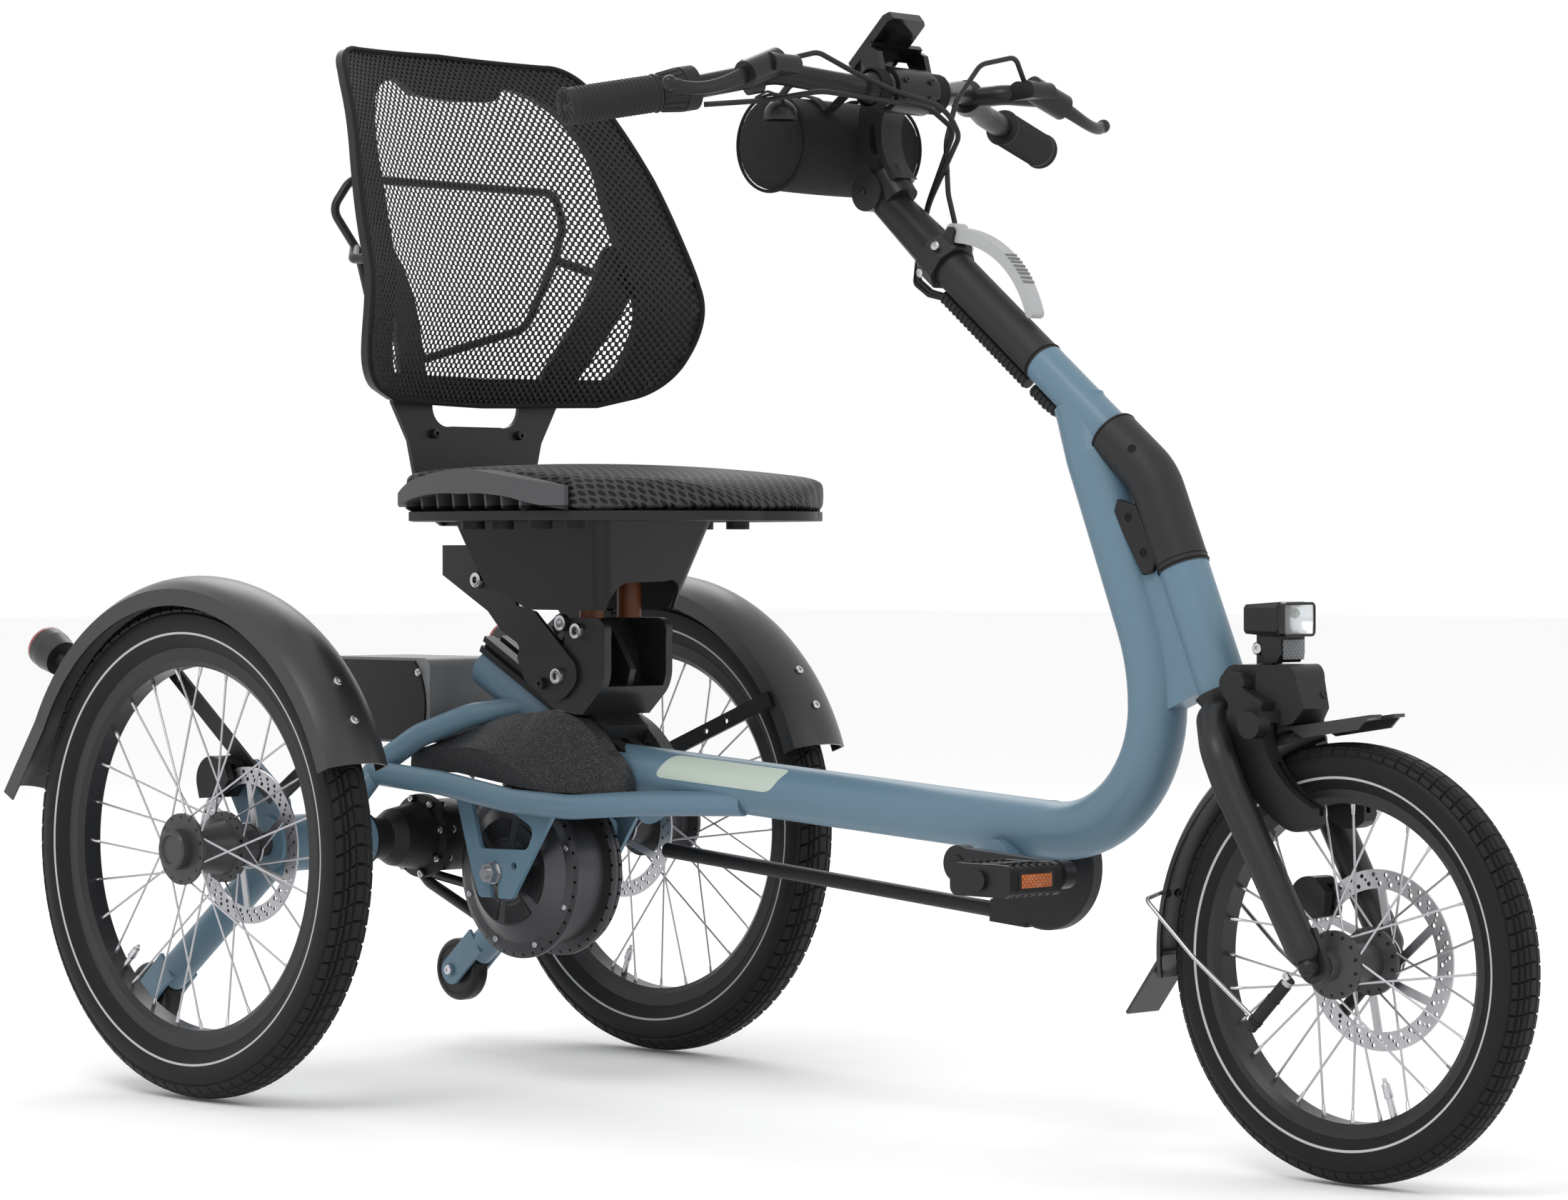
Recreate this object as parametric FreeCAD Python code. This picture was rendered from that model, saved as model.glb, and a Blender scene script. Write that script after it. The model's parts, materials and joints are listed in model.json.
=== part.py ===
import FreeCAD, Part
import math
import os

# An electric recumbent trike: two driven 20-inch wheels at the back, one steered 16-inch wheel in front,
# a low step-through frame, an office-like seat on a sloping rail and a long swept steering column.
# Millimetres. X runs forward from the rear axle, Y to the rider's left, Z up from the floor. The finished
# solids are moved along X at the end, so that the origin is under the middle of the whole trike.
#
# Each group of pieces has its own zero point, and its places are measured from there: the rear axle, the
# front axle, the middle of the handlebar's clamp, and the underside of the seat's shell.

# Wheels and stance
WHEELBASE = 1212.5
TRACK = 640.0
REAR_RADIUS = 253.0
REAR_TYRE_WIDTH = 50.0
REAR_TYRE_HEIGHT = 50.0
REAR_RIM_DEPTH = 19.5
FRONT_RADIUS = 193.0
FRONT_TYRE_WIDTH = 41.0
FRONT_TYRE_HEIGHT = 40.5
FRONT_RIM_DEPTH = 13.0
RIM_WIDTH = 30.0
SPOKE_COUNT = 28
SPOKE_RADIUS = 1.1
ROTOR_RADIUS = 80.0
ROTOR_THICKNESS = 2.0
ROTOR_BAND = 17.0
ROTOR_CARRIER_RADIUS = 24.0

# Rear hub, measured from the wheel's middle plane towards the outside of the trike
HUB_OUTER_FLANGE = 24.0
HUB_INNER_FLANGE = -28.0
HUB_FLANGE_RADIUS = 36.0
HUB_BARREL_RADIUS = 29.0
HUB_CAP_RADIUS = 20.5
HUB_CAP_HEIGHT = 16.0
REAR_ROTOR_PLACE = -60.0
HALF_SHAFT_RADIUS = 12.0
HALF_SHAFT_INNER = -170.0

# Front hub, measured from the wheel's middle plane towards the rider's left
FRONT_FLANGE_PLACE = 26.0
FRONT_FLANGE_RADIUS = 30.0
FRONT_BARREL_RADIUS = 19.0
FRONT_HUB_HALF = 44.0
FRONT_ROTOR_PLACE = 39.0
FRONT_AXLE_RADIUS = 6.0

# Clearances
RUNNING_FIT = 0.05
SEAT_GAP = 0.3

# Main frame
MAIN_TUBE_RADIUS = 27.0
MAIN_BEND_RADIUS = 117.0
ARM_BEND_RADIUS = 200.0
ARM_TOP_HALF_WIDTH = 18.5
SEAT_TUBE_RADIUS = 22.5
COLUMN_LENGTH = 161.5
COLUMN_RADIUS = 19.5
COLLAR_HALF = 23.5
COLLAR_LENGTH = 24.0
STEERER_SLOPE = 0.428
LOWER_HEAD_HEIGHT = 120.0
LOWER_HEAD_RADIUS = 23.0
STEERER_RADIUS = 14.5
BRACKET_RADIUS = 20.0
BRACKET_DROP = 32.0
BRACKET_HALF = 34.0
SPINDLE_RADIUS = 8.5
CASE_RADIUS = 61.0
CASE_DROP = -7.5
CHAIN_TUBE_RADIUS = 7.6

# Rear frame, given for the left side and mirrored
CROSS_TUBE_RADIUS = 29.0
CROSS_TUBE_INNER = 112.0
CROSS_TUBE_END = 82.0
CROSS_TUBE_BORE = 20.0
BEARING_LENGTH = 40.0
CARRIER_PLATE_THICKNESS = 6.0
LOOP_RADIUS = 12.5
LEG_RADIUS = 17.5
LEG_INSET = 105.0
CASTER_RADIUS = 35.0
CASTER_WIDTH = 22.0
CASTER_PIN_RADIUS = 4.0
MOTOR_RADIUS = 90.0
MOTOR_FLANGE = 25.0
MOTOR_AXLE_RADIUS = 6.0
DROPOUT_PLACE = 60.0
DROPOUT_THICKNESS = 5.0
NUT_WIDTH = 19.0
BATTERY_LENGTH = 174.0
BATTERY_HALF = 58.0
BATTERY_HEIGHT = 89.0
BATTERY_CHEEK = 3.0

# Mudguards
REAR_GUARD_GAP = 9.0
REAR_GUARD_HALF = 38.0
REAR_GUARD_CROWN = 13.0
REAR_GUARD_SKIRT = 17.0
FRONT_GUARD_GAP = 9.0
FRONT_GUARD_HALF = 25.5
FRONT_GUARD_CROWN = 11.0
GUARD_WALL = 2.5

# Fork
FORK_SPREAD = 62.0
BLADE_RADIUS = 15.0
DROPOUT_INNER = 50.0
DROPOUT_WIDTH = 6.0

# Cranks and pedals
CRANK_LENGTH = 122.0
CRANK_DROP = 2.0
CRANK_INNER = 70.0
CRANK_THICKNESS = 14.0
CRANK_ROOT_RADIUS = 17.0
CRANK_END_RADIUS = 13.0
PEDAL_LENGTH = 69.0
PEDAL_WIDTH = 72.0
PEDAL_HEIGHT = 29.0
PEDAL_AXLE_RADIUS = 6.0
PEDAL_GAP = 33.0

# Handlebar
BAR_RADIUS = 11.1
BAR_CLAMP_RADIUS = 15.9
BAR_CLAMP_HALF = 45.0
STEM_CLAMP_HALF = 26.0
GRIP_RADIUS = 17.0
GRIP_LENGTH = 92.0
BAG_RADIUS = 48.5
BAG_HALF = 86.0
CABLE_RADIUS = 2.5

# Seat
SEAT_SHELL_HEIGHT = 9.0
WING_INNER = 172.0
WING_WIDTH = 42.0
WING_END = 387.0
SEAT_RIB_THICKNESS = 2.5
SEAT_RIB_COUNT = 8
HOUSING_WALL = 3.5
PLATE_INNER = 47.0
PLATE_THICKNESS = 4.0
CLAMP_LENGTH = 62.0
RAIL_HALF = 18.0
RAIL_HEIGHT = 18.0
RAIL_LENGTH = 245.0
BACK_RADIUS = 407.0
BACK_THICKNESS = 12.0
MESH_THICKNESS = 1.6
BACK_BAR_WIDTH = 40.0
BACK_BAR_THICKNESS = 6.0
LOOP_WIRE_RADIUS = 4.5

# The backrest's front face on the trike's middle plane: height over the seat's shell, and place in X
BACK_STATIONS = ((117, 60), (147, 71), (182, 80), (222, 88), (277, 79), (347, 57.5), (432, 26), (462, 9),
                 (500, -12))

AXIS_X = FreeCAD.Vector(1, 0, 0)
AXIS_Y = FreeCAD.Vector(0, 1, 0)
AXIS_Z = FreeCAD.Vector(0, 0, 1)


def rear_at(x, y, up):
    """A point ahead of the rear axle, to the left of the trike's middle and above the axle."""
    return FreeCAD.Vector(x, y, REAR_RADIUS + up)


def side_at(x, off, up):
    """A point ahead of the rear axle, outside the left wheel's middle plane and above the axle."""
    return FreeCAD.Vector(x, TRACK / 2 + off, REAR_RADIUS + up)


def front_at(ahead, y, up):
    """A point ahead of the front axle, to the left and above the axle."""
    return FreeCAD.Vector(WHEELBASE + ahead, y, FRONT_RADIUS + up)


BAR_CLAMP = front_at(-540.5, 0, 798)
SEAT_BASE = rear_at(0, 0, 330)


def bar_at(ahead, y, up):
    """A point measured from the middle of the handlebar's clamp."""
    return BAR_CLAMP + FreeCAD.Vector(ahead, y, up)


def seat_at(x, y, up):
    """A point over the rear axle's place, measured up from the underside of the seat's shell."""
    return SEAT_BASE + FreeCAD.Vector(x, y, up)


# Main points of the frame
MAIN_TUBE_REAR = rear_at(275, 0, 78)
MAIN_TUBE_BEND = front_at(-222.5, 0, 93.4)
ARM_BEND = front_at(-222.5, 0, 257)
ARM_TOP = front_at(-317.5, 0, 497)
SEAT_TUBE_END = rear_at(76, 0, 179)
SEAT_TUBE_FRONT = rear_at(330, 0, 44)
COLUMN_TOP = front_at(-485.5, 0, 634)
COLUMN_SEAM = front_at(-359.5, 0, 533)
UPPER_HEAD_LOW = front_at(-276.5, 0, 466.4)
STEERER_TOP = front_at(-191.5, 0, 344)
MOTOR_CENTRE = rear_at(154, 0, -30)
CASTER_CENTRE = side_at(-215, -LEG_INSET, -170)
BRACKET_AHEAD = -392.5


def unit(vector):
    """The same direction with a length of one."""
    return FreeCAD.Vector(vector).normalize()


def mirrored(shape):
    """The same form on the trike's other side."""
    return shape.mirror(FreeCAD.Vector(0, 0, 0), AXIS_Y)


def both(shape):
    """The form and its mirror image, as a list."""
    return [shape, mirrored(shape)]


def pair(shape):
    """The form and its mirror image, as one node."""
    return Part.makeCompound(both(shape))


def fuse(shapes):
    """All the shapes as one body without the seams between coplanar faces."""
    return shapes[0].multiFuse(shapes[1:]).removeSplitter()


def main_piece(shape):
    """The largest solid of a shape, without the crumbs that a cut leaves."""
    return max(shape.Solids, key=lambda solid: solid.Volume)


def bend_reaches(points, bends):
    """How far each corner's arc reaches along its runs, less where two arcs share a short run."""
    reaches = []
    for before, corner, after, bend in zip(points, points[1:], points[2:], bends):
        turn = (corner - before).getAngle(after - corner)
        reaches.append(bend * math.tan(turn / 2))
    runs = [(after - before).Length for before, after in zip(points, points[1:])]
    for number, run in enumerate(runs):
        sharing = [index for index in (number - 1, number) if 0 <= index < len(reaches)]
        wanted = sum(reaches[index] for index in sharing)
        if wanted > 0.999 * run:
            for index in sharing:
                reaches[index] *= 0.999 * run / wanted
    return reaches


def rounded_path(points, bends):
    """Straight runs joined by tangent arcs. The bends are one radius, or one for each corner."""
    if not isinstance(bends, (list, tuple)):
        bends = [bends] * (len(points) - 2)
    edges = []
    last = points[0]
    for before, corner, after, reach in zip(points, points[1:], points[2:], bend_reaches(points, bends)):
        arriving = unit(corner - before)
        leaving = unit(after - corner)
        half_turn = arriving.getAngle(leaving) / 2
        start = corner - arriving * reach
        end = corner + leaving * reach
        radius = reach / math.tan(half_turn)
        middle = corner + unit(leaving - arriving) * (radius / math.cos(half_turn) - radius)
        if (start - last).Length > 1e-6:
            edges.append(Part.LineSegment(last, start).toShape())
        edges.append(Part.Arc(start, middle, end).toShape())
        last = end
    edges.append(Part.LineSegment(last, points[-1]).toShape())
    return Part.Wire(edges)


def tube(points, radius, bends=60.0):
    """A round bar along a rounded path."""
    section = Part.Wire([Part.makeCircle(radius, points[0], points[1] - points[0])])
    return rounded_path(points, bends).makePipeShell([section], True, False)


def rod(start, end, radius):
    """A straight round bar between two points."""
    way = end - start
    return Part.makeCylinder(radius, way.Length, start, way)


def cross_rod(centre, low, high, radius):
    """A round bar across the trike, between two places in Y."""
    return rod(FreeCAD.Vector(centre.x, low, centre.z), FreeCAD.Vector(centre.x, high, centre.z), radius)


def cone(start, end, start_radius, end_radius):
    """A straight tapering bar between two points."""
    way = end - start
    return Part.makeCone(start_radius, end_radius, way.Length, start, way)


def hex_nut(start, way, width, height):
    """A hexagon nut or bolt head that stands on a point."""
    across = unit(way.cross(AXIS_Z if abs(way.z) < 0.9 * way.Length else AXIS_X)) * (width / math.sqrt(3))
    turn = FreeCAD.Rotation(way, 60)
    corners = [across]
    for _ in range(5):
        corners.append(turn.multVec(corners[-1]))
    corners = [start + corner for corner in corners]
    return Part.Face(Part.makePolygon(corners + corners[:1])).extrude(unit(way) * height)


def outline(points, place):
    """A closed wire. A pair is a corner, and four numbers are the middle and the end of an arc."""
    edges = []
    last = points[0]
    for point in points[1:] + points[:1]:
        end = point[-2:]
        if len(point) == 4:
            edges.append(Part.Arc(place(*last), place(*point[:2]), place(*end)).toShape())
        elif (place(*end) - place(*last)).Length > 1e-6:
            edges.append(Part.LineSegment(place(*last), place(*end)).toShape())
        last = end
    return Part.Wire(edges)


def side_plate(place, points, inner, thickness):
    """A plate that stands along the trike: its outline is in X and Z, measured as its group is."""
    face = Part.Face(outline(points, lambda x, z: place(x, inner, z)))
    return face.extrude(AXIS_Y * thickness)


def rear_plate(place, points, x, thickness):
    """A plate that stands across the trike: its outline is in Y and Z."""
    face = Part.Face(outline(points, lambda y, z: place(x, y, z)))
    return face.extrude(AXIS_X * thickness)


def plan_prism(place, points, low, height):
    """An upright block with its outline in X and Y."""
    face = Part.Face(outline(points, lambda x, y: place(x, y, low)))
    return face.extrude(AXIS_Z * height)


def turned(profile, centre):
    """A form turned about a cross axis: its profile is in Y from the centre and radius."""
    face = Part.Face(outline(profile, lambda y, r: centre + FreeCAD.Vector(0, y, r)))
    return face.revolve(centre, AXIS_Y, 360)


def wheel_way(angle):
    """The direction from a wheel's axle at an angle that grows upwards and backwards from the front."""
    return FreeCAD.Vector(math.cos(math.radians(angle)), 0, math.sin(math.radians(angle)))


def swept_guard(profile, centre, start, end):
    """A profile in Y and radius carried round a wheel from one angle to another, in degrees."""
    along = wheel_way(start)
    face = Part.Face(outline(profile, lambda y, r: centre + along * r + AXIS_Y * y))
    return face.revolve(centre, AXIS_Y, start - end)


def box(low, high):
    """A block between two corners."""
    size = high - low
    return Part.makeBox(size.x, size.y, size.z, low)


def lofted(wires):
    """A solid through closed outlines, one after another, with straight sides."""
    return Part.makeLoft(wires, True, True)


def column_point(along, off=0.0, side=0.0):
    """A point by its place along the upper column from its top, above it and to the left."""
    way = unit(COLUMN_SEAM - COLUMN_TOP)
    above = way.cross(AXIS_Y)
    return COLUMN_TOP + way * along + above * off + AXIS_Y * side


def steerer_point(along, ahead=0.0, side=0.0):
    """A point by its place down the lower steering axis, ahead of it and to the left."""
    way = unit(FreeCAD.Vector(STEERER_SLOPE, 0, -1))
    front = FreeCAD.Vector(-way.z, 0, way.x)
    return STEERER_TOP + way * along + front * ahead + AXIS_Y * side


def rail_way():
    """The direction down the seat's rail."""
    return unit(SEAT_TUBE_FRONT - SEAT_TUBE_END)


def rail_point(along, height=0.0, side=0.0):
    """A point on the rail's top face, by its place from the rail's upper end, above it and to the left."""
    way = rail_way()
    above = way.cross(AXIS_Y)
    base = SEAT_TUBE_END + above * (SEAT_TUBE_RADIUS - 6 + RAIL_HEIGHT)
    return base + way * along + above * height + AXIS_Y * side


def bracket_centre():
    """The middle of the bottom bracket, hung under the main tube."""
    x = front_at(BRACKET_AHEAD, 0, 0).x
    slope = (MAIN_TUBE_BEND.z - MAIN_TUBE_REAR.z) / (MAIN_TUBE_BEND.x - MAIN_TUBE_REAR.x)
    return FreeCAD.Vector(x, 0, MAIN_TUBE_REAR.z + slope * (x - MAIN_TUBE_REAR.x) - BRACKET_DROP)


def tyre(centre, radius, width, height):
    """A tyre as a closed ring, with its sidewalls and crown as arcs."""
    half = width / 2
    rim_half = RIM_WIDTH / 2
    bead = radius - height
    shoulder = 0.62 * half
    profile = [(-rim_half, bead), (-half, bead + 0.5 * height, -shoulder, radius - 0.07 * height),
               (0.0, radius, shoulder, radius - 0.07 * height), (half, bead + 0.5 * height, rim_half, bead)]
    return turned(profile, centre)


def rim(centre, bead, depth):
    """A box-section rim with a drop in its bed."""
    half = RIM_WIDTH / 2
    top = bead - SEAT_GAP
    inner = bead - depth
    profile = [(-half, top), (-half, inner + 6), (-half + 5, inner), (half - 5, inner),
               (half, inner + 6), (half, top), (half - 5, top), (half - 8, top - 6),
               (-half + 8, top - 6), (-half + 5, top)]
    return turned(profile, centre)


def spokes(centre, flange_places, flange_radius, rim_inner, cross=3.0):
    """Straight spokes from both flanges to the rim, crossed as they are laced."""
    step = 360.0 / SPOKE_COUNT
    bars = []
    for number in range(SPOKE_COUNT):
        lean = 1 if (number // 2) % 2 else -1
        foot = wheel_way(number * step + lean * cross * step) * (flange_radius - 5)
        foot += AXIS_Y * flange_places[number % 2]
        head = wheel_way(number * step) * (rim_inner + 2)
        bars.append(rod(centre + foot, centre + head, SPOKE_RADIUS))
    return bars


def rotor(centre, place):
    """A brake rotor: a braking ring on six raked arms."""
    middle = centre + AXIS_Y * (place - ROTOR_THICKNESS / 2)
    band_inner = ROTOR_RADIUS - ROTOR_BAND
    ring = Part.makeCylinder(ROTOR_RADIUS, ROTOR_THICKNESS, middle, AXIS_Y)
    ring = ring.cut(Part.makeCylinder(band_inner, ROTOR_THICKNESS, middle, AXIS_Y))
    arms = []
    for number in range(6):
        foot = middle + wheel_way(60 * number) * (ROTOR_CARRIER_RADIUS - 3)
        head = middle + wheel_way(60 * number + 29) * (band_inner + 3)
        across = unit(head - foot).cross(AXIS_Y) * 4
        corners = [foot + across, head + across, head - across, foot - across]
        arms.append(Part.Face(Part.makePolygon(corners + corners[:1])).extrude(AXIS_Y * ROTOR_THICKNESS))
    carrier = Part.makeCylinder(ROTOR_CARRIER_RADIUS, ROTOR_THICKNESS, middle, AXIS_Y)
    return ring.multiFuse(arms + [carrier])


def rear_wheel():
    """The left rear wheel without its tyre: rim, spokes, hub, half shaft and rotor."""
    centre = side_at(0, 0, 0)
    outer = HUB_OUTER_FLANGE
    inner = HUB_INNER_FLANGE
    bead = REAR_RADIUS - REAR_TYRE_HEIGHT
    cap_end = outer + HUB_CAP_HEIGHT
    hub = turned([(inner - 3, 0), (inner - 3, HUB_FLANGE_RADIUS), (inner + 1, HUB_FLANGE_RADIUS),
                  (inner + 4, HUB_BARREL_RADIUS), (outer - 12, HUB_BARREL_RADIUS - 7),
                  (outer - 3, HUB_BARREL_RADIUS - 6), (outer - 2, HUB_FLANGE_RADIUS),
                  (outer + 2, HUB_FLANGE_RADIUS), (outer + 3, HUB_CAP_RADIUS), (cap_end - 2, HUB_CAP_RADIUS),
                  (cap_end, HUB_CAP_RADIUS - 2), (cap_end, HUB_CAP_RADIUS - 6),
                  (cap_end - 2, HUB_CAP_RADIUS - 7),
                  (cap_end - 2, 0)], centre)
    shaft = rod(side_at(0, HALF_SHAFT_INNER, 0), side_at(0, inner, 0), HALF_SHAFT_RADIUS)
    carrier = cone(side_at(0, REAR_ROTOR_PLACE - 2, 0), side_at(0, inner, 0), 21.0, 25.0)
    wires = spokes(centre, (inner, outer), HUB_FLANGE_RADIUS, bead - REAR_RIM_DEPTH)
    ring = rim(centre, bead, REAR_RIM_DEPTH)
    return fuse([hub, shaft, carrier, ring, rotor(centre, REAR_ROTOR_PLACE)] + wires)


def front_wheel():
    """The front wheel without its tyre: rim, spokes, hub and rotor, bored for its axle."""
    centre = front_at(0, 0, 0)
    flange = FRONT_FLANGE_PLACE
    bead = FRONT_RADIUS - FRONT_TYRE_HEIGHT
    bore = FRONT_AXLE_RADIUS + RUNNING_FIT
    profile = [(-FRONT_HUB_HALF, bore), (-FRONT_HUB_HALF, 12), (-flange - 8, 14),
               (-flange - 2, FRONT_FLANGE_RADIUS), (-flange + 2, FRONT_FLANGE_RADIUS),
               (-flange + 6, FRONT_BARREL_RADIUS), (flange - 6, FRONT_BARREL_RADIUS),
               (flange - 2, FRONT_FLANGE_RADIUS), (flange + 2, FRONT_FLANGE_RADIUS), (flange + 5, 22),
               (FRONT_ROTOR_PLACE + 1, 22), (FRONT_ROTOR_PLACE + 2, 12), (FRONT_HUB_HALF, 12),
               (FRONT_HUB_HALF, bore)]
    wires = spokes(centre, (-flange, flange), FRONT_FLANGE_RADIUS, bead - FRONT_RIM_DEPTH)
    disc = rotor(centre, FRONT_ROTOR_PLACE)
    disc = disc.cut(cross_rod(centre, -FRONT_HUB_HALF, FRONT_HUB_HALF, bore))
    return fuse([turned(profile, centre), rim(centre, bead, FRONT_RIM_DEPTH), disc] + wires)


def main_frame():
    """The centre tubes: main tube, rising arm, both head tubes, seat tube and bottom bracket."""
    arm_way = unit(ARM_TOP - ARM_BEND)
    round_end = ARM_TOP - arm_way * 54
    spine = tube([MAIN_TUBE_REAR, MAIN_TUBE_BEND, ARM_BEND, round_end], MAIN_TUBE_RADIUS,
                 [MAIN_BEND_RADIUS, ARM_BEND_RADIUS])
    front_way = arm_way.cross(AXIS_Y)
    round_ring = Part.Circle(round_end, arm_way * -1, MAIN_TUBE_RADIUS)
    round_ring.XAxis = front_way
    oval_ring = Part.Ellipse(ARM_TOP + front_way * MAIN_TUBE_RADIUS,
                             ARM_TOP + AXIS_Y * ARM_TOP_HALF_WIDTH, ARM_TOP)
    neck = lofted([Part.Wire([ring.toShape()]) for ring in (round_ring, oval_ring)])
    upper_head = rod(COLUMN_SEAM, UPPER_HEAD_LOW, COLUMN_RADIUS)
    lower_head = rod(STEERER_TOP, steerer_point(LOWER_HEAD_HEIGHT), LOWER_HEAD_RADIUS)
    seat_tube = rod(SEAT_TUBE_END, SEAT_TUBE_FRONT, SEAT_TUBE_RADIUS)
    bracket = bracket_centre()
    shell = cross_rod(bracket, -BRACKET_HALF, BRACKET_HALF, BRACKET_RADIUS)
    web = side_plate(front_at, [(-252, 367), (-192, 342), (-146, 229), (-166, 211), (-212, 211)], -14, 28)
    web = web.cut(rod(steerer_point(LOWER_HEAD_HEIGHT - 6), steerer_point(LOWER_HEAD_HEIGHT + 40), 90))
    frame = fuse([spine, neck, upper_head, lower_head, seat_tube, shell, web])
    steerer_bore = rod(steerer_point(-1), steerer_point(LOWER_HEAD_HEIGHT + 1), STEERER_RADIUS + RUNNING_FIT)
    spindle_bore = cross_rod(bracket, -BRACKET_HALF - 1, BRACKET_HALF + 1, SPINDLE_RADIUS + RUNNING_FIT)
    return frame.cut(steerer_bore).cut(spindle_bore)


def motor_dropout():
    """The left plate under the side tube that holds the motor's axle, with its window and open slot."""
    inner = DROPOUT_PLACE - DROPOUT_THICKNESS / 2
    axle = MOTOR_CENTRE
    plate = side_plate(rear_at, [(94, 47), (119, -30), (128, -50), (131, -55, 137, -56), (175, -56),
                                 (181, -55, 185, -50), (254, 47)], inner, DROPOUT_THICKNESS)
    window = side_plate(rear_at, [(119, 40), (131, -1), (134, -5, 140, -6), (197, -5),
                                  (204, -3, 209, 5), (212, 13, 207, 21), (180, 34)], inner - 1,
                        DROPOUT_THICKNESS + 2)
    hole = cross_rod(axle + FreeCAD.Vector(30, 0, 8), inner - 1, inner + DROPOUT_THICKNESS + 1, 4)
    reach = MOTOR_AXLE_RADIUS + RUNNING_FIT
    slot = box(FreeCAD.Vector(axle.x - reach, inner - 1, axle.z - 60),
               FreeCAD.Vector(axle.x + reach, inner + DROPOUT_THICKNESS + 1, axle.z))
    eye = cross_rod(axle, inner - 1, inner + DROPOUT_THICKNESS + 1, reach)
    return plate.cut(window).cut(hole).cut(slot).cut(eye)


def caster_leg():
    """The left leg with its flattened, notched end and the caster's pin."""
    tip = CASTER_CENTRE
    inset = tip.y
    leg = rod(side_at(4, -LEG_INSET, 0), tip, LEG_RADIUS)
    half = CASTER_WIDTH / 2
    notch = cross_rod(tip, inset - half - 2, inset + half + 2, CASTER_RADIUS + 5)
    ears = []
    ear = [(-224, -182), (-216, -186, -203, -181), (-165, -147), (-183, -123), (-226, -161),
           (-230, -172, -224, -182)]
    for inner in (inset - LEG_RADIUS, inset + LEG_RADIUS - 4):
        ears.append(side_plate(rear_at, ear, inner, 4))
    pin = cross_rod(tip, inset - LEG_RADIUS - 3, inset + LEG_RADIUS + 3, CASTER_PIN_RADIUS)
    heads = []
    for side in (-1, 1):
        heads.append(cross_rod(tip, inset + side * LEG_RADIUS, inset + side * (LEG_RADIUS + 3), 7))
    return [leg.cut(notch), pin] + ears + heads


def rear_frame(centre_frame):
    """Both sides' loop and side tubes, cross tubes, carrier plates, caster legs and motor dropouts."""
    loop = tube([rear_at(150, 6, 139), rear_at(95, 42, 130), rear_at(45, 70, 108), rear_at(8, 93, 77),
                 rear_at(-4, 140, 19)], LOOP_RADIUS, 60)
    side = tube([rear_at(470, 14, 51), rear_at(356, 46, 48), rear_at(276, 68, 42), rear_at(196, 74, 45),
                 rear_at(100, 88, 61), rear_at(10, 100, 69)], LOOP_RADIUS, 80)
    inner_end = rear_at(0, CROSS_TUBE_INNER, 0)
    outer_end = side_at(0, -CROSS_TUBE_END, 0)
    cross = rod(inner_end, outer_end, CROSS_TUBE_RADIUS)
    carrier = side_plate(lambda x, y, up: side_at(x, -CROSS_TUBE_END - 12, up),
                         [(-34, 0), (-64, 46), (-60, 84), (-26, 86), (10, 60), (26, 46), (34, 0), (20, -36),
                          (-20, -36)], 0, CARRIER_PLATE_THICKNESS)
    frame = fuse([loop, side, cross, carrier, motor_dropout()] + caster_leg())
    bearing = rod(outer_end - AXIS_Y * (BEARING_LENGTH + 1), outer_end + AXIS_Y,
                  HALF_SHAFT_RADIUS + RUNNING_FIT)
    bore = rod(inner_end - AXIS_Y, outer_end - AXIS_Y * BEARING_LENGTH, CROSS_TUBE_BORE)
    return pair(main_piece(frame.cut(bearing).cut(bore).cut(centre_frame)))


def motor_axle():
    """The hub motor's fixed axle with a washer and nut on each side."""
    outer = DROPOUT_PLACE + DROPOUT_THICKNESS / 2
    bar = cross_rod(MOTOR_CENTRE, -outer - 15, outer + 15, MOTOR_AXLE_RADIUS)
    washer = cross_rod(MOTOR_CENTRE, outer, outer + 2, 12)
    nut = hex_nut(MOTOR_CENTRE + AXIS_Y * (outer + 2), AXIS_Y, NUT_WIDTH, 9)
    return fuse([bar] + both(washer) + both(nut))


def hub_motor():
    """The drum of the hub motor with its two spoke flanges and stepped cover, bored for its axle."""
    bore = MOTOR_AXLE_RADIUS + RUNNING_FIT
    flange = MOTOR_FLANGE
    half = DROPOUT_PLACE - DROPOUT_THICKNESS / 2 - SEAT_GAP
    radius = MOTOR_RADIUS
    profile = [(-half, bore), (-half, 14), (-half + 10, 16), (-half + 12, 26), (-half + 14, radius - 34),
               (-half + 18, radius - 28), (-flange - 6, radius - 16), (-flange - 5, radius - 6),
               (-flange - 3, radius), (-flange + 1, radius), (-flange + 3, radius - 4),
               (-flange + 5, radius - 12), (flange - 5, radius - 12), (flange - 3, radius - 4),
               (flange - 1, radius), (flange + 3, radius), (flange + 4, radius - 16),
               (flange + 8, radius - 18),
               (flange + 8, radius - 4), (flange + 12, radius - 4), (flange + 13, 40), (half - 6, 34),
               (half - 6, 14), (half, 14), (half, bore)]
    return turned(profile, MOTOR_CENTRE)


def differential():
    """The cast case in the middle of the rear axle, with its bolted joint and end flanges."""
    centre = rear_at(0, 0, 0)
    end = CROSS_TUBE_INNER
    case = turned([(-end, 0), (-end, 27), (-end + 6, 27), (-end + 8, 20), (-84, 22), (-70, 30), (-34, 36),
                   (-32, 44), (-24, 44), (-22, 38), (40, 38), (60, 28), (84, 22), (end - 8, 20),
                   (end - 6, 27), (end, 27), (end, 0)], centre)
    bolts = []
    for number in range(8):
        place = centre + wheel_way(45 * number + 11) * 40 - AXIS_Y * 36
        bolts.append(hex_nut(place, AXIS_Y, 7, 16))
    return fuse([case] + bolts)


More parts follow.
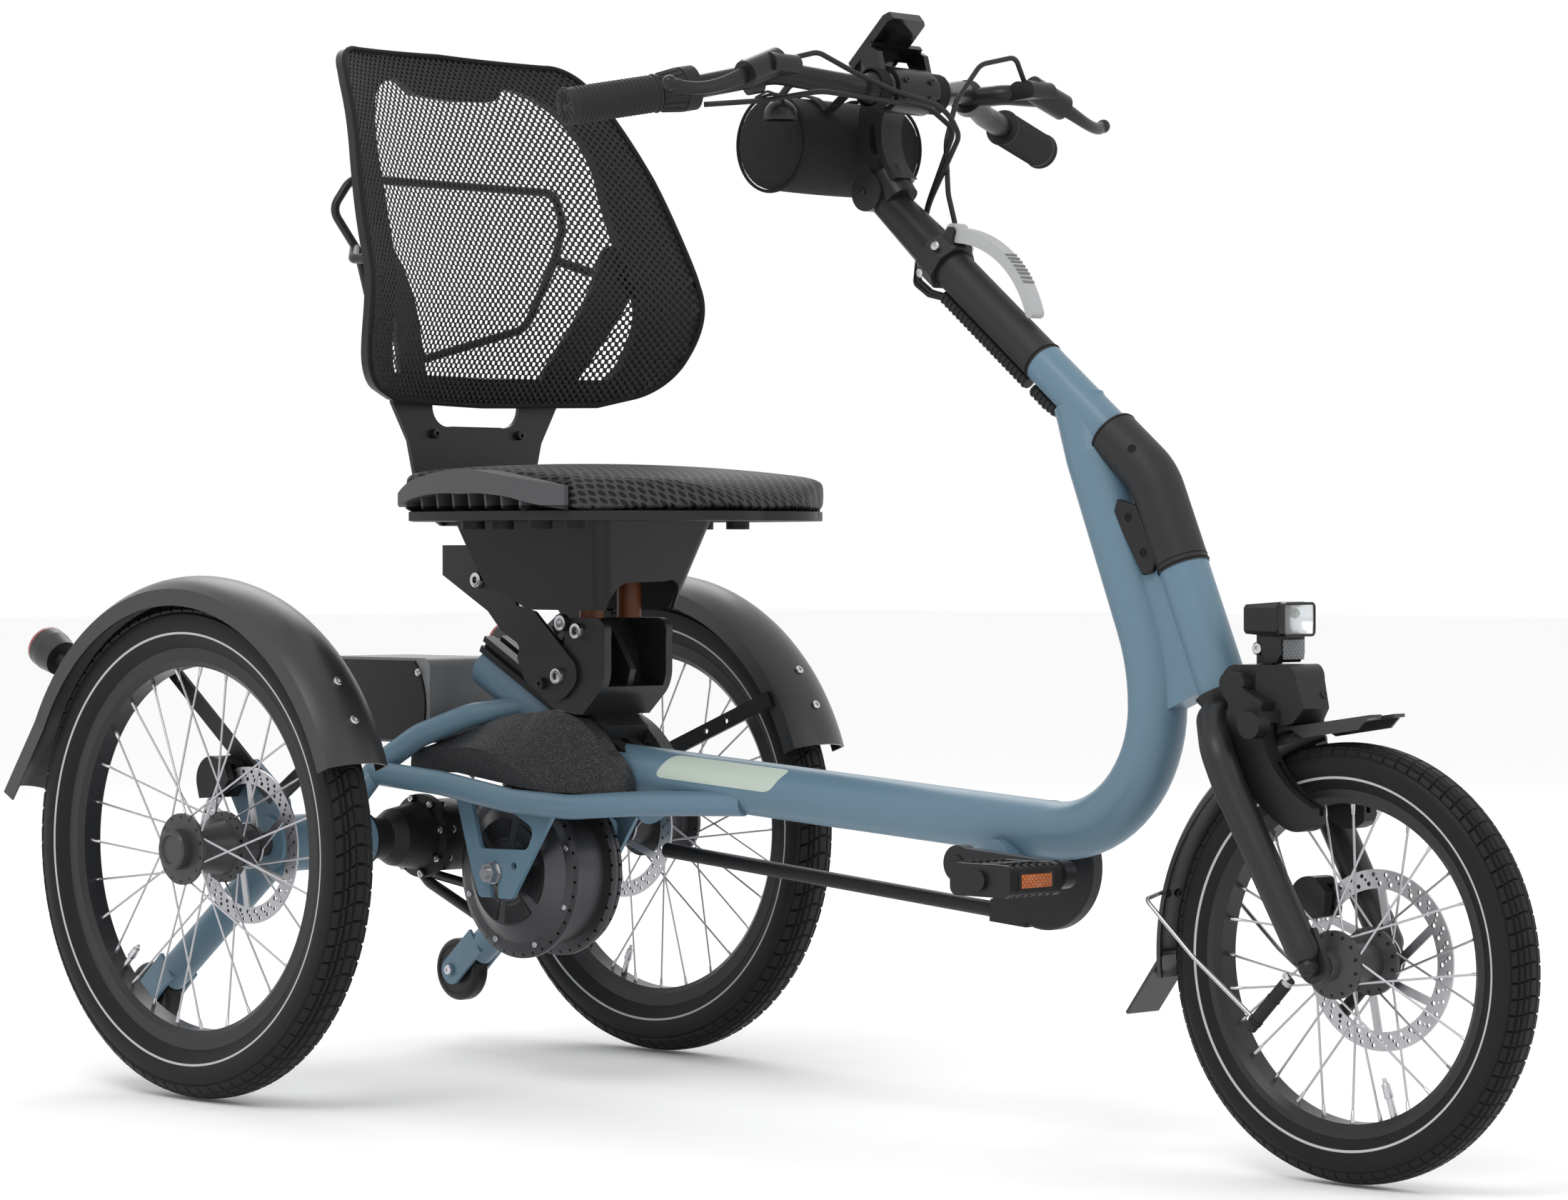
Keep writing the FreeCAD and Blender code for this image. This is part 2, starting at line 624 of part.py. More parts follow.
def drive_covers(frames):
    """The domed chain covers on both sides of the seat tube, with a lower shoulder outside."""
    dome = [(26, 69), (28, 94), (60, 104), (112, 118), (155, 130, 200, 135), (262, 131, 305, 99),
            (326, 79, 334, 55), (262, 59), (100, 73)]
    shoulder = [(26, 69), (28, 93), (60, 96), (112, 97), (146, 94, 170, 85),
                (196, 75, 215, 65), (224, 61, 232, 56), (200, 59), (100, 71)]
    wires = [outline(points, lambda x, z, place=place: rear_at(x, place, z))
             for place, points in ((31, dome), (47, dome), (66, shoulder))]
    cover = lofted(wires)
    for frame in frames:
        cover = cover.cut(frame)
    return pair(main_piece(cover))


def battery():
    """The battery case behind the seat tube, with a cheek on each side."""
    front = 44.0
    low = rear_at(0, 0, 99).z
    body_half = BATTERY_HALF - BATTERY_CHEEK
    body = box(FreeCAD.Vector(front - BATTERY_LENGTH, -body_half, low),
               FreeCAD.Vector(front, body_half, low + BATTERY_HEIGHT))
    body = body.makeFillet(9, [edge for edge in body.Edges if abs(edge.tangentAt(0).y) > 0.9])
    rear = front - BATTERY_LENGTH + 3
    high = low + BATTERY_HEIGHT - 3
    points = [(rear + 6, low + 3), (rear, low + 9), (rear, high - 6), (rear + 6, high), (front - 22, high),
              (front - 6, low + 52, front - 14, low + 3)]
    cheek = side_plate(lambda x, y, z: FreeCAD.Vector(x, y, z), points, body_half, BATTERY_CHEEK)
    return fuse([body] + both(cheek))


def guard_rods():
    """The forked strap under the axle drive, in front of its bolted joint."""
    outer = tube([rear_at(-46, 0, -3), rear_at(-45, 0, -32), rear_at(-20, 0, -52), rear_at(60, 0, -84)], 6,
                 [14, 20])
    inner = tube([rear_at(-40, 0, -39), rear_at(-4, 0, -44), rear_at(46, 0, -51)], 5, 30)
    return fuse([outer, inner])


def mudguard_section(half, edge, crown, skirt):
    """The arched cross-section of a mudguard in Y and radius, with straight skirts."""
    wall = GUARD_WALL
    return [(-half, edge - skirt), (-half, edge), (0, edge + crown, half, edge), (half, edge - skirt),
            (half - wall, edge - skirt), (half - wall, edge - 1),
            (0, edge + crown - wall, wall - half, edge - 1), (wall - half, edge - skirt)]


def rear_guard_edge():
    """The radius at which the rear mudguard's arch begins."""
    return REAR_RADIUS + REAR_GUARD_GAP


def rear_mudguards():
    """Both rear mudguards with their kicked-out tails."""
    centre = side_at(0, 0, 0)
    section = mudguard_section(REAR_GUARD_HALF, rear_guard_edge(), REAR_GUARD_CROWN, REAR_GUARD_SKIRT)
    guard = swept_guard(section, centre, 20, 152)
    along = wheel_way(152)
    start = outline(section, lambda y, r: centre + along * r + AXIS_Y * y)
    kick = FreeCAD.Vector(-66, 0, -76)
    end = outline(section, lambda y, r: centre + along * r + AXIS_Y * y * 0.8 + kick)
    return pair(guard.fuse(lofted([start, end])))


def flat_bar(start, end, width, thickness):
    """A flat bar between two points, with its width upright and a slot near each end."""
    way = unit(end - start)
    across = unit(way.cross(AXIS_Y)) * (width / 2)
    thick = unit(way.cross(across)) * thickness
    corners = [start + across, end + across, end - across, start - across]
    bar = Part.Face(Part.makePolygon(corners + corners[:1])).extrude(thick)
    for place in (0.62, 0.74):
        middle = start + (end - start) * place
        bar = bar.cut(rod(middle - thick * 2, middle + thick * 3, width / 6))
    return bar


def mudguard_stays(guards, rear):
    """The flat bars from the carrier plates to the rear mudguards' skirts."""
    foot = side_at(6, -CROSS_TUBE_END - 12 + CARRIER_PLATE_THICKNESS, 46)
    skirt = rear_guard_edge() - REAR_GUARD_SKIRT / 2
    bars = []
    for angle in (34.0, 124.0):
        end = side_at(0, -REAR_GUARD_HALF + 1, 0) + wheel_way(angle) * skirt
        bars.append(flat_bar(foot, end, 17, 4))
    stay = fuse(bars).cut(guards).cut(rear)
    return pair(main_piece(stay))


def caliper(centre, place, points, post_points, post_end):
    """A disc caliper with a slot for the rotor, two posts to its mount and a hose stub."""
    body = side_plate(lambda x, y, up: centre + FreeCAD.Vector(x, place + y, up), points, -14, 26)
    slot = cross_rod(centre, place - 3.5, place + 3.5, ROTOR_RADIUS + 6)
    body = body.cut(slot)
    posts = []
    for x, up in post_points:
        foot = centre + FreeCAD.Vector(x, 0, up)
        posts.append(cross_rod(foot, place - 13, post_end, 4))
    return fuse([body] + posts)


def rear_calipers(stays):
    """The rear calipers on their carrier plates, clear of the mudguard stays."""
    points = [(-66, 46), (-70, 60), (-62, 84, -44, 90), (-26, 84), (-18, 66), (-34, 48)]
    plate_face = TRACK / 2 - CROSS_TUBE_END - 12 + CARRIER_PLATE_THICKNESS
    left = caliper(rear_at(0, 0, 0), TRACK / 2 + REAR_ROTOR_PLACE, points, ((-56, 60), (-34, 78)), plate_face)
    return pair(main_piece(left.cut(stays)))


def tail_lamps(guards):
    """The round lamp pods that stand on the mudguards' tails."""
    centre = side_at(0, 0, 0)
    along = wheel_way(141.5)
    crest = rear_guard_edge() + REAR_GUARD_CROWN
    back = unit(FreeCAD.Vector(-26, 0, 12))
    pod_middle = centre + along * (crest + 26)
    pod = cone(pod_middle, pod_middle + back * 18, 19, 22).fuse(rod(pod_middle + back * 18,
                                                                    pod_middle + back * 29, 22))
    foot = rod(centre + along * (crest - 6), pod_middle + back * 6, 8)
    return pair(main_piece(fuse([pod, foot]).cut(guards)))


def chain_guard():
    """The round case over the chain ring, its spout and the long tube over the chain."""
    place = BRACKET_HALF + 0.5
    width = 18.0
    bracket = bracket_centre()
    case = cross_rod(bracket + AXIS_Z * CASE_DROP, place, place + width, CASE_RADIUS)
    case = case.makeFillet(4, [edge for edge in case.Edges if abs(edge.BoundBox.YLength) < 0.1])
    case = case.cut(cross_rod(bracket, place - 1, place + width + 1, SPINDLE_RADIUS + 3))
    start = bracket + FreeCAD.Vector(-20, 0, -46)
    end = rear_at(300, 0, -5)
    spout_end = bracket + FreeCAD.Vector(-67, 0, -53)
    tube_way = unit(end - start)
    up = tube_way.cross(AXIS_Y)
    middle = AXIS_Y * (place + width / 2)

    def ring(centre, half_height, half_width):
        corners = [(-half_height, -half_width), (-half_height, half_width), (half_height, half_width),
                   (half_height, -half_width)]
        return outline(corners, lambda h, y: centre + middle + up * h + AXIS_Y * y)

    spout = lofted([ring(start, 21, 9), ring(spout_end, 10.5, 9)])
    channel = rod(spout_end + middle, end + middle, CHAIN_TUBE_RADIUS)
    return fuse([case, spout, channel])


def seat_rail():
    """The grooved rail that the seat slides on."""
    half = RAIL_HALF
    top = RAIL_HEIGHT
    section = [(-half, -top), (-half, -11), (-half + 5, -11), (-half + 5, -6), (-half, -6), (-half, 0),
               (-5, 0), (-5, -3), (5, -3), (5, 0), (half, 0), (half, -6), (half - 5, -6), (half - 5, -11),
               (half, -11), (half, -top)]
    wire = outline(section, lambda y, h: rail_point(-4, h, y))
    return Part.Face(wire).extrude(rail_way() * RAIL_LENGTH)


def elbow_cover():
    """The black cover over the joint between the two steering tubes."""
    knee = front_at(-227, 0, 426.8)
    return tube([UPPER_HEAD_LOW, knee, STEERER_TOP], LOWER_HEAD_RADIUS + 1, 60)


def wrap_offset():
    """How far the wrapped cables run under the column's axis."""
    return -COLUMN_RADIUS - 6.3


def frame_cable():
    """The lower end of the wrapped cables, where they go into the frame."""
    low = wrap_offset()
    return tube([column_point(COLUMN_LENGTH + 5, low), column_point(COLUMN_LENGTH + 30, low),
                 column_point(COLUMN_LENGTH + 56, low + 4)], 6.0, 40)


def column_sleeve():
    """The sleeve that turns with the handlebar, with its eight-sided collar and the lever's lug."""
    sleeve = rod(COLUMN_TOP, column_point(COLUMN_LENGTH - SEAT_GAP), COLUMN_RADIUS)
    half = COLLAR_HALF
    cut = half * 0.45
    section = [(half, -cut), (half, cut), (cut, half), (-cut, half), (-half, cut), (-half, -cut),
               (-cut, -half), (cut, -half)]
    start = -COLLAR_LENGTH / 2
    wire = outline(section, lambda off, side: column_point(start, off, side))
    collar = Part.Face(wire).extrude((column_point(1) - COLUMN_TOP) * COLLAR_LENGTH)
    cheek_points = [(start + 4, half - 1), (start + 4, half + 7),
                    (start + 8, half + 12, start + 14, half + 7), (start + 18, half - 1)]
    cheeks = []
    for inner in (-12.0, 8.3):
        wire = outline(cheek_points, lambda along, off, inner=inner: column_point(along, off, inner))
        cheeks.append(Part.Face(wire).extrude(AXIS_Y * 3.7))
    pin = rod(column_point(start + 9, half + 5, -12), column_point(start + 9, half + 5, 12), 2.5)
    return fuse([sleeve, collar, pin] + cheeks)


def stem():
    """The stem: neck, pivot boss, curved arm with its slot, and the clamp round the bar."""
    pivot = bar_at(-30, 0, -95)
    neck = cone(pivot, column_point(-COLLAR_LENGTH / 2 - SEAT_GAP), 16.5, 21)
    boss = cross_rod(pivot, -20, 20, 19)
    arm = side_plate(bar_at, [(-41, -6), (-45, -36, -37, -61), (-30, -75, -17, -91), (6, -83),
                              (-12, -59, -15, -35), (-12, -23, 1, -15), (4, -6)], -14, 28)
    window = side_plate(bar_at, [(-29, -31), (-31, -46, -27, -59), (-12, -80), (-8, -78),
                                 (-20, -57, -24, -31)], -15, 30)
    arm = arm.cut(window)
    collar = rod(bar_at(-20, 0, -79), bar_at(-2, 0, -103), 17)
    barrel = cross_rod(BAR_CLAMP, -STEM_CLAMP_HALF, STEM_CLAMP_HALF, BAR_CLAMP_RADIUS + 6)
    body = fuse([neck, boss, arm, collar, barrel])
    return body.cut(cross_rod(BAR_CLAMP, -BAR_CLAMP_HALF, BAR_CLAMP_HALF, BAR_CLAMP_RADIUS + RUNNING_FIT))


def grip_ends():
    """The end and the inner end of the bar's straight run under the left grip."""
    return bar_at(-116, 326, -29), bar_at(-78, 200, -5)


def handlebar():
    """The swept handlebar with its thicker middle."""
    end, inner = grip_ends()
    half = tube([end, inner, bar_at(-44, 130, 12), bar_at(-8, 62, 1), bar_at(0, 30, 0), BAR_CLAMP],
                BAR_RADIUS, 60)
    middle = turned([(-BAR_CLAMP_HALF - 8, 0), (-BAR_CLAMP_HALF - 8, BAR_RADIUS),
                     (-BAR_CLAMP_HALF, BAR_CLAMP_RADIUS), (BAR_CLAMP_HALF, BAR_CLAMP_RADIUS),
                     (BAR_CLAMP_HALF + 8, BAR_RADIUS), (BAR_CLAMP_HALF + 8, 0)], BAR_CLAMP)
    return fuse(both(half) + [middle])


def grips(bar):
    """Both grips with their end caps, and the twist shifter inboard of the right one."""
    end, inner = grip_ends()
    way = unit(inner - end)
    body = rod(end - way * 4, end + way * GRIP_LENGTH, GRIP_RADIUS)
    grip = main_piece(body.cut(bar))
    shifter_start = end + way * (GRIP_LENGTH + 1)
    shifter = cone(shifter_start, shifter_start + way * 24, GRIP_RADIUS, GRIP_RADIUS + 3)
    shifter = shifter.fuse(rod(shifter_start + way * 24, shifter_start + way * 38, GRIP_RADIUS + 4))
    return Part.makeCompound(both(grip) + [mirrored(main_piece(shifter.cut(bar)))])


def lever_blade():
    """The curved, tapering lever blade on the left."""
    places = [(bar_at(8, 214, 1), 8, 5), (bar_at(9, 238, -8), 7, 4.5), (bar_at(2, 276, -17), 6, 4),
              (bar_at(-8, 300, -13), 6, 4)]
    rings = []
    for (centre, height, depth), (after, _, _) in zip(places, places[1:] + places[-1:]):
        way = unit(after - centre) if after != centre else unit(centre - places[-2][0])
        side = unit(way.cross(AXIS_Z))
        oval = Part.Ellipse(centre + unit(side.cross(way)) * height, centre + side * depth, centre)
        rings.append(Part.Wire([oval.toShape()]))
    blade = Part.makeLoft(rings, True, False)
    return [blade, Part.makeSphere(7, places[-1][0])]


def brake_levers(bar):
    """A clamp, housing and curved blade on each side."""
    centre = bar_at(-44, 130, 12)
    outward = unit(bar_at(-78, 200, -5) - centre)
    middle = centre + outward * 22
    ring = rod(middle - outward * 7, middle + outward * 7, BAR_RADIUS + 6)
    arm = tube([middle + AXIS_X * 4, middle + FreeCAD.Vector(38, 12, 2), bar_at(9, 200, 7)], 10, 22)
    housing = rod(bar_at(6, 176, 15), bar_at(9, 220, -1), 13)
    reservoir = side_plate(bar_at, [(-10, 2), (-8, 16, 8, 20), (22, 17, 22, 4)], 160, 34)
    lever = fuse([ring, arm, housing, reservoir] + lever_blade())
    return pair(main_piece(lever.cut(bar)))


def display():
    """The tilted display on its two-armed bracket."""
    lower = bar_at(-51, 0, 25)
    upper = bar_at(2, 0, 74)
    slope = unit(upper - lower)
    back = slope.cross(AXIS_Y) * -1
    if back.x < 0:
        back = back * -1
    half = 26.0
    face = [(0, -half + 5), (0, half - 5), (5, half), (67, half), (72, half - 5), (72, -half + 5),
            (67, -half), (5, -half)]
    plate = Part.Face(outline(face, lambda s, y: lower + slope * s + AXIS_Y * y)).extrude(back * 9)
    rear = [(20, -15), (20, 15), (56, 15), (60, 10), (60, -10), (56, -15)]
    block = Part.Face(outline(rear, lambda s, y: lower + slope * s + back * 8.5 + AXIS_Y * y))
    block = block.extrude(back * 8)
    arms = []
    for side in (-1, 1):
        clamp = cross_rod(BAR_CLAMP, side * 28.5, side * 35, BAR_CLAMP_RADIUS + 3)
        arms.append(clamp)
        arms.append(side_plate(bar_at, [(-10, 10), (-22, 30), (-16, 44), (0, 36), (6, 14)],
                               min(side * 28.5, side * 35), 6.5))
    bridge = Part.Face(outline([(26, -35), (26, 35), (44, 35), (44, -35)],
                               lambda s, y: lower + slope * s + back * 12 + AXIS_Y * y)).extrude(back * 5)
    body = fuse([plate, block, bridge] + arms)
    return main_piece(body.cut(cross_rod(BAR_CLAMP, -40, 40, BAR_CLAMP_RADIUS + SEAT_GAP)))


def bell(bar):
    """The dome bell under the bar on the right, with its arm and striker."""
    centre = bar_at(-57, -108, -27)
    dome = Part.makeSphere(16, centre).cut(Part.makeSphere(14, centre))
    dome = dome.cut(box(centre - FreeCAD.Vector(20, 20, 20), centre + FreeCAD.Vector(20, 20, -4)))
    stalk = rod(centre + FreeCAD.Vector(0, 0, 10), centre + FreeCAD.Vector(0, 0, 20), 4)
    arm = tube([centre + FreeCAD.Vector(0, 0, 18), centre + FreeCAD.Vector(10, 0, 27), bar_at(-31, -106, 9)],
               3.5, 8)
    striker = tube([centre + FreeCAD.Vector(0, 0, 19), centre + FreeCAD.Vector(-12, -6, 24),
                    centre + FreeCAD.Vector(-24, -10, 18)], 1.2, 6)
    return main_piece(fuse([dome, stalk, arm, striker]).cut(bar))


def handlebar_bag():
    """The roll bag behind the stem with its two straps round the bar."""
    centre = bar_at(-98, 0, -48)
    radius = BAG_RADIUS
    end = BAG_HALF
    roll = turned([(-end, 0), (-end, radius - 10), (-end + 3, radius - 3, -end + 10, radius),
                   (end - 10, radius), (end - 3, radius - 3, end, radius - 10), (end, 0)], centre)
    straps = []
    for side in (-1, 1):
        inner = min(side * 36, side * 44)
        ring = cross_rod(BAR_CLAMP, inner, inner + 8, BAR_CLAMP_RADIUS + 2.5)
        straps.append(ring)
        straps.append(side_plate(bar_at, [(-14, 10), (-98, -4), (-98, -12), (-12, -12)], inner, 8))
    body = fuse([roll] + straps)
    return main_piece(body.cut(cross_rod(BAR_CLAMP, -50, 50, BAR_CLAMP_RADIUS + SEAT_GAP)))


def qr_lever():
    """The light curved lever that frees the column, on the collar's pin."""
    start = -COLLAR_LENGTH / 2 + 9
    pivot = COLLAR_HALF + 5
    points = [(start - 7, pivot - 4), (start - 8, pivot + 6, start + 2, pivot + 9),
              (start + 64, pivot + 25, start + 127, pivot + 5),
              (start + 130, pivot + 1, start + 122, pivot - 3),
              (start + 64, pivot + 14, start + 12, pivot - 2),
              (start + 5, pivot - 4.5, start - 7, pivot - 4)]
    face = Part.Face(outline(points, lambda along, off: column_point(along, off, -8)))
    lever = face.extrude(AXIS_Y * 16)
    hole = rod(column_point(start, pivot, -13), column_point(start, pivot, 13), 2.5 + SEAT_GAP)
    return lever.cut(hole)


def brake_cables(fittings):
    """The control cables from the levers round the stem, and their wrapped run under the column."""
    low = wrap_offset()
    joining = COLLAR_LENGTH / 2 + 9
    under = column_point(-20, low - 12, 6)
    past = column_point(2, low - 9, 3)
    wrap_start = column_point(joining, low)
    right = tube([bar_at(8, -166, 17), bar_at(16, -132, 26), bar_at(23, -92, 10), bar_at(31, -45, -5),
                  bar_at(50, 8, -19), bar_at(55, 20, -45), column_point(-74, 16, 29),
                  column_point(-58, -18, 25), under, past, wrap_start],
                 CABLE_RADIUS, [20, 30, 40, 40, 14, 40, 16, 12, 12])
    left = tube([bar_at(8, 166, 17), bar_at(18, 140, 42), bar_at(18, 90, 31), bar_at(25, 48, -7),
                 bar_at(28, 30, -49), bar_at(32, 29, -98), column_point(-34, 20, 29),
                 column_point(-20, 8, 28)], CABLE_RADIUS, [16, 30, 40, 40, 40, 40])
    shifter = tube([bar_at(-66, -200, -22), bar_at(-22, -166, -19), bar_at(16, -128, -10),
                    bar_at(26, -60, -14), bar_at(36, 0, -19), bar_at(42, 27, -38), column_point(-80, 10, 36),
                    column_point(-60, -26, 31), column_point(-24, low - 18, 8), column_point(0, low - 14, 4),
                    column_point(joining + 4, low - 1)],
                   CABLE_RADIUS, [20, 30, 40, 40, 16, 40, 16, 12, 12])
    wrap = rod(wrap_start, column_point(COLUMN_LENGTH - 4, low), 6.0)
    body = fuse([right, shifter, wrap])
    return Part.makeCompound([main_piece(cord.cut(fittings)) for cord in (body, left)])


def fork():
    """The fork: steerer, crown, curved shoulders, blades and dropouts."""
    height = LOWER_HEAD_HEIGHT
    steerer = rod(steerer_point(2), steerer_point(height + 24), STEERER_RADIUS)
    crown = cone(steerer_point(height + SEAT_GAP), steerer_point(height + 18), LOWER_HEAD_RADIUS + 4, 19)
    spread = FORK_SPREAD
    path = [steerer_point(height + 22), steerer_point(height + 27, 6, 36), front_at(-102.5, spread, 185),
            front_at(-86.5, spread, 151), front_at(-8, spread - 3, 14)]
    blade = tube(path, BLADE_RADIUS, [16, 34, 60])
    tip = Part.makeSphere(BLADE_RADIUS, path[-1])
    eye = cross_rod(front_at(0, 0, 0), DROPOUT_INNER, DROPOUT_INNER + DROPOUT_WIDTH, 15)
    tab = side_plate(front_at, [(-15, -2), (-24, 30), (0, 34), (15, 2)], DROPOUT_INNER, DROPOUT_WIDTH)
    hole = cross_rod(front_at(0, 0, 0), 40, 90, FRONT_AXLE_RADIUS + RUNNING_FIT)
    room = cross_rod(front_at(0, 0, 0), 30, DROPOUT_INNER, 19)
    side = fuse([blade, tip, eye, tab]).cut(hole).cut(room)
    return fuse([steerer, crown] + both(side))


def front_axle():
    """The front wheel's fixed axle with its inner collars and cap nuts."""
    centre = front_at(0, 0, 0)
    outer = DROPOUT_INNER + DROPOUT_WIDTH
    bar = cross_rod(centre, -outer - 4, outer + 4, FRONT_AXLE_RADIUS)
    collar = cross_rod(centre, FRONT_HUB_HALF + 0.5, DROPOUT_INNER, 11)
    return fuse([bar] + both(collar))


def lock_leg():
    """The left leg of the ring lock, which curves down beside the tyre."""
    points = [(-112.5, 238), (-110.5, 250, -99.5, 252), (-88.5, 250, -86.5, 238), (-64.5, 227),
              (-66.5, 202, -57.5, 178), (-36.5, 153, -8.5, 136), (-8.5, 122), (-24.5, 115, -40.5, 118),
              (-72.5, 141, -95.5, 169), (-105.5, 197, -102.5, 225)]
    leg = side_plate(front_at, points, 27, 18)
    slot = side_plate(front_at, [(-46.5, 179), (-32.5, 159, -4.5, 142), (-4.5, 128),
                                 (-36.5, 145, -58.5, 173)],
                      30, 6)
    return leg.cut(slot)


def ring_lock():
    """The crown cover with its cheeks and the ring lock round the front wheel."""
    hood = side_plate(front_at, [(-120.5, 243), (-115.5, 255, -102.5, 259), (-64, 259), (-52, 257, -47, 246),
                                 (-40, 221), (-52.5, 205), (-112.5, 219)], -33, 66)
    plan = [(-130, -33), (-82, -33), (-38, -17), (-38, 17), (-82, 33), (-130, 33)]
    hood = hood.common(plan_prism(front_at, plan, 190, 80))
    boss_centre = front_at(-99.5, 0, 238)
    bosses = [cross_rod(boss_centre, 30, 43, 13).cut(cross_rod(boss_centre, 38, 44, 8))]
    knob = cross_rod(front_at(-68.5, 0, 207), -60, -44, 12)
    knob_bridge = side_plate(front_at, [(-84.5, 219), (-60, 219), (-60, 209), (-84.5, 209)], -56, 32)
    clamp = side_plate(front_at, [(-104.5, 173), (-84.5, 165), (-90.5, 153), (-108.5, 161)], 44, 6)
    legs = [lock_leg()] + bosses + [clamp]
    body = fuse([hood, knob, knob_bridge] + legs + [mirrored(leg) for leg in legs])
    tunnel_radius = FRONT_RADIUS + FRONT_GUARD_GAP + FRONT_GUARD_CROWN + 1
    return body.cut(cross_rod(front_at(0, 0, 0), -26, 26, tunnel_radius))


def front_guard_section(crown, half):
    """The front mudguard's section, narrow enough for the lock's legs."""
    return mudguard_section(half, FRONT_RADIUS + FRONT_GUARD_GAP, crown, 4)


def front_mudguard():
    """The front mudguard with its rising beak and the flap that leans back at its lower end."""
    centre = front_at(0, 0, 0)
    guard = swept_guard(front_guard_section(FRONT_GUARD_CROWN, FRONT_GUARD_HALF), centre, 104, 187)
    crest = FRONT_RADIUS + FRONT_GUARD_GAP + FRONT_GUARD_CROWN
    beak = side_plate(front_at, [(-60, crest - 9), (38, crest + 5), (38, crest + 2), (-60, crest - 12)],
                      -24, 48)
    notch = box(front_at(25, -9, crest - 8), front_at(40, 9, crest + 8))
    lips = []
    for inner in (-24, 21.5):
        lips.append(side_plate(front_at, [(-50, crest - 10), (34, crest + 2), (24, crest - 8),
                                          (-36, crest - 17)], inner, 2.5))
    flap = side_plate(front_at, [(-199, -1), (-241.5, -58), (-239.5, -60), (-197, -4)], -22, 44)
    return fuse([guard, beak.cut(notch), flap] + lips)


def front_stay(guard):
    """The wire stay from the mudguard's edge to the clips at the fork's ends."""
    wire = tube([front_at(-198.5, 20, 53), front_at(-185.5, 60, 49), front_at(-130.5, 60, 1),
                 front_at(-56.5, 62, -51)], 2, 10)
    clip = rod(front_at(-62.5, 62, -55), front_at(-20.5, 62, -12), 5.5)
    return pair(main_piece(fuse([wire, clip]).cut(guard)))


def headlight():
    """The lamp with its lower reflector and holed bracket."""

    def ring(x, half, low, high, bevel):
        corners = [(-half + bevel, low), (half - bevel, low), (half, low + bevel), (half, high - bevel),
                   (half - bevel, high), (-half + bevel, high), (-half, high - bevel), (-half, low + bevel)]
        return outline(corners, lambda y, z: front_at(x, y, z))

    body = lofted([ring(-107, 19, 286, 312, 3), ring(-68, 23, 283.5, 314.5, 5)])
    lens = lofted([ring(-68, 23, 283.5, 314.5, 5), ring(-64, 21, 285.5, 312.5, 6)])
    low_points = [(-92, 284), (-67, 284), (-67, 268), (-72, 261), (-82, 261), (-88, 268)]
    low = side_plate(front_at, low_points, -17, 34)
    seat = 259 + SEAT_GAP
    foot = side_plate(front_at, [(-102, seat), (-84, seat), (-92, 285), (-102, 285)], -7, 14)
    gap = side_plate(front_at, [(-103, 262), (-82, 262), (-82, 280), (-103, 280)], -4, 8)
    bolt = cross_rod(front_at(-97.5, 0, 273), -11, 11, 6)
    return fuse([body, lens, low, foot.cut(gap), bolt])


def front_caliper(blade):
    """The front brake caliper behind the left blade."""
    centre = front_at(0, 0, 0)
    points = [(-84, 30), (-90, 46), (-80, 68, -62, 70), (-50, 58), (-52, 36)]
    left = caliper(centre, FRONT_ROTOR_PLACE, points, ((-72, 52),), FORK_SPREAD)
    arm = rod(front_at(-72, FORK_SPREAD - 5, 52), front_at(-34, FORK_SPREAD - 2, 62), 5)
    return main_piece(left.fuse(arm).cut(blade))


def crank_arm(side):
    """One crank arm with its two bosses: side 1 is the left one."""
    root = bracket_centre()
    drop = math.radians(CRANK_DROP)
    way = FreeCAD.Vector(-side * math.cos(drop), 0, side * math.sin(drop))
    up = FreeCAD.Vector(-way.z, 0, way.x)
    end = root + way * CRANK_LENGTH
    lean = (CRANK_ROOT_RADIUS - CRANK_END_RADIUS) / CRANK_LENGTH
    high = math.sqrt(1 - lean * lean)
    corners = []
    for centre, radius in ((root, CRANK_ROOT_RADIUS - 2), (end, CRANK_END_RADIUS - 2)):
        corners.append((centre + way * (radius * lean) + up * (radius * high),
                        centre + way * (radius * lean) - up * (radius * high)))
    inner = CRANK_INNER if side > 0 else -CRANK_INNER - CRANK_THICKNESS
    wire = Part.makePolygon([corners[0][0], corners[1][0], corners[1][1], corners[0][1], corners[0][0]])
    web = Part.Face(wire).extrude(AXIS_Y * CRANK_THICKNESS)
    web.translate(AXIS_Y * inner)
    groove = cone(root + way * 26, end - way * 20, 3.5, 2.5)
    groove.translate(AXIS_Y * (inner if side < 0 else inner + CRANK_THICKNESS))
    bosses = [cross_rod(root, inner, inner + CRANK_THICKNESS, CRANK_ROOT_RADIUS),
              cross_rod(end, inner, inner + CRANK_THICKNESS, CRANK_END_RADIUS)]
    hole = cross_rod(end, inner - 1, inner + CRANK_THICKNESS + 1, PEDAL_AXLE_RADIUS + RUNNING_FIT)
    return fuse([web.cut(groove)] + bosses).cut(hole)


def crankset():
    """The spindle with both cranks, the right one forward."""
    spindle = cross_rod(bracket_centre(), -CRANK_INNER - 2, CRANK_INNER + 2, SPINDLE_RADIUS)
    return fuse([spindle, crank_arm(1), crank_arm(-1)])


def pedal_centre(side):
    """The pedal axle's place at the end of a crank."""
    drop = math.radians(CRANK_DROP)
    return bracket_centre() + FreeCAD.Vector(-side * math.cos(drop), 0, side * math.sin(drop)) * CRANK_LENGTH


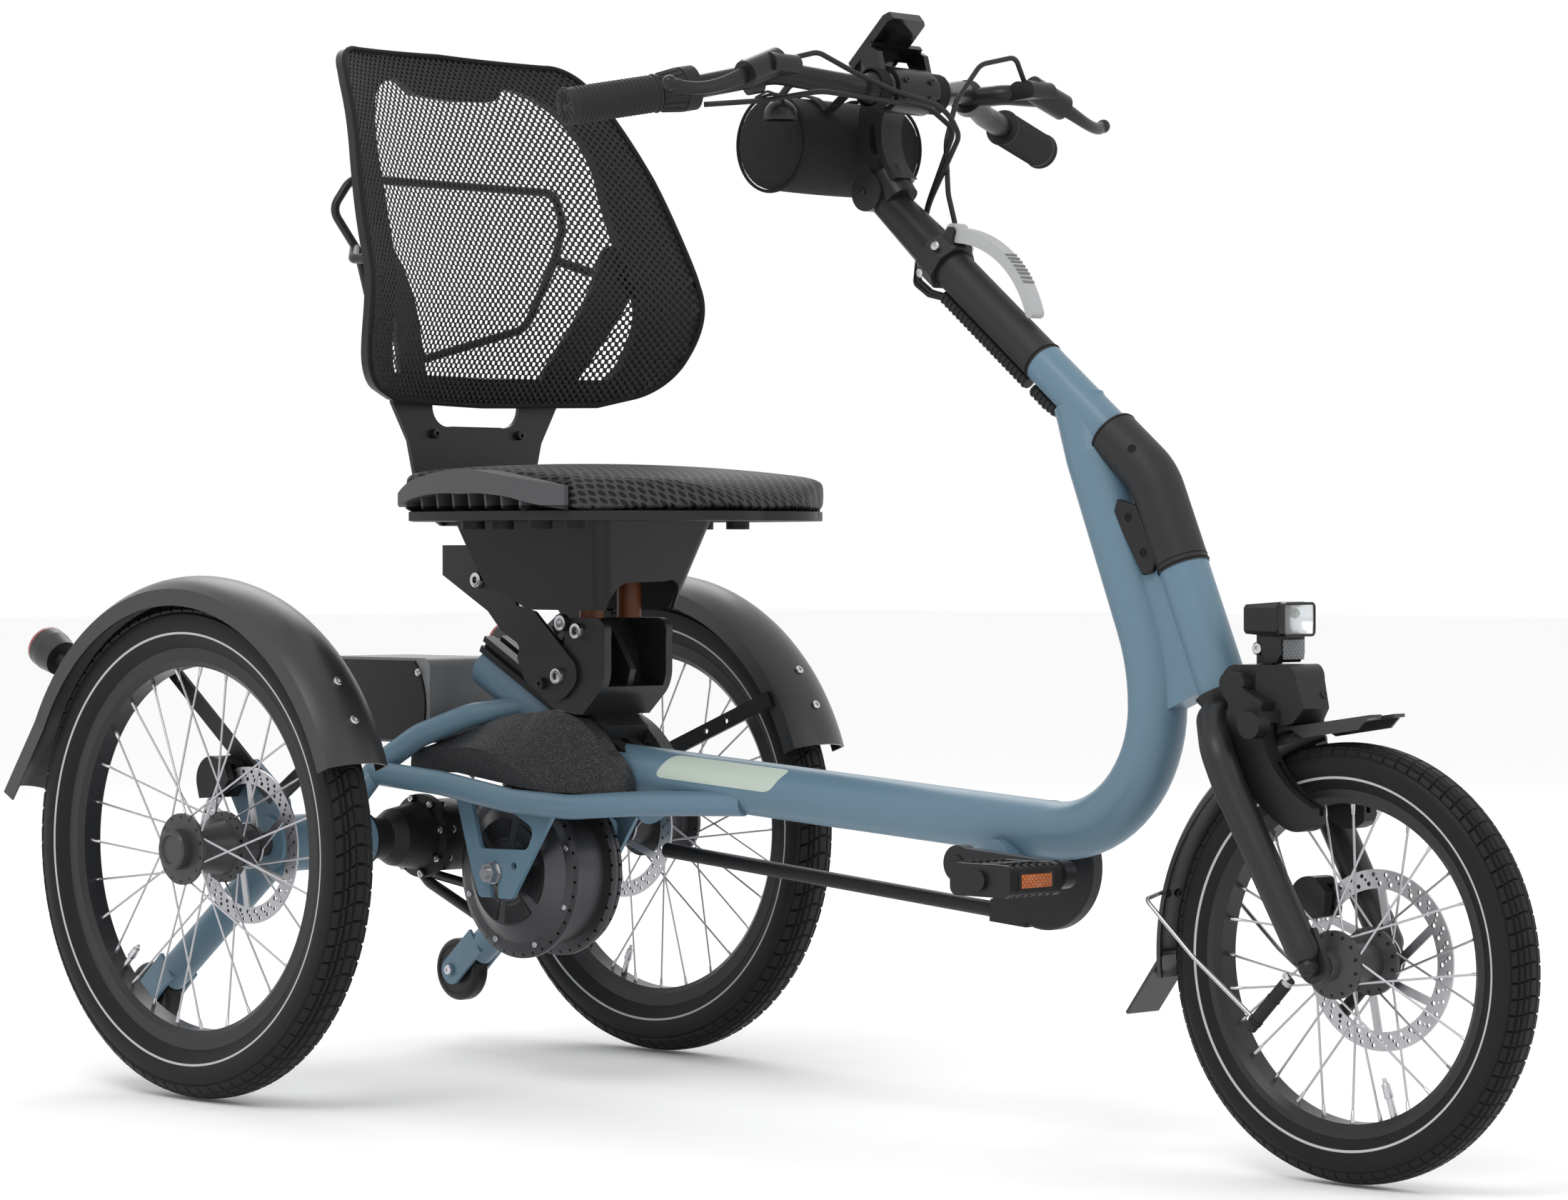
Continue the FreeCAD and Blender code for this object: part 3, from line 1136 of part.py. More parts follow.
def pedal(side):
    """A cage pedal: two toothed rails, two end plates, its barrel and its axle in the crank."""
    centre = pedal_centre(side)
    inner = CRANK_INNER + CRANK_THICKNESS + PEDAL_GAP
    outer = inner + PEDAL_LENGTH
    half_width = PEDAL_WIDTH / 2
    half_height = PEDAL_HEIGHT / 2
    low = FreeCAD.Vector(centre.x - half_width, inner, centre.z - half_height)
    body = box(low, low + FreeCAD.Vector(PEDAL_WIDTH, PEDAL_LENGTH, PEDAL_HEIGHT))
    body = body.makeFillet(8, [edge for edge in body.Edges if abs(edge.tangentAt(0).y) > 0.9])
    for x in (-half_width + 6, 10):
        window_low = FreeCAD.Vector(centre.x + x, inner + 8, low.z - 1)
        window_size = FreeCAD.Vector(half_width - 16, PEDAL_LENGTH - 16, PEDAL_HEIGHT + 2)
        body = body.cut(box(window_low, window_low + window_size))
    pitch = PEDAL_LENGTH / 7
    for number in range(6):
        place = inner + pitch * (number + 0.75)
        for top in (half_height, -half_height):
            notch_low = FreeCAD.Vector(centre.x - half_width - 1, place, centre.z + top - 2)
            body = body.cut(box(notch_low, notch_low + FreeCAD.Vector(PEDAL_WIDTH + 2, pitch / 2, 4)))
    cap = cross_rod(centre, outer, outer + 4, 9)
    axle = cross_rod(centre, CRANK_INNER + 2, inner + 10, PEDAL_AXLE_RADIUS)
    collar = cross_rod(centre, CRANK_INNER + CRANK_THICKNESS + 5, inner, 8)
    left = fuse([body, cap, axle, collar])
    if side > 0:
        return left
    return mirrored(left)


def caster():
    """The left anti-tip wheel."""
    half = CASTER_WIDTH / 2
    bore = CASTER_PIN_RADIUS + RUNNING_FIT
    radius = CASTER_RADIUS
    profile = [(-half, bore), (-half, 10), (-half + 2, 12), (-half + 2, radius - 9), (-half, radius - 7),
               (-half + 2, radius - 2, -half + 7, radius), (half - 7, radius),
               (half - 2, radius - 2, half, radius - 7), (half - 2, radius - 9), (half - 2, 12), (half, 10),
               (half, bore)]
    return turned(profile, CASTER_CENTRE)


def seat_plan(inset):
    """The seat's plan: a straight rear, slanted rear corners, winged sides and a rounded nose."""
    left = [(50 + inset, 0), (50 + inset, 90), (163 + inset * 0.7, 199 - inset),
            (230, 207 - inset, 300, 204 - inset), (345, 195 - inset, 386, 178 - inset),
            (430, 146 - inset, 462, 103 - inset * 0.7), (486, 54, 494 - inset, 0)]
    right = []
    for before, point in list(zip(left, left[1:]))[::-1]:
        if len(point) == 4:
            right.append((point[0], -point[1], before[-2], -before[-1]))
        else:
            right.append((before[-2], -before[-1]))
    return left + right


def bolster(side_inset):
    """The raised grey wing along the seat's left side, as an upright block through its side profile."""
    profile = [(148, 14), (165, 29, 211, 44), (255, 50, 295, 48), (340, 41, WING_END, 33), (WING_END, 10),
               (355, 16, 331, 22), (297, 26, 264, 26), (210, 25, 170, 17)]
    return side_plate(seat_at, profile, WING_INNER - side_inset, WING_WIDTH + side_inset)


def seat_cushion():
    """The crowned honeycomb top of the seat between its wings."""
    stations = ((50, 16, 25), (72, 33, 42), (120, 42, 53), (220, 47, 57), (320, 45, 55), (410, 36, 48),
                (465, 26, 38), (496, 12, 18))
    wires = []
    for x, edge, crown in stations:
        points = [(-215, SEAT_SHELL_HEIGHT + SEAT_GAP), (-215, edge), (0, crown, 215, edge),
                  (215, SEAT_SHELL_HEIGHT + SEAT_GAP)]
        wires.append(outline(points, lambda y, up, x=x: seat_at(x, y, up)))
    body = Part.makeLoft(wires, True, False)
    body = body.common(plan_prism(seat_at, seat_plan(2), 0, 80))
    for wing in both(bolster(SEAT_GAP)):
        body = body.cut(wing)
    wing_end = WING_END + SEAT_GAP
    wing_side = WING_INNER - SEAT_GAP
    keep = plan_prism(seat_at, [(56, -wing_side), (56, wing_side), (wing_end, wing_side), (wing_end, 230),
                                (520, 230), (520, -230), (wing_end, -230), (wing_end, -wing_side)], 0, 80)
    return main_piece(body.common(keep))


def seat_shell():
    """The moulded shell: its tray, the two grey wings, the ribs under them and the screw bosses."""
    tray = plan_prism(seat_at, seat_plan(9), 0, SEAT_SHELL_HEIGHT)
    wing = bolster(0).common(plan_prism(seat_at, seat_plan(0), 0, 80))
    ribs = []
    for number in range(SEAT_RIB_COUNT):
        x = 172 + number * 24
        ribs.append(rear_plate(seat_at, [(172, 2), (172, 27), (198, 27), (196, 12)], x, SEAT_RIB_THICKNESS))
    bosses = [rod(seat_at(x, 112, 1), seat_at(x, 112, -8), 12) for x in (178, 222, 280, 333)]
    pieces = [tray] + both(wing)
    for rib in ribs:
        pieces += both(rib.common(plan_prism(seat_at, seat_plan(2), 0, 80)))
    for boss in bosses:
        pieces += both(boss)
    return main_piece(fuse(pieces))


def housing_ring(inset, x0, x1, half, up):
    """A rounded level outline of the tapering housing."""
    corner = 14 - inset
    low = -half + inset
    high = half - inset
    rear = x0 + inset
    front = x1 - inset
    bite = corner * 0.3
    points = [(rear, low), (front - corner, low), (front - bite, low + bite, front, low + corner),
              (front, high - corner), (front - bite, high - bite, front - corner, high), (rear, high)]
    return outline(points, lambda x, y: seat_at(x, y, up))


def seat_housing():
    """The tapering housing under the shell, open behind and below, with its arched front."""
    outer = lofted([housing_ring(0, 112, 334, 80, 0), housing_ring(0, 148, 307, 53, -90)])
    wall = HOUSING_WALL
    inner = lofted([housing_ring(wall, 90, 334 - 1, 80, -wall), housing_ring(wall, 90, 306, 53, -92)])
    profile = [(114, 0), (128, -43), (138, -63), (181, -83), (195, -90), (310, -90), (338, 0)]
    outer = outer.common(side_plate(seat_at, profile, -90, 180))
    arch = [(-46, -95), (-46, -84), (-38, -68, -20, -62), (28, -61), (44, -64, 47, -78), (47, -95)]
    front = rear_plate(seat_at, arch, 280, 80)
    return outer.cut(inner).cut(front)


def link_plate(points, inner, thickness):
    """A link plate on the left, with its outline measured from the seat's shell."""
    return side_plate(seat_at, points, inner, thickness)


def seat_mechanism():
    """The link plates, the cast bracket with its rib and the clamp that rides on the rail."""
    inner = PLATE_INNER
    upper = link_plate([(60, -24), (60, -55), (131, -92), (152, -112), (176, -124), (214, -172),
                        (236, -182, 256, -172), (266, -158, 257, -138), (203, -92), (176, -86), (160, -62),
                        (150, -HOUSING_WALL), (128, -HOUSING_WALL), (112, -24)], inner, PLATE_THICKNESS)
    lower = link_plate([(176, -126), (172, -140), (183, -162), (228, -190), (262, -196), (274, -150),
                        (230, -118)], inner - 5, 5)
    cast = link_plate([(244, -118), (240, -104), (246, -98), (292, -98), (302, -104, 304, -116), (304, -150),
                       (300, -166, 290, -178), (270, -196), (240, -190), (236, -150)], -inner, 2 * inner)
    hollow = link_plate([(230, -60), (330, -60), (330, -170), (268, -164), (262, -130)],
                        -inner + 9, 2 * inner - 18)
    rib = link_plate([(252, -100), (262, -100), (296, -150), (290, -168), (262, -160)], -4, 8)
    pins = [cross_rod(seat_at(x, 0, up), -inner - PLATE_THICKNESS, inner + PLATE_THICKNESS, radius)
            for x, up, radius in ((118, -60, 6), (241, -157, 6), (216, -165, 4.5))]
    bolts = []
    for x, up, radius in ((118, -60, 8), (241, -157, 8), (216, -165, 6), (243, -103, 9), (266, -111, 8)):
        centre = seat_at(x, 0, up)
        start = inner + (PLATE_THICKNESS if x < 242 else 0)
        head = cross_rod(centre, start, start + 6, radius)
        bolts.append(head.cut(cross_rod(centre, start + 3, start + 7, radius * 0.45)))
    start = 152.0
    groove = RAIL_HALF + SEAT_GAP
    section = [(-30, -14), (-30, 12), (-26, 16), (26, 16), (30, 12), (30, -14), (groove, -14),
               (groove, SEAT_GAP), (-groove, SEAT_GAP), (-groove, -14)]
    clamp = Part.Face(outline(section, lambda y, h: rail_point(start, h, y)))
    clamp = clamp.extrude(rail_way() * CLAMP_LENGTH)
    saddle = Part.Face(outline([(-30, 15), (-30, 40), (30, 40), (30, 15)],
                               lambda y, h: rail_point(start + 4, h, y)))
    saddle = saddle.extrude(rail_way() * (CLAMP_LENGTH - 26))
    side = both(upper) + both(lower) + bolts + [mirrored(bolt) for bolt in bolts]
    body = fuse([cast.cut(hollow), rib, clamp, saddle] + pins + side)
    return main_piece(body)


def seat_dampers():
    """The two elastomer pucks between the cast bracket and the housing's roof."""
    return pair(rod(seat_at(262, 26, -98), seat_at(262, 26, -HOUSING_WALL), 12.5))


def back_reach(side):
    """How far forward the curved backrest comes at a place beside its middle."""
    return BACK_RADIUS - math.sqrt(BACK_RADIUS ** 2 - side ** 2)


def back_panel(front_offset, thickness):
    """A curved upright panel whose ends come forward, behind the backrest's front face."""
    half = 250.0
    reach = back_reach(half)
    wires = []
    for up, middle in BACK_STATIONS:
        front = middle - front_offset
        rear = front - thickness
        points = [(front + reach, -half), (front, 0, front + reach, half), (rear + reach, half),
                  (rear, 0, rear + reach, -half)]
        wires.append(outline(points, lambda x, y, up=up: seat_at(x, y, up)))
    return Part.makeLoft(wires, True, False)


def symmetric(left):
    """A closed outline in Y and Z from its left half, which runs from the middle to the middle."""
    right = []
    for before, point in list(zip(left, left[1:]))[::-1]:
        if len(point) == 4:
            right.append((-point[0], point[1], -before[-2], before[-1]))
        else:
            right.append((-before[-2], before[-1]))
    return left + right


def back_outline():
    """The backrest's outline seen from the front."""
    return symmetric([(0, 493), (130, 489), (160, 479, 171, 462), (178, 447), (191, 407), (204, 367),
                      (218, 307, 226, 252), (228, 212, 220, 177), (205, 152, 178, 135), (140, 125), (0, 122)])


def back_window():
    """The opening in the backrest's border, with the tab at its top."""
    return symmetric([(0, 444), (52, 447), (60, 451, 67, 458), (74, 462), (104, 455, 126, 439),
                      (146, 403, 154, 347), (163, 255), (170, 222, 166, 190), (160, 169, 150, 152), (0, 150)])


def back_frame():
    """The backrest's stiff border."""
    border = rear_plate(seat_at, back_outline(), -150, 500).cut(rear_plate(seat_at, back_window(), -151, 502))
    return back_panel(0, BACK_THICKNESS).common(border)


def back_mesh():
    """The mesh stretched over the whole front of the border."""
    cloth = back_panel(-MESH_THICKNESS - SEAT_GAP, MESH_THICKNESS)
    return cloth.common(rear_plate(seat_at, back_outline(), -150, 500))


def back_bar():
    """The left flat bar behind the border, from the bracket's spacer up to the loop's stub."""
    root = (102.0, 154.0)
    head = (165.0, 277.0)
    run = math.hypot(head[0] - root[0], head[1] - root[1])
    along = ((head[0] - root[0]) / run, (head[1] - root[1]) / run)
    half = BACK_BAR_WIDTH / 2

    def corner(end, side, out):
        return (end[0] + side * half * along[1] + out * half * along[0],
                end[1] - side * half * along[0] + out * half * along[1])

    points = [corner(root, -1, 0), corner(root, 0, -1) + corner(root, 1, 0), corner(head, 1, 0),
              corner(head, 0, 1) + corner(head, -1, 0)]
    return back_panel(BACK_THICKNESS + SEAT_GAP, BACK_BAR_THICKNESS).common(
        rear_plate(seat_at, points, -150, 500))


def back_support(border):
    """The flat bars behind the border and the bent wire loop that is the push handle."""
    wire = tube([seat_at(21, 0, 355), seat_at(21, 141, 355), seat_at(14, 161, 322), seat_at(26, 136, 279),
                 seat_at(15, 105, 208), seat_at(-34, 0, 173)], LOOP_WIRE_RADIUS, [22, 18, 22, 26])
    stub_head = seat_at(BACK_STATIONS[3][1] + back_reach(166) - BACK_THICKNESS, 166, 267)
    stub = tube([seat_at(24, 139, 283), seat_at(54, 166, 269), stub_head], 5, 12)
    boss = rod(stub_head - AXIS_X * 14, stub_head, 9)
    loop = fuse(both(wire) + both(stub) + both(boss) + both(back_bar()))
    return main_piece(loop.cut(border))


def back_bracket(support):
    """The folded plate that joins the backrest's bars to the seat's tray."""
    left = [(0, -4), (46, -4), (76, 14), (84, 50), (92, 84), (114, 123), (117, 152), (88, 152), (76, 132),
            (60, 124), (52, 104, 34, 100), (0, 100)]
    plate = rear_plate(seat_at, symmetric(left), 50, 5)
    foot = box(seat_at(50, -44, -4), seat_at(111, 44, 0))
    spacer = rod(seat_at(52, 102, 143), seat_at(66, 102, 143), 9)
    return main_piece(fuse([plate, foot] + both(spacer)).cut(support))


def build():
    """Every node's shape by name."""
    frame = main_frame()
    rear = rear_frame(frame)
    left_wheel = rear_wheel()
    left_tyre = tyre(side_at(0, 0, 0), REAR_RADIUS, REAR_TYRE_WIDTH, REAR_TYRE_HEIGHT)
    left_caster = caster()
    case = differential()
    guards = rear_mudguards()
    stays = mudguard_stays(guards, rear)
    bar = handlebar()
    neck = stem()
    grip_pieces = grips(bar)
    levers = brake_levers(bar)
    screen = display()
    front_guard = front_mudguard()
    fork_shape = fork()
    border = back_frame()
    support = back_support(border)
    nodes = {
        "main_frame": frame,
        "rear_frame": rear,
        "motor_axle": motor_axle(),
        "hub_motor": hub_motor(),
        "differential": case,
        "drive_covers": drive_covers([frame, rear]),
        "battery": battery(),
        "guard_rods": main_piece(guard_rods().cut(case)),
        "rear_mudguards": guards,
        "mudguard_stays": stays,
        "rear_calipers": rear_calipers(stays),
        "tail_lamps": tail_lamps(guards),
        "chain_guard": chain_guard(),
        "seat_rail": seat_rail().cut(frame),
        "elbow_cover": main_piece(elbow_cover().cut(frame)),
        "frame_cable": frame_cable().cut(frame),
        "tyre_left": left_tyre,
        "tyre_right": mirrored(left_tyre),
        "wheel_left": left_wheel,
        "wheel_right": mirrored(left_wheel),
        "tyre_front": tyre(front_at(0, 0, 0), FRONT_RADIUS, FRONT_TYRE_WIDTH, FRONT_TYRE_HEIGHT),
        "wheel_front": front_wheel(),
        "column_sleeve": column_sleeve(),
        "stem": neck,
        "handlebar": bar,
        "grips": grip_pieces,
        "brake_levers": levers,
        "display": screen,
        "bell": bell(bar),
        "handlebar_bag": handlebar_bag(),
        "qr_lever": qr_lever(),
        "brake_cables": brake_cables([neck, bar, grip_pieces, levers, screen]),
        "fork": fork_shape,
        "front_axle": front_axle(),
        "ring_lock": main_piece(ring_lock().cut(fork_shape)),
        "front_mudguard": front_guard,
        "front_stay": front_stay(front_guard),
        "headlight": headlight(),
        "front_caliper": front_caliper(fork_shape),
        "crankset": crankset(),
        "pedal_left": pedal(1),
        "pedal_right": pedal(-1),
        "caster_left": left_caster,
        "caster_right": mirrored(left_caster),
        "seat_cushion": seat_cushion(),
        "seat_shell": seat_shell(),
        "seat_housing": seat_housing(),
        "seat_mechanism": seat_mechanism(),
        "seat_dampers": seat_dampers(),
        "back_frame": border,
        "back_mesh": back_mesh(),
        "back_support": support,
        "back_bracket": back_bracket(support),
    }
    return nodes


def main():
    os.makedirs("parts", exist_ok=True)
    nodes = build()
    tail = nodes["rear_mudguards"].optimalBoundingBox().XMin
    nose = WHEELBASE + FRONT_RADIUS
    shift = FreeCAD.Vector(-(tail + nose) / 2, 0, 0)
    print("rear axle at x = %.2f" % shift.x)
    for name, shape in nodes.items():
        shape = shape.copy()
        shape.translate(shift)
        bounds = shape.BoundBox
        print("%-16s %2d solids  valid %s  volume %.1f cm3  x %.0f..%.0f y %.0f..%.0f z %.0f..%.0f" % (
            name, len(shape.Solids), shape.isValid(), shape.Volume / 1000, bounds.XMin, bounds.XMax,
            bounds.YMin, bounds.YMax, bounds.ZMin, bounds.ZMax))
        shape.exportStep("parts/%s.step" % name)


main()
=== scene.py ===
# %% [markdown]
# # An electric recumbent trike
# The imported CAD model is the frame: tubes, wheels, seat, handlebar and drive are already there as solids.
# They could all be modelled again in Blender, but then they would no longer fit the CAD. So this lesson
# gives each of them its finish, puts tread on the tyres, sews the soft goods, and adds the small forms
# that the CAD leaves out, such as bolt heads, nipples, lamps and ribs.

import json
import math

import bmesh
import bpy
from mathutils import Matrix, Vector


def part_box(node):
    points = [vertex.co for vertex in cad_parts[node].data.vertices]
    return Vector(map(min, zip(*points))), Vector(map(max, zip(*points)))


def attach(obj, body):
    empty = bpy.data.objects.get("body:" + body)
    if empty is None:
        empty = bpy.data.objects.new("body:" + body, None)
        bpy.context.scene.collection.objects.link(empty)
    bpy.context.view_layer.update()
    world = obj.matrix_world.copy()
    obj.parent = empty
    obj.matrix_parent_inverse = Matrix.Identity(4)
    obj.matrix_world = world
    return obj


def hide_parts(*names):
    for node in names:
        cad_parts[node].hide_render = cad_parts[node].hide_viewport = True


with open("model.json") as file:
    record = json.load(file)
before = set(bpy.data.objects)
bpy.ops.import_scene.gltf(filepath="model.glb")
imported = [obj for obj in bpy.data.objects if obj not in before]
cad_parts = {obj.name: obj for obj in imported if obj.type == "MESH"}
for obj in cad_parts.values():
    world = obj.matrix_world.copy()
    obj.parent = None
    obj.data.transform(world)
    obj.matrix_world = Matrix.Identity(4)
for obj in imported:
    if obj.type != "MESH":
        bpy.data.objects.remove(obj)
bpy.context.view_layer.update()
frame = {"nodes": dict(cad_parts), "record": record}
nodes = frame["nodes"]

# %% [markdown]
# ## Camera
# The camera stands in front of the trike's right side, low and with a long lens, so the three wheels
# overlap little and the main tube runs across the picture. A short lens would make the front wheel look
# too large. All distances are measured from the floor under the rear axle.

# %% Camera
AXLE_X = sum(corner[0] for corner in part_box("tyre_left")) / 2
CAMERA_AHEAD = 3.6742
CAMERA_SIDE = -3.1688
CAMERA_HEIGHT = 0.5485
CAMERA_TILT = 89.439
CAMERA_TURN = 44.943
LENS_LENGTH = 104.9
SENSOR_WIDTH = 36

camera_data = bpy.data.cameras.new("camera")
camera = bpy.data.objects.new("camera", camera_data)
bpy.context.scene.collection.objects.link(camera)
camera.location = (AXLE_X + CAMERA_AHEAD, CAMERA_SIDE, CAMERA_HEIGHT)
camera.rotation_euler = (math.radians(CAMERA_TILT), 0, math.radians(CAMERA_TURN))
camera_data.lens = LENS_LENGTH
camera_data.sensor_width = SENSOR_WIDTH
bpy.context.scene.camera = camera
print("camera at", tuple(round(part, 3) for part in camera.location))

# %% [markdown]
# ## Floor and light
# A pale floor, a white surround and three large soft lights, as in a product studio. Small lights would
# draw hard shadows of every spoke. These are large and high, so that round tubes get one broad highlight
# along their tops.

# %% Floor and light
def deselect_all():
    """Leaves edit mode and selects nothing."""
    if bpy.context.object and bpy.context.object.mode != "OBJECT":
        bpy.ops.object.mode_set(mode="OBJECT")
    bpy.ops.object.select_all(action="DESELECT")


def add_area_light(name, location, target, size, power):
    """A square soft light that looks at a point."""
    light_data = bpy.data.lights.new(name, "AREA")
    light_data.size = size
    light_data.energy = power
    light = bpy.data.objects.new(name, light_data)
    bpy.context.scene.collection.objects.link(light)
    light.location = location
    way = Vector(target) - Vector(location)
    light.rotation_euler = way.to_track_quat("-Z", "Y").to_euler()


FLOOR_SIZE = 60
FLOOR_LEVEL = -0.0012
deselect_all()
bpy.ops.mesh.primitive_plane_add(size=FLOOR_SIZE, location=(0, 0, FLOOR_LEVEL))
floor = bpy.context.object
floor.name = "floor"

add_area_light("key", (1.0, -2.8, 3.9), target=(0, 0, 0.4), size=2.0, power=62)
add_area_light("fill", (4.6, 1.2, 2.2), target=(0, 0, 0.5), size=2.6, power=18)
add_area_light("back", (-3.2, 2.4, 3.6), target=(0, 0, 0.5), size=2.6, power=48)

world = bpy.data.worlds.new("studio")
bpy.context.scene.world = world
world.use_nodes = True
world.node_tree.nodes["Background"].inputs["Color"].default_value = (1, 1, 1, 1)
world.node_tree.nodes["Background"].inputs["Strength"].default_value = 1.0
bpy.context.scene.view_settings.view_transform = "Standard"
print("lights:", [light.name for light in bpy.data.lights])

# %% [markdown]
# ## Places
# Every size below is in millimetres, measured ahead of the rear axle, to the rider's left and up from the
# floor, as on a drawing. Blender works in metres, and one helper turns such a place into them, which
# keeps long rows of zeros out of the script.

# %% Places
MM = 0.001


def at(x, y, z):
    """A place in millimetres from the floor under the rear axle, as a point in metres."""
    return Vector((AXLE_X + x * MM, y * MM, z * MM))


REAR_WHEEL_SIDE = 320.0
REAR_WHEEL_RADIUS = 253.0
FRONT_AXLE_AHEAD = 1212.5
FRONT_WHEEL_RADIUS = 193.0
MOTOR_HUB = at(154, 0, 223)
BAR_MIDDLE = (672.0, 0.0, 991.0)
tyre_low, tyre_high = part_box("tyre_left")
print("rear wheel's radius in the frame, mm:", round((tyre_high[2] - tyre_low[2]) / 2 / MM, 1))

# %% [markdown]
# ## Shared effects
# Moulded plastic, paint and rubber all have a fine grain and a slow cloudiness of tone. Each material
# could hold its own noise nodes. One group of two noise textures does it for all of them, and each finish
# sets its own scales.

# %% Grain group
def new_group(name, inputs, outputs):
    """An empty node group with those sockets, and its input and output nodes."""
    group = bpy.data.node_groups.new(name, "ShaderNodeTree")
    for socket_name, kind, value in inputs:
        socket = group.interface.new_socket(socket_name, in_out="INPUT", socket_type=kind)
        if value is not None:
            socket.default_value = value
    for socket_name, kind in outputs:
        group.interface.new_socket(socket_name, in_out="OUTPUT", socket_type=kind)
    return group, group.nodes.new("NodeGroupInput"), group.nodes.new("NodeGroupOutput")


def add_math(tree, operation, first, second=None):
    """A Math node fed by links or numbers. Returns its output."""
    node = tree.nodes.new("ShaderNodeMath")
    node.operation = operation
    for number, value in enumerate((first, second)):
        if isinstance(value, (int, float)):
            node.inputs[number].default_value = value
        elif value is not None:
            tree.links.new(value, node.inputs[number])
    return node.outputs[0]


def add_noise(tree, vector, scale, detail):
    """A noise texture over a vector. The scale is a number or a link."""
    noise = tree.nodes.new("ShaderNodeTexNoise")
    noise.inputs["Detail"].default_value = detail
    tree.links.new(vector, noise.inputs["Vector"])
    if isinstance(scale, (int, float)):
        noise.inputs["Scale"].default_value = scale
    else:
        tree.links.new(scale, noise.inputs["Scale"])
    return noise.outputs[0]


grain_group, grain_in, grain_out = new_group(
    "moulded_grain",
    [("Vector", "NodeSocketVector", None), ("Grain Scale", "NodeSocketFloat", 900.0),
     ("Cloud Scale", "NodeSocketFloat", 9.0)],
    [("Grain", "NodeSocketFloat"), ("Cloud", "NodeSocketFloat")])
fine_noise = add_noise(grain_group, grain_in.outputs["Vector"], grain_in.outputs["Grain Scale"], 3.0)
slow_noise = add_noise(grain_group, grain_in.outputs["Vector"], grain_in.outputs["Cloud Scale"], 2.0)
grain_group.links.new(fine_noise, grain_out.inputs["Grain"])
grain_group.links.new(slow_noise, grain_out.inputs["Cloud"])
print("group", grain_group.name)

# %% [markdown]
# Brake discs, hubs and the motor's flanges carry rings of holes. Cutting them would add many faces to the
# CAD meshes. This group measures a point's angle round the axle instead, and gives a mask that is one
# inside each hole. Its vector is centred on the axle first.

# %% Ring of holes group
# Whole pitches are added, so that the fraction is always taken from a positive number.
WHOLE_PITCHES = 1000.0

ring_group, ring_in, ring_out = new_group(
    "ring_of_holes",
    [("Vector", "NodeSocketVector", None), ("Count", "NodeSocketFloat", 12.0),
     ("Radius", "NodeSocketFloat", 0.07), ("Size", "NodeSocketFloat", 0.002),
     ("Turn", "NodeSocketFloat", 0.0)],
    [("Mask", "NodeSocketFloat")])
axes = ring_group.nodes.new("ShaderNodeSeparateXYZ")
ring_group.links.new(ring_in.outputs["Vector"], axes.inputs[0])
angle = add_math(ring_group, "ARCTAN2", axes.outputs["Z"], axes.outputs["X"])
turns = add_math(ring_group, "MULTIPLY", angle, 0.5 / math.pi)
pitches = add_math(ring_group, "MULTIPLY", turns, ring_in.outputs["Count"])
pitches = add_math(ring_group, "ADD", pitches, ring_in.outputs["Turn"])
pitches = add_math(ring_group, "ADD", pitches, WHOLE_PITCHES)
offset = add_math(ring_group, "SUBTRACT", add_math(ring_group, "FRACT", pitches), 0.5)
arc = add_math(ring_group, "MULTIPLY", offset, ring_in.outputs["Radius"])
arc = add_math(ring_group, "MULTIPLY", arc, 2 * math.pi)
arc = add_math(ring_group, "DIVIDE", arc, ring_in.outputs["Count"])
squares = add_math(ring_group, "ADD", add_math(ring_group, "MULTIPLY", axes.outputs["X"], axes.outputs["X"]),
                   add_math(ring_group, "MULTIPLY", axes.outputs["Z"], axes.outputs["Z"]))
reach = add_math(ring_group, "SUBTRACT", add_math(ring_group, "SQRT", squares), ring_in.outputs["Radius"])
distance = add_math(ring_group, "ADD", add_math(ring_group, "MULTIPLY", arc, arc),
                    add_math(ring_group, "MULTIPLY", reach, reach))
inside = add_math(ring_group, "LESS_THAN", add_math(ring_group, "SQRT", distance), ring_in.outputs["Size"])
ring_group.links.new(inside, ring_out.inputs["Mask"])
print("group", ring_group.name)

# %% [markdown]
# The seat's top is a knitted spacer cloth with honeycomb cells. A Voronoi texture gives uneven cells, and
# knitting is even. Three waves that cross one another add up to a regular lattice, and a smooth step cuts
# the cells out of it.

# %% Honeycomb group
CELL_WALL = -0.5
CELL_MIDDLE = 1.6

comb_group, comb_in, comb_out = new_group(
    "honeycomb_cells",
    [("Vector", "NodeSocketVector", None), ("Pitch X", "NodeSocketFloat", 0.011),
     ("Pitch Y", "NodeSocketFloat", 0.008)],
    [("Cell", "NodeSocketFloat")])
axes = comb_group.nodes.new("ShaderNodeSeparateXYZ")
comb_group.links.new(comb_in.outputs["Vector"], axes.inputs[0])
along = add_math(comb_group, "MULTIPLY",
                 add_math(comb_group, "DIVIDE", axes.outputs["X"], comb_in.outputs["Pitch X"]), 2 * math.pi)
across = add_math(comb_group, "MULTIPLY",
                  add_math(comb_group, "DIVIDE", axes.outputs["Y"], comb_in.outputs["Pitch Y"]), 2 * math.pi)
waves = add_math(comb_group, "COSINE", add_math(comb_group, "ADD", along, across))
waves = add_math(comb_group, "ADD", waves,
                 add_math(comb_group, "COSINE", add_math(comb_group, "SUBTRACT", along, across)))
waves = add_math(comb_group, "ADD", waves,
                 add_math(comb_group, "COSINE", add_math(comb_group, "MULTIPLY", across, 2.0)))
cell = comb_group.nodes.new("ShaderNodeMapRange")
cell.interpolation_type = "SMOOTHSTEP"
cell.inputs["From Min"].default_value = CELL_WALL
cell.inputs["From Max"].default_value = CELL_MIDDLE
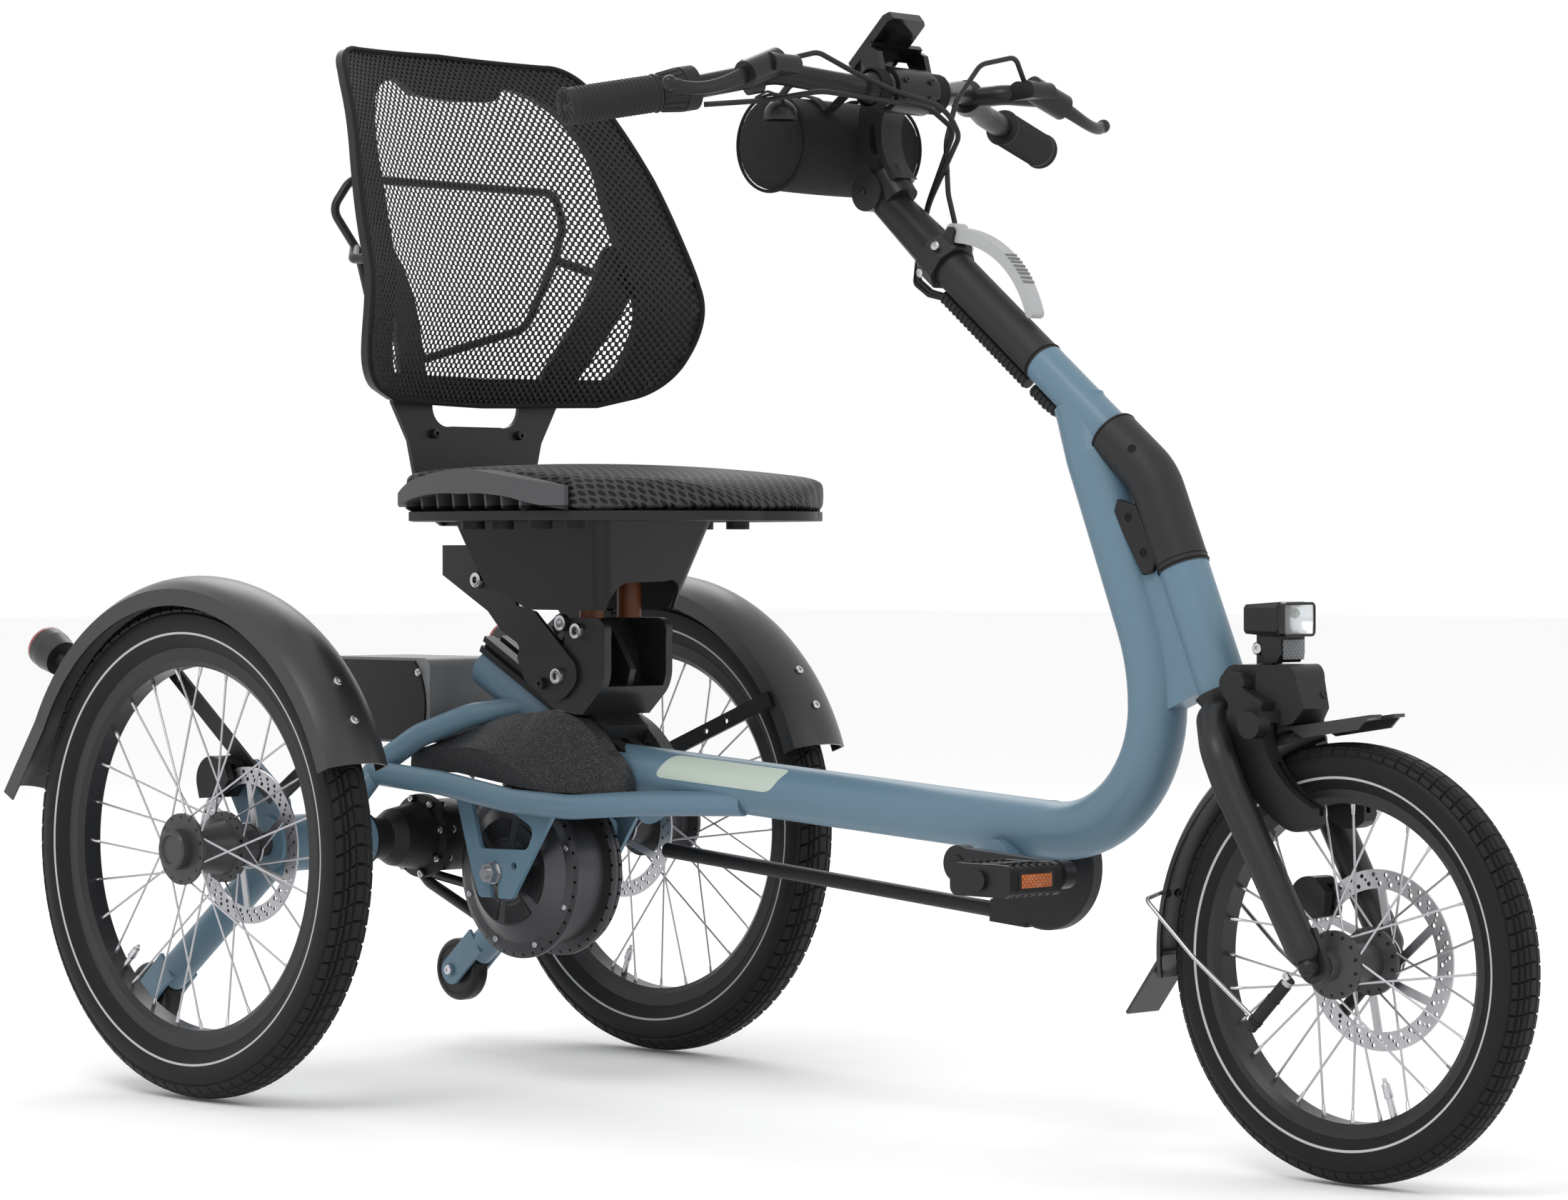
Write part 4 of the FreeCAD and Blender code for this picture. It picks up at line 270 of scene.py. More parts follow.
comb_group.links.new(waves, cell.inputs["Value"])
comb_group.links.new(cell.outputs["Result"], comb_out.inputs["Cell"])
print("group", comb_group.name)

# %% [markdown]
# Woven cloth is two crossing waves, one for each thread. A picture of cloth would show its repeats, and
# waves have none to show. The same group serves the bag with a fine pitch, the backrest's net with an
# open one, and the prisms in the reflectors.

# %% Crossed threads group
GAP_LEVEL = 0.17

weave_group, weave_in, weave_out = new_group(
    "crossed_threads",
    [("Across", "NodeSocketFloat", 0.0), ("Up", "NodeSocketFloat", 0.0),
     ("Pitch Across", "NodeSocketFloat", 0.003), ("Pitch Up", "NodeSocketFloat", 0.003)],
    [("Height", "NodeSocketFloat"), ("Gap", "NodeSocketFloat")])
warp = add_math(weave_group, "DIVIDE", weave_in.outputs["Across"], weave_in.outputs["Pitch Across"])
weft = add_math(weave_group, "DIVIDE", weave_in.outputs["Up"], weave_in.outputs["Pitch Up"])
warp_wave = add_math(weave_group, "COSINE", add_math(weave_group, "MULTIPLY", warp, 2 * math.pi))
weft_wave = add_math(weave_group, "COSINE", add_math(weave_group, "MULTIPLY", weft, 2 * math.pi))
product = add_math(weave_group, "MULTIPLY", warp_wave, weft_wave)
weave_group.links.new(product, weave_out.inputs["Height"])
gap = add_math(weave_group, "GREATER_THAN", product, GAP_LEVEL)
weave_group.links.new(gap, weave_out.inputs["Gap"])
print("group", weave_group.name)

# %% [markdown]
# ## Finishes
# A finish is a material with the grain group behind its colour, roughness and bump. Adding each node
# takes several lines, so four small helpers do what is done over and over: place a group, mix two
# colours, map a range and change a tone.

# %% Nodes in a few words
def add_group(material, group, **values):
    """Places a node group in a material with its own values."""
    node = material.node_tree.nodes.new("ShaderNodeGroup")
    node.node_tree = group
    for name, value in values.items():
        node.inputs[name.replace("_", " ")].default_value = value
    return node


def add_mix(tree, factor, first, second):
    """A colour mix. The colours are tuples or links, and the factor is a link."""
    mix = tree.nodes.new("ShaderNodeMix")
    mix.data_type = "RGBA"
    tree.links.new(factor, mix.inputs["Factor"])
    for name, colour in (("A", first), ("B", second)):
        if isinstance(colour, tuple):
            mix.inputs[name].default_value = colour + (1,)
        else:
            tree.links.new(colour, mix.inputs[name])
    return mix.outputs["Result"]


def add_range(tree, value, low, high):
    """Maps a mask or noise from 0..1 to low..high."""
    node = tree.nodes.new("ShaderNodeMapRange")
    node.inputs["To Min"].default_value = low
    node.inputs["To Max"].default_value = high
    tree.links.new(value, node.inputs["Value"])
    return node.outputs["Result"]


def shade(colour, change):
    """The colour made lighter or darker by a share."""
    return tuple(min(1.0, part * (1 + change)) for part in colour)

# %% [markdown]
# A finish starts from the Principled shader. It could be one flat colour, but under a soft light flat
# plastic looks like card. So a slow cloud moves its tone and gloss a little, and a fine grain breaks the
# highlight. Gloss level and metal are the same all over, and are set straight on the shader.

# %% A finish from its settings
def new_finish(name, colour, roughness, metallic=0.0, grain=900.0, depth=0.05, cloud=9.0, change=0.12,
               coat=0.0, spread=0.06, shine=0.3):
    """A material with grain in its bump and cloudiness in its colour and roughness."""
    material = bpy.data.materials.new(name)
    material.use_nodes = True
    tree = material.node_tree
    shader = tree.nodes["Principled BSDF"]
    place = tree.nodes.new("ShaderNodeTexCoord")
    texture = add_group(material, grain_group, Grain_Scale=grain, Cloud_Scale=cloud)
    tree.links.new(place.outputs["Object"], texture.inputs["Vector"])
    bump = tree.nodes.new("ShaderNodeBump")
    bump.name = "bump"
    bump.inputs["Strength"].default_value = depth
    bump.inputs["Distance"].default_value = 0.001
    tree.links.new(texture.outputs["Grain"], bump.inputs["Height"])
    tree.links.new(bump.outputs["Normal"], shader.inputs["Normal"])
    tone = add_mix(tree, texture.outputs["Cloud"], shade(colour, -change), shade(colour, change))
    tree.links.new(tone, shader.inputs["Base Color"])
    gloss = add_range(tree, texture.outputs["Cloud"], max(0.03, roughness - spread),
                      min(1, roughness + spread))
    tree.links.new(gloss, shader.inputs["Roughness"])
    shader.inputs["Metallic"].default_value = metallic
    shader.inputs["Specular IOR Level"].default_value = shine
    shader.inputs["Coat Weight"].default_value = coat
    shader.inputs["Coat Roughness"].default_value = 0.2
    return material

# %% [markdown]
# Here are the trike's plain finishes: powder paint, mouldings from satin to gloss, rubber, cast and
# turned metal, webbing and film. One dictionary holds what differs between them, so that two finishes can
# be compared line by line.

# %% Plain finishes
plain_finishes = {
    "frame_paint": dict(colour=(0.105, 0.180, 0.240), roughness=0.38, coat=0.1, depth=0.03, change=0.03),
    "black_paint": dict(colour=(0.010, 0.010, 0.011), roughness=0.40, grain=1500, depth=0.10, shine=0.4),
    "black_plastic": dict(colour=(0.009, 0.009, 0.010), roughness=0.46, grain=1800, depth=0.12),
    "guard_plastic": dict(colour=(0.015, 0.015, 0.016), roughness=0.34, grain=1500, depth=0.05, shine=0.55),
    "sleeve_plastic": dict(colour=(0.016, 0.016, 0.017), roughness=0.50, grain=650, depth=0.35),
    "gloss_black": dict(colour=(0.006, 0.006, 0.007), roughness=0.12, depth=0.01, grain=300, shine=0.4),
    "grey_plastic": dict(colour=(0.060, 0.060, 0.064), roughness=0.50, grain=1100, depth=0.35),
    "grip_rubber": dict(colour=(0.014, 0.014, 0.015), roughness=0.60, grain=1300, depth=0.20),
    "wheel_rubber": dict(colour=(0.010, 0.010, 0.011), roughness=0.40, grain=900, depth=0.08),
    "silver": dict(colour=(0.56, 0.56, 0.58), roughness=0.26, metallic=1.0, grain=2500, depth=0.04,
                   change=0.05),
    "steel": dict(colour=(0.42, 0.42, 0.43), roughness=0.30, metallic=1.0, grain=2500, depth=0.06,
                  change=0.06),
    "dark_alloy": dict(colour=(0.020, 0.020, 0.022), roughness=0.34, metallic=0.35, grain=1800, depth=0.05),
    "cast": dict(colour=(0.012, 0.012, 0.013), roughness=0.40, metallic=0.2, grain=520, depth=0.45),
    "mat_black": dict(colour=(0.005, 0.005, 0.006), roughness=0.7, grain=1500, depth=0.1, shine=0.2),
    "webbing": dict(colour=(0.010, 0.010, 0.011), roughness=0.78, grain=1900, depth=0.5, shine=0.2),
    "light_grey": dict(colour=(0.36, 0.365, 0.37), roughness=0.45, grain=1600, depth=0.08, change=0.03),
    "ridge_grey": dict(colour=(0.16, 0.162, 0.165), roughness=0.5, grain=1600, depth=0.08, change=0.03),
    "label_film": dict(colour=(0.45, 0.52, 0.46), roughness=0.45, grain=2000, depth=0.03, change=0.02),
    "elastomer": dict(colour=(0.10, 0.028, 0.008), roughness=0.45, grain=900, depth=0.05),
    "chrome": dict(colour=(0.80, 0.81, 0.83), roughness=0.12, metallic=1.0, grain=900, depth=0.02,
                   change=0.02),
    "studio_floor": dict(colour=(0.95, 0.95, 0.95), roughness=0.9, grain=40, depth=0.01, change=0.004),
}
finishes = {name: new_finish(name, **settings) for name, settings in plain_finishes.items()}
floor.data.materials.append(finishes["studio_floor"])
print("plain finishes:", len(finishes))

# %% [markdown]
# The seat's moulding is grey, and under its side wings the shade is painted on as black below a height.
# It could be split in two pieces, but it is one node. So one finish holds both tones, and the height
# above the floor says which of them a face gets.

# %% Seat moulding
def new_shaded_below(name, low, high, change_height):
    """A plastic with painted shade: dark below a height, and its own lighter tone above it."""
    material = new_finish(name, low, 0.50, grain=1100, depth=0.35)
    tree = material.node_tree
    shader = tree.nodes["Principled BSDF"]
    place = tree.nodes.new("ShaderNodeTexCoord")
    axes = tree.nodes.new("ShaderNodeSeparateXYZ")
    tree.links.new(place.outputs["Object"], axes.inputs[0])
    # Below this height the colour is painted shade.
    above = add_math(tree, "GREATER_THAN", axes.outputs["Z"], change_height * MM)
    dark = shader.inputs["Base Color"].links[0].from_socket
    tree.links.new(add_mix(tree, above, dark, high), shader.inputs["Base Color"])
    return material


WING_FOOT = 597.3
# The black below the wings is painted shade; the moulding's own colour is the grey.
UNDERSIDE_PAINTED_SHADE = (0.010, 0.010, 0.011)
WING_GREY = (0.066, 0.066, 0.070)
finishes["seat_moulding"] = new_shaded_below("seat_moulding", UNDERSIDE_PAINTED_SHADE, WING_GREY, WING_FOOT)
print("the seat's moulding turns grey at", WING_FOOT, "mm")

# %% [markdown]
# The chain covers are moulded in a black with a visible pearl grain. A rougher bump alone only dulls
# them. A second, sharper noise lights single specks, over a bump that is deeper than on the other
# mouldings.

# %% Speckled covers
def new_speckled(name, colour, speck, level):
    """The finish of a plastic with a pale speck wherever the noise is above a level."""
    material = new_finish(name, colour, 0.40, grain=900, depth=0.25)
    tree = material.node_tree
    shader = tree.nodes["Principled BSDF"]
    place = tree.nodes.new("ShaderNodeTexCoord")
    fine = add_noise(tree, place.outputs["Object"], 1500.0, 0.0)
    mask = add_math(tree, "GREATER_THAN", fine, level)
    tone = shader.inputs["Base Color"].links[0].from_socket
    tree.links.new(add_mix(tree, mask, tone, speck), shader.inputs["Base Color"])
    return material


COVER_BLACK = (0.010, 0.010, 0.011)
PEARL_SPECK = (0.10, 0.10, 0.105)
SPECK_LEVEL = 0.62
finishes["speckled"] = new_speckled("speckled_cover", COVER_BLACK, PEARL_SPECK, SPECK_LEVEL)
print("finish", finishes["speckled"].name)

# %% [markdown]
# Lamps, lenses and reflectors are clear plastics over small prisms. The red, orange and grey ones are
# solid colours under a clear coat, with the prisms in their bump, which looks nearly as deep as glass and
# renders sooner. Between the prisms the colour is darkened as painted shade. Only the headlight's glass
# keeps a plain transmission.

# %% Lenses and reflectors
def new_prism(name, colour, pitch, depth):
    """A coloured clear plastic with a grid of small prisms under a gloss coat, and painted shade between the
    prisms.
    """
    material = new_finish(name, colour, 0.16, coat=0.8, change=0.10, cloud=60)
    tree = material.node_tree
    place = tree.nodes.new("ShaderNodeTexCoord")
    axes = tree.nodes.new("ShaderNodeSeparateXYZ")
    tree.links.new(place.outputs["Object"], axes.inputs[0])
    prisms = add_group(material, weave_group, Pitch_Across=pitch, Pitch_Up=pitch)
    tree.links.new(axes.outputs["Y"], prisms.inputs["Across"])
    tree.links.new(axes.outputs["Z"], prisms.inputs["Up"])
    bump = tree.nodes["bump"]
    bump.inputs["Strength"].default_value = depth
    tree.links.new(prisms.outputs["Height"], bump.inputs["Height"])
    # Between the prisms the colour is darkened by almost half: painted shade.
    tree.links.new(add_mix(tree, prisms.outputs["Gap"], shade(colour, -0.45), colour),
                   tree.nodes["Principled BSDF"].inputs["Base Color"])
    return material


def new_glass(name):
    """A clear lamp glass."""
    material = new_finish(name, (0.93, 0.95, 0.96), 0.06, depth=0.02, change=0.01)
    shader = material.node_tree.nodes["Principled BSDF"]
    shader.inputs["Transmission Weight"].default_value = 0.92
    shader.inputs["IOR"].default_value = 1.46
    return material


finishes["lamp_red"] = new_prism("lamp_red", (0.42, 0.012, 0.010), 0.004, 0.5)
finishes["reflex_orange"] = new_prism("reflex_orange", (0.55, 0.13, 0.015), 0.005, 0.6)
finishes["reflex_grey"] = new_prism("reflex_grey", (0.10, 0.11, 0.12), 0.005, 0.6)
finishes["lamp_glass"] = new_glass("lamp_glass")
print("finishes so far:", len(finishes))

# %% [markdown]
# ## Wheel and tyre finishes
# A wheel is one CAD node, so its rim, spokes, hub and brake disc can't each get a material of their own.
# They are told apart by their distance from the axle and from the wheel's middle plane. These helpers
# measure both and join masks.

# %% Masks round an axle
def centred(material, centre):
    """Object coordinates measured from a point."""
    tree = material.node_tree
    place = tree.nodes.new("ShaderNodeTexCoord")
    mapping = tree.nodes.new("ShaderNodeMapping")
    mapping.inputs["Location"].default_value = tuple(-part for part in centre)
    tree.links.new(place.outputs["Object"], mapping.inputs["Vector"])
    return mapping.outputs["Vector"]


def axle_distance(tree, vector):
    """The distance from a cross axle, and the place along it."""
    axes = tree.nodes.new("ShaderNodeSeparateXYZ")
    tree.links.new(vector, axes.inputs[0])
    squares = add_math(tree, "ADD", add_math(tree, "MULTIPLY", axes.outputs["X"], axes.outputs["X"]),
                       add_math(tree, "MULTIPLY", axes.outputs["Z"], axes.outputs["Z"]))
    return add_math(tree, "SQRT", squares), axes.outputs["Y"]


def either(tree, first, second):
    """A mask that is one where either mask is."""
    return add_math(tree, "MAXIMUM", first, second)


def both_masks(tree, first, second):
    """A mask that is one where both masks are."""
    return add_math(tree, "MULTIPLY", first, second)


def hole_mask(material, vector, **values):
    """One ring of holes round the axle."""
    ring = add_group(material, ring_group, **values)
    material.node_tree.links.new(vector, ring.inputs["Vector"])
    return ring.outputs["Mask"]

# %% [markdown]
# Now the masks are put together. The rim and hub are dark, what lies between them is spoke silver, and
# the disc is silver too. The spoke holes in the hub flanges are painted near black as painted shade. The
# disc's rings of holes are cut with alpha. They could be modelled, but a mask leaves the CAD mesh as it is.

# %% Wheel finish
RIM_GREY = (0.024, 0.024, 0.026)
HUB_GREY = (0.052, 0.052, 0.055)
SPOKE_SILVER = (0.48, 0.48, 0.50)
# The hub flange's spoke holes are not cut: this near black is painted shade in them.
HUB_HOLE_PAINTED_SHADE = (0.004, 0.004, 0.004)
CARRIER_REACH = 0.0225


def new_wheel_finish(name, centre, rim_from, hub_to, disc_side, flange_radius):
    """The finish of a whole wheel: dark rim and hub with painted shade in its flange holes, silver spokes
    and a bored steel disc.
    """
    material = new_finish(name, RIM_GREY, 0.34, grain=1600, depth=0.06)
    tree = material.node_tree
    shader = tree.nodes["Principled BSDF"]
    vector = centred(material, centre)
    distance, side = axle_distance(tree, vector)
    sideways = add_math(tree, "MULTIPLY", side, 1.0 if disc_side[0] > 0 else -1.0)
    at_disc = both_masks(tree, add_math(tree, "GREATER_THAN", sideways, abs(disc_side[0])),
                         add_math(tree, "LESS_THAN", sideways, abs(disc_side[1])))
    past_carrier = add_math(tree, "GREATER_THAN", distance, CARRIER_REACH)
    disc = both_masks(tree, at_disc, past_carrier)
    rim = add_math(tree, "GREATER_THAN", distance, rim_from)
    hub = add_math(tree, "LESS_THAN", distance, hub_to)
    dark = either(tree, rim, hub)
    spoke_or_disc = either(tree, add_math(tree, "SUBTRACT", 1.0, dark), disc)
    rim_tone = shader.inputs["Base Color"].links[0].from_socket
    dark_tone = add_mix(tree, hub, rim_tone, HUB_GREY)
    # Painted shade in the flange's spoke holes.
    flange_hole = hole_mask(material, vector, Count=14.0, Radius=flange_radius, Size=0.0017)
    dark_tone = add_mix(tree, flange_hole, dark_tone, HUB_HOLE_PAINTED_SHADE)
    tree.links.new(add_mix(tree, spoke_or_disc, dark_tone, SPOKE_SILVER), shader.inputs["Base Color"])
    tree.links.new(add_range(tree, spoke_or_disc, 0.25, 1.0), shader.inputs["Metallic"])
    outer_holes = hole_mask(material, vector, Count=36.0, Radius=0.0755, Size=0.0019)
    inner_holes = hole_mask(material, vector, Count=36.0, Radius=0.0675, Size=0.0021, Turn=0.5)
    slots = hole_mask(material, vector, Count=36.0, Radius=0.0715, Size=0.0013, Turn=0.25)
    holes = either(tree, either(tree, outer_holes, inner_holes), slots)
    tree.links.new(add_math(tree, "SUBTRACT", 1.0, both_masks(tree, holes, disc)), shader.inputs["Alpha"])
    return material


wheel_centres = {"wheel_left": at(0, REAR_WHEEL_SIDE, REAR_WHEEL_RADIUS),
                 "wheel_right": at(0, -REAR_WHEEL_SIDE, REAR_WHEEL_RADIUS),
                 "wheel_front": at(FRONT_AXLE_AHEAD, 0, FRONT_WHEEL_RADIUS)}
wheel_shapes = {
    "wheel_left": dict(rim_from=0.1815, hub_to=0.0365, disc_side=(-0.0588, -0.0612), flange_radius=0.0325),
    "wheel_right": dict(rim_from=0.1815, hub_to=0.0365, disc_side=(0.0588, 0.0612), flange_radius=0.0325),
    "wheel_front": dict(rim_from=0.1385, hub_to=0.0305, disc_side=(0.0378, 0.0402), flange_radius=0.0265),
}
for wheel_name, shape in wheel_shapes.items():
    finishes[wheel_name] = new_wheel_finish(wheel_name, wheel_centres[wheel_name], **shape)
    print(wheel_name, "rim from", shape["rim_from"])

# %% [markdown]
# A tyre's sidewall carries a thin reflective line. It could be a thin ring on the rubber, which would
# stand out from the side. In the finish it is a band of distances from the axle, as flat as the real one.

# %% Tyre finish
LINE_HALF = 0.0011
REFLEX_SILVER = (0.42, 0.43, 0.44)


def new_tyre_finish(name, centre, line_radius):
    """Black rubber with a pale reflective line round each sidewall."""
    material = new_finish(name, (0.007, 0.007, 0.008), 0.52, grain=900, depth=0.12, cloud=14, shine=0.2)
    tree = material.node_tree
    shader = tree.nodes["Principled BSDF"]
    distance = axle_distance(tree, centred(material, centre))[0]
    off_line = add_math(tree, "ABSOLUTE", add_math(tree, "SUBTRACT", distance, line_radius * MM))
    line = add_math(tree, "LESS_THAN", off_line, LINE_HALF)
    rubber = shader.inputs["Base Color"].links[0].from_socket
    tree.links.new(add_mix(tree, line, rubber, REFLEX_SILVER), shader.inputs["Base Color"])
    return material


line_radii = {"left": 217.2, "right": 217.2, "front": 162.3}
for place_name, line_radius in line_radii.items():
    finish = new_tyre_finish("tyre_" + place_name, wheel_centres["wheel_" + place_name], line_radius)
    finishes[finish.name] = finish
print("reflective lines, mm from the axle:", line_radii)

# %% [markdown]
# The battery is black at its two cheeks and satin grey between them. The motor's flanges have a ring of
# small holes near their rims, painted near black as painted shade. Each of these nodes has one mesh, so
# each gets one finish with a mask in it.

# %% Battery and motor finishes
CASE_GREY = (0.17, 0.175, 0.18)
CHEEK_FROM = 0.0551
# The motor's flange holes are not cut: this near black is painted shade in them.
MOTOR_HOLE_PAINTED_SHADE = (0.003, 0.003, 0.003)


def new_battery_finish(name, cheek_from):
    """Grey casing between black cheeks."""
    material = new_finish(name, (0.008, 0.008, 0.009), 0.38, grain=1600, depth=0.08)
    tree = material.node_tree
    shader = tree.nodes["Principled BSDF"]
    place = tree.nodes.new("ShaderNodeTexCoord")
    axes = tree.nodes.new("ShaderNodeSeparateXYZ")
    tree.links.new(place.outputs["Object"], axes.inputs[0])
    cheek = add_math(tree, "GREATER_THAN", add_math(tree, "ABSOLUTE", axes.outputs["Y"]), cheek_from)
    black = shader.inputs["Base Color"].links[0].from_socket
    tree.links.new(add_mix(tree, cheek, CASE_GREY, black), shader.inputs["Base Color"])
    return material


def new_motor_finish(name):
    """Dark alloy with a ring of spoke holes in both flanges, painted near black as painted shade."""
    material = new_finish(name, (0.075, 0.075, 0.080), 0.34, metallic=0.8, grain=1500, depth=0.05)
    tree = material.node_tree
    shader = tree.nodes["Principled BSDF"]
    holes = hole_mask(material, centred(material, MOTOR_HUB), Count=36.0, Radius=0.0862, Size=0.0016)
    alloy = shader.inputs["Base Color"].links[0].from_socket
    tree.links.new(add_mix(tree, holes, alloy, MOTOR_HOLE_PAINTED_SHADE), shader.inputs["Base Color"])
    return material


finishes["battery_case"] = new_battery_finish("battery_case", CHEEK_FROM)
finishes["motor_case"] = new_motor_finish("motor_case")
print("cheeks from", CHEEK_FROM, "m off the middle")

# %% [markdown]
# ## Cloth finishes
# The seat's honeycomb is a bump whose hollow cells are darkened as painted shade. The backrest's net is
# see-through: its gaps are cut with alpha, so that the bars behind it show, because thousands of real
# threads would be too heavy. The bag is a plain woven nylon.

# %% Cloth finishes
def new_honeycomb(name):
    """Black spacer cloth with honeycomb cells, darkened as painted shade, which run on down its sides."""
    material = new_finish(name, (0.038, 0.038, 0.040), 0.55, grain=2400, depth=0.2)
    tree = material.node_tree
    shader = tree.nodes["Principled BSDF"]
    place = tree.nodes.new("ShaderNodeTexCoord")
    axes = tree.nodes.new("ShaderNodeSeparateXYZ")
    tree.links.new(place.outputs["Object"], axes.inputs[0])
    folded = tree.nodes.new("ShaderNodeCombineXYZ")
    tree.links.new(add_math(tree, "SUBTRACT", axes.outputs["X"], axes.outputs["Z"]), folded.inputs["X"])
    tree.links.new(add_math(tree, "ADD", axes.outputs["Y"], axes.outputs["Z"]), folded.inputs["Y"])
    cells = add_group(material, comb_group, Pitch_X=0.0165, Pitch_Y=0.0120)
    tree.links.new(folded.outputs["Vector"], cells.inputs["Vector"])
    bump = tree.nodes["bump"]
    bump.inputs["Strength"].default_value = 1.0
    bump.inputs["Distance"].default_value = 0.0022
    tree.links.new(add_math(tree, "SUBTRACT", 1.0, cells.outputs["Cell"]), bump.inputs["Height"])
    # The hollow of each cell is darkened to near black: painted shade.
    thread = shader.inputs["Base Color"].links[0].from_socket
    tree.links.new(add_mix(tree, cells.outputs["Cell"], thread, (0.002, 0.002, 0.002)),
                   shader.inputs["Base Color"])
    return material


def new_net(name):
    """Black knitted net whose gaps let the bars behind it show."""
    material = new_finish(name, (0.012, 0.012, 0.013), 0.6, grain=2400, depth=0.2)
    tree = material.node_tree
    shader = tree.nodes["Principled BSDF"]
    place = tree.nodes.new("ShaderNodeTexCoord")
    axes = tree.nodes.new("ShaderNodeSeparateXYZ")
    tree.links.new(place.outputs["Object"], axes.inputs[0])
    threads = add_group(material, weave_group, Pitch_Across=0.0076, Pitch_Up=0.0092)
    tree.links.new(axes.outputs["Y"], threads.inputs["Across"])
    tree.links.new(axes.outputs["Z"], threads.inputs["Up"])
    bump = tree.nodes["bump"]
    bump.inputs["Strength"].default_value = 0.6
    tree.links.new(add_math(tree, "MULTIPLY", threads.outputs["Height"], -1.0), bump.inputs["Height"])
    tree.links.new(add_math(tree, "SUBTRACT", 1.0, threads.outputs["Gap"]), shader.inputs["Alpha"])
    return material


def new_nylon(name):
    """Black woven bag cloth."""
    material = new_finish(name, (0.013, 0.013, 0.014), 0.75, grain=2400, depth=0.2, change=0.2, shine=0.2)
    tree = material.node_tree
    place = tree.nodes.new("ShaderNodeTexCoord")
    axes = tree.nodes.new("ShaderNodeSeparateXYZ")
    tree.links.new(place.outputs["Object"], axes.inputs[0])
    threads = add_group(material, weave_group, Pitch_Across=0.0022, Pitch_Up=0.0022)
    tree.links.new(axes.outputs["Y"], threads.inputs["Across"])
    round_way = add_math(tree, "ADD", axes.outputs["Z"], axes.outputs["X"])
    tree.links.new(round_way, threads.inputs["Up"])
    bump = tree.nodes["bump"]
    bump.inputs["Strength"].default_value = 0.5
    tree.links.new(threads.outputs["Height"], bump.inputs["Height"])
    return material


finishes["honeycomb"] = new_honeycomb("honeycomb")
finishes["net"] = new_net("net")
finishes["nylon"] = new_nylon("nylon")
print("finishes:", len(finishes))

# %% [markdown]
# ## Finishes on the CAD nodes
# Most nodes take the finish that the record names as their slot, so a loop can hand them out. A few take
# a closer one, which a short dictionary names.

# %% Finishes on the nodes
closer_finish = {
    "rear_mudguards": "guard_plastic", "front_mudguard": "guard_plastic", "drive_covers": "speckled",
    "battery": "battery_case", "hub_motor": "motor_case", "column_sleeve": "sleeve_plastic",
    "elbow_cover": "sleeve_plastic", "tail_lamps": "guard_plastic", "back_mesh": "net",
    "seat_cushion": "honeycomb", "handlebar_bag": "nylon", "caster_left": "wheel_rubber",
    "caster_right": "wheel_rubber", "tyre_left": "tyre_left", "tyre_right": "tyre_right",
    "tyre_front": "tyre_front", "wheel_left": "wheel_left", "wheel_right": "wheel_right",
    "wheel_front": "wheel_front", "seat_shell": "seat_moulding", "front_stay": "steel",
}
for subpart in frame["record"]["subparts"]:
    node = nodes[subpart["node"]]
    finish_name = closer_finish.get(subpart["node"], subpart["material_slot"])
    node.data.materials.clear()
    node.data.materials.append(finishes[finish_name])

# %% [markdown]
# ## Modelling helpers
# A script has no mouse to pick faces with. These helpers do what is done by hand: enter edit mode on one
# piece, pick faces by where they are and how they look, and apply a modifier. Everything is deselected
# first, because an operator acts on all that is selected.

# %% Picking and applying
def edit_mode(piece):
    """Makes one piece active and enters edit mode."""
    deselect_all()
    piece.select_set(True)
    bpy.context.view_layer.objects.active = piece
    bpy.ops.object.mode_set(mode="EDIT")


def pick_faces(piece, wanted):
    """In edit mode, selects only the faces that pass a test of their middle and normal."""
    bpy.ops.mesh.select_mode(type="FACE")
    bpy.ops.mesh.select_all(action="DESELECT")
    edit_mesh = bmesh.from_edit_mesh(piece.data)
    for face in edit_mesh.faces:
        face.select_set(wanted(face.calc_center_median(), face.normal))
    bmesh.update_edit_mesh(piece.data)


def apply_modifier(piece, kind, **settings):
    """Adds a modifier, sets it and applies it."""
    deselect_all()
    piece.select_set(True)
    bpy.context.view_layer.objects.active = piece
    modifier = piece.modifiers.new(kind.lower(), kind)
    for name, value in settings.items():
        setattr(modifier, name, value)
    bpy.ops.object.modifier_apply(modifier=modifier.name)

# %% [markdown]
# A finished piece has its place in its mesh, no doubles, faces that look outwards and smooth shading up
# to an angle. Then it rides on the body that carries it. These three helpers end the making of every
# piece, so that no piece is left half done.

# %% Finishing a piece
def settle(piece, smooth_angle=35, merge=0.00001):
    """Puts the place in the mesh, closes doubles, turns faces outwards and smooths gentle edges."""
    deselect_all()
    piece.select_set(True)
    bpy.context.view_layer.objects.active = piece
    bpy.ops.object.transform_apply(location=True, rotation=True, scale=True)
    bpy.ops.object.mode_set(mode="EDIT")
    bpy.ops.mesh.select_all(action="SELECT")
    bpy.ops.mesh.remove_doubles(threshold=merge)
    bpy.ops.mesh.normals_make_consistent(inside=False)
    bpy.ops.object.mode_set(mode="OBJECT")
    bpy.ops.object.shade_smooth_by_angle(angle=math.radians(smooth_angle))
    return piece


def join_pieces(pieces, name):
    """Joins pieces into one object with that name."""
    deselect_all()
    for piece in pieces:
        piece.select_set(True)
    bpy.context.view_layer.objects.active = pieces[0]
    if len(pieces) > 1:
        bpy.ops.object.join()
    joined = bpy.context.view_layer.objects.active
    joined.name = name
    joined.data.name = name
    return joined


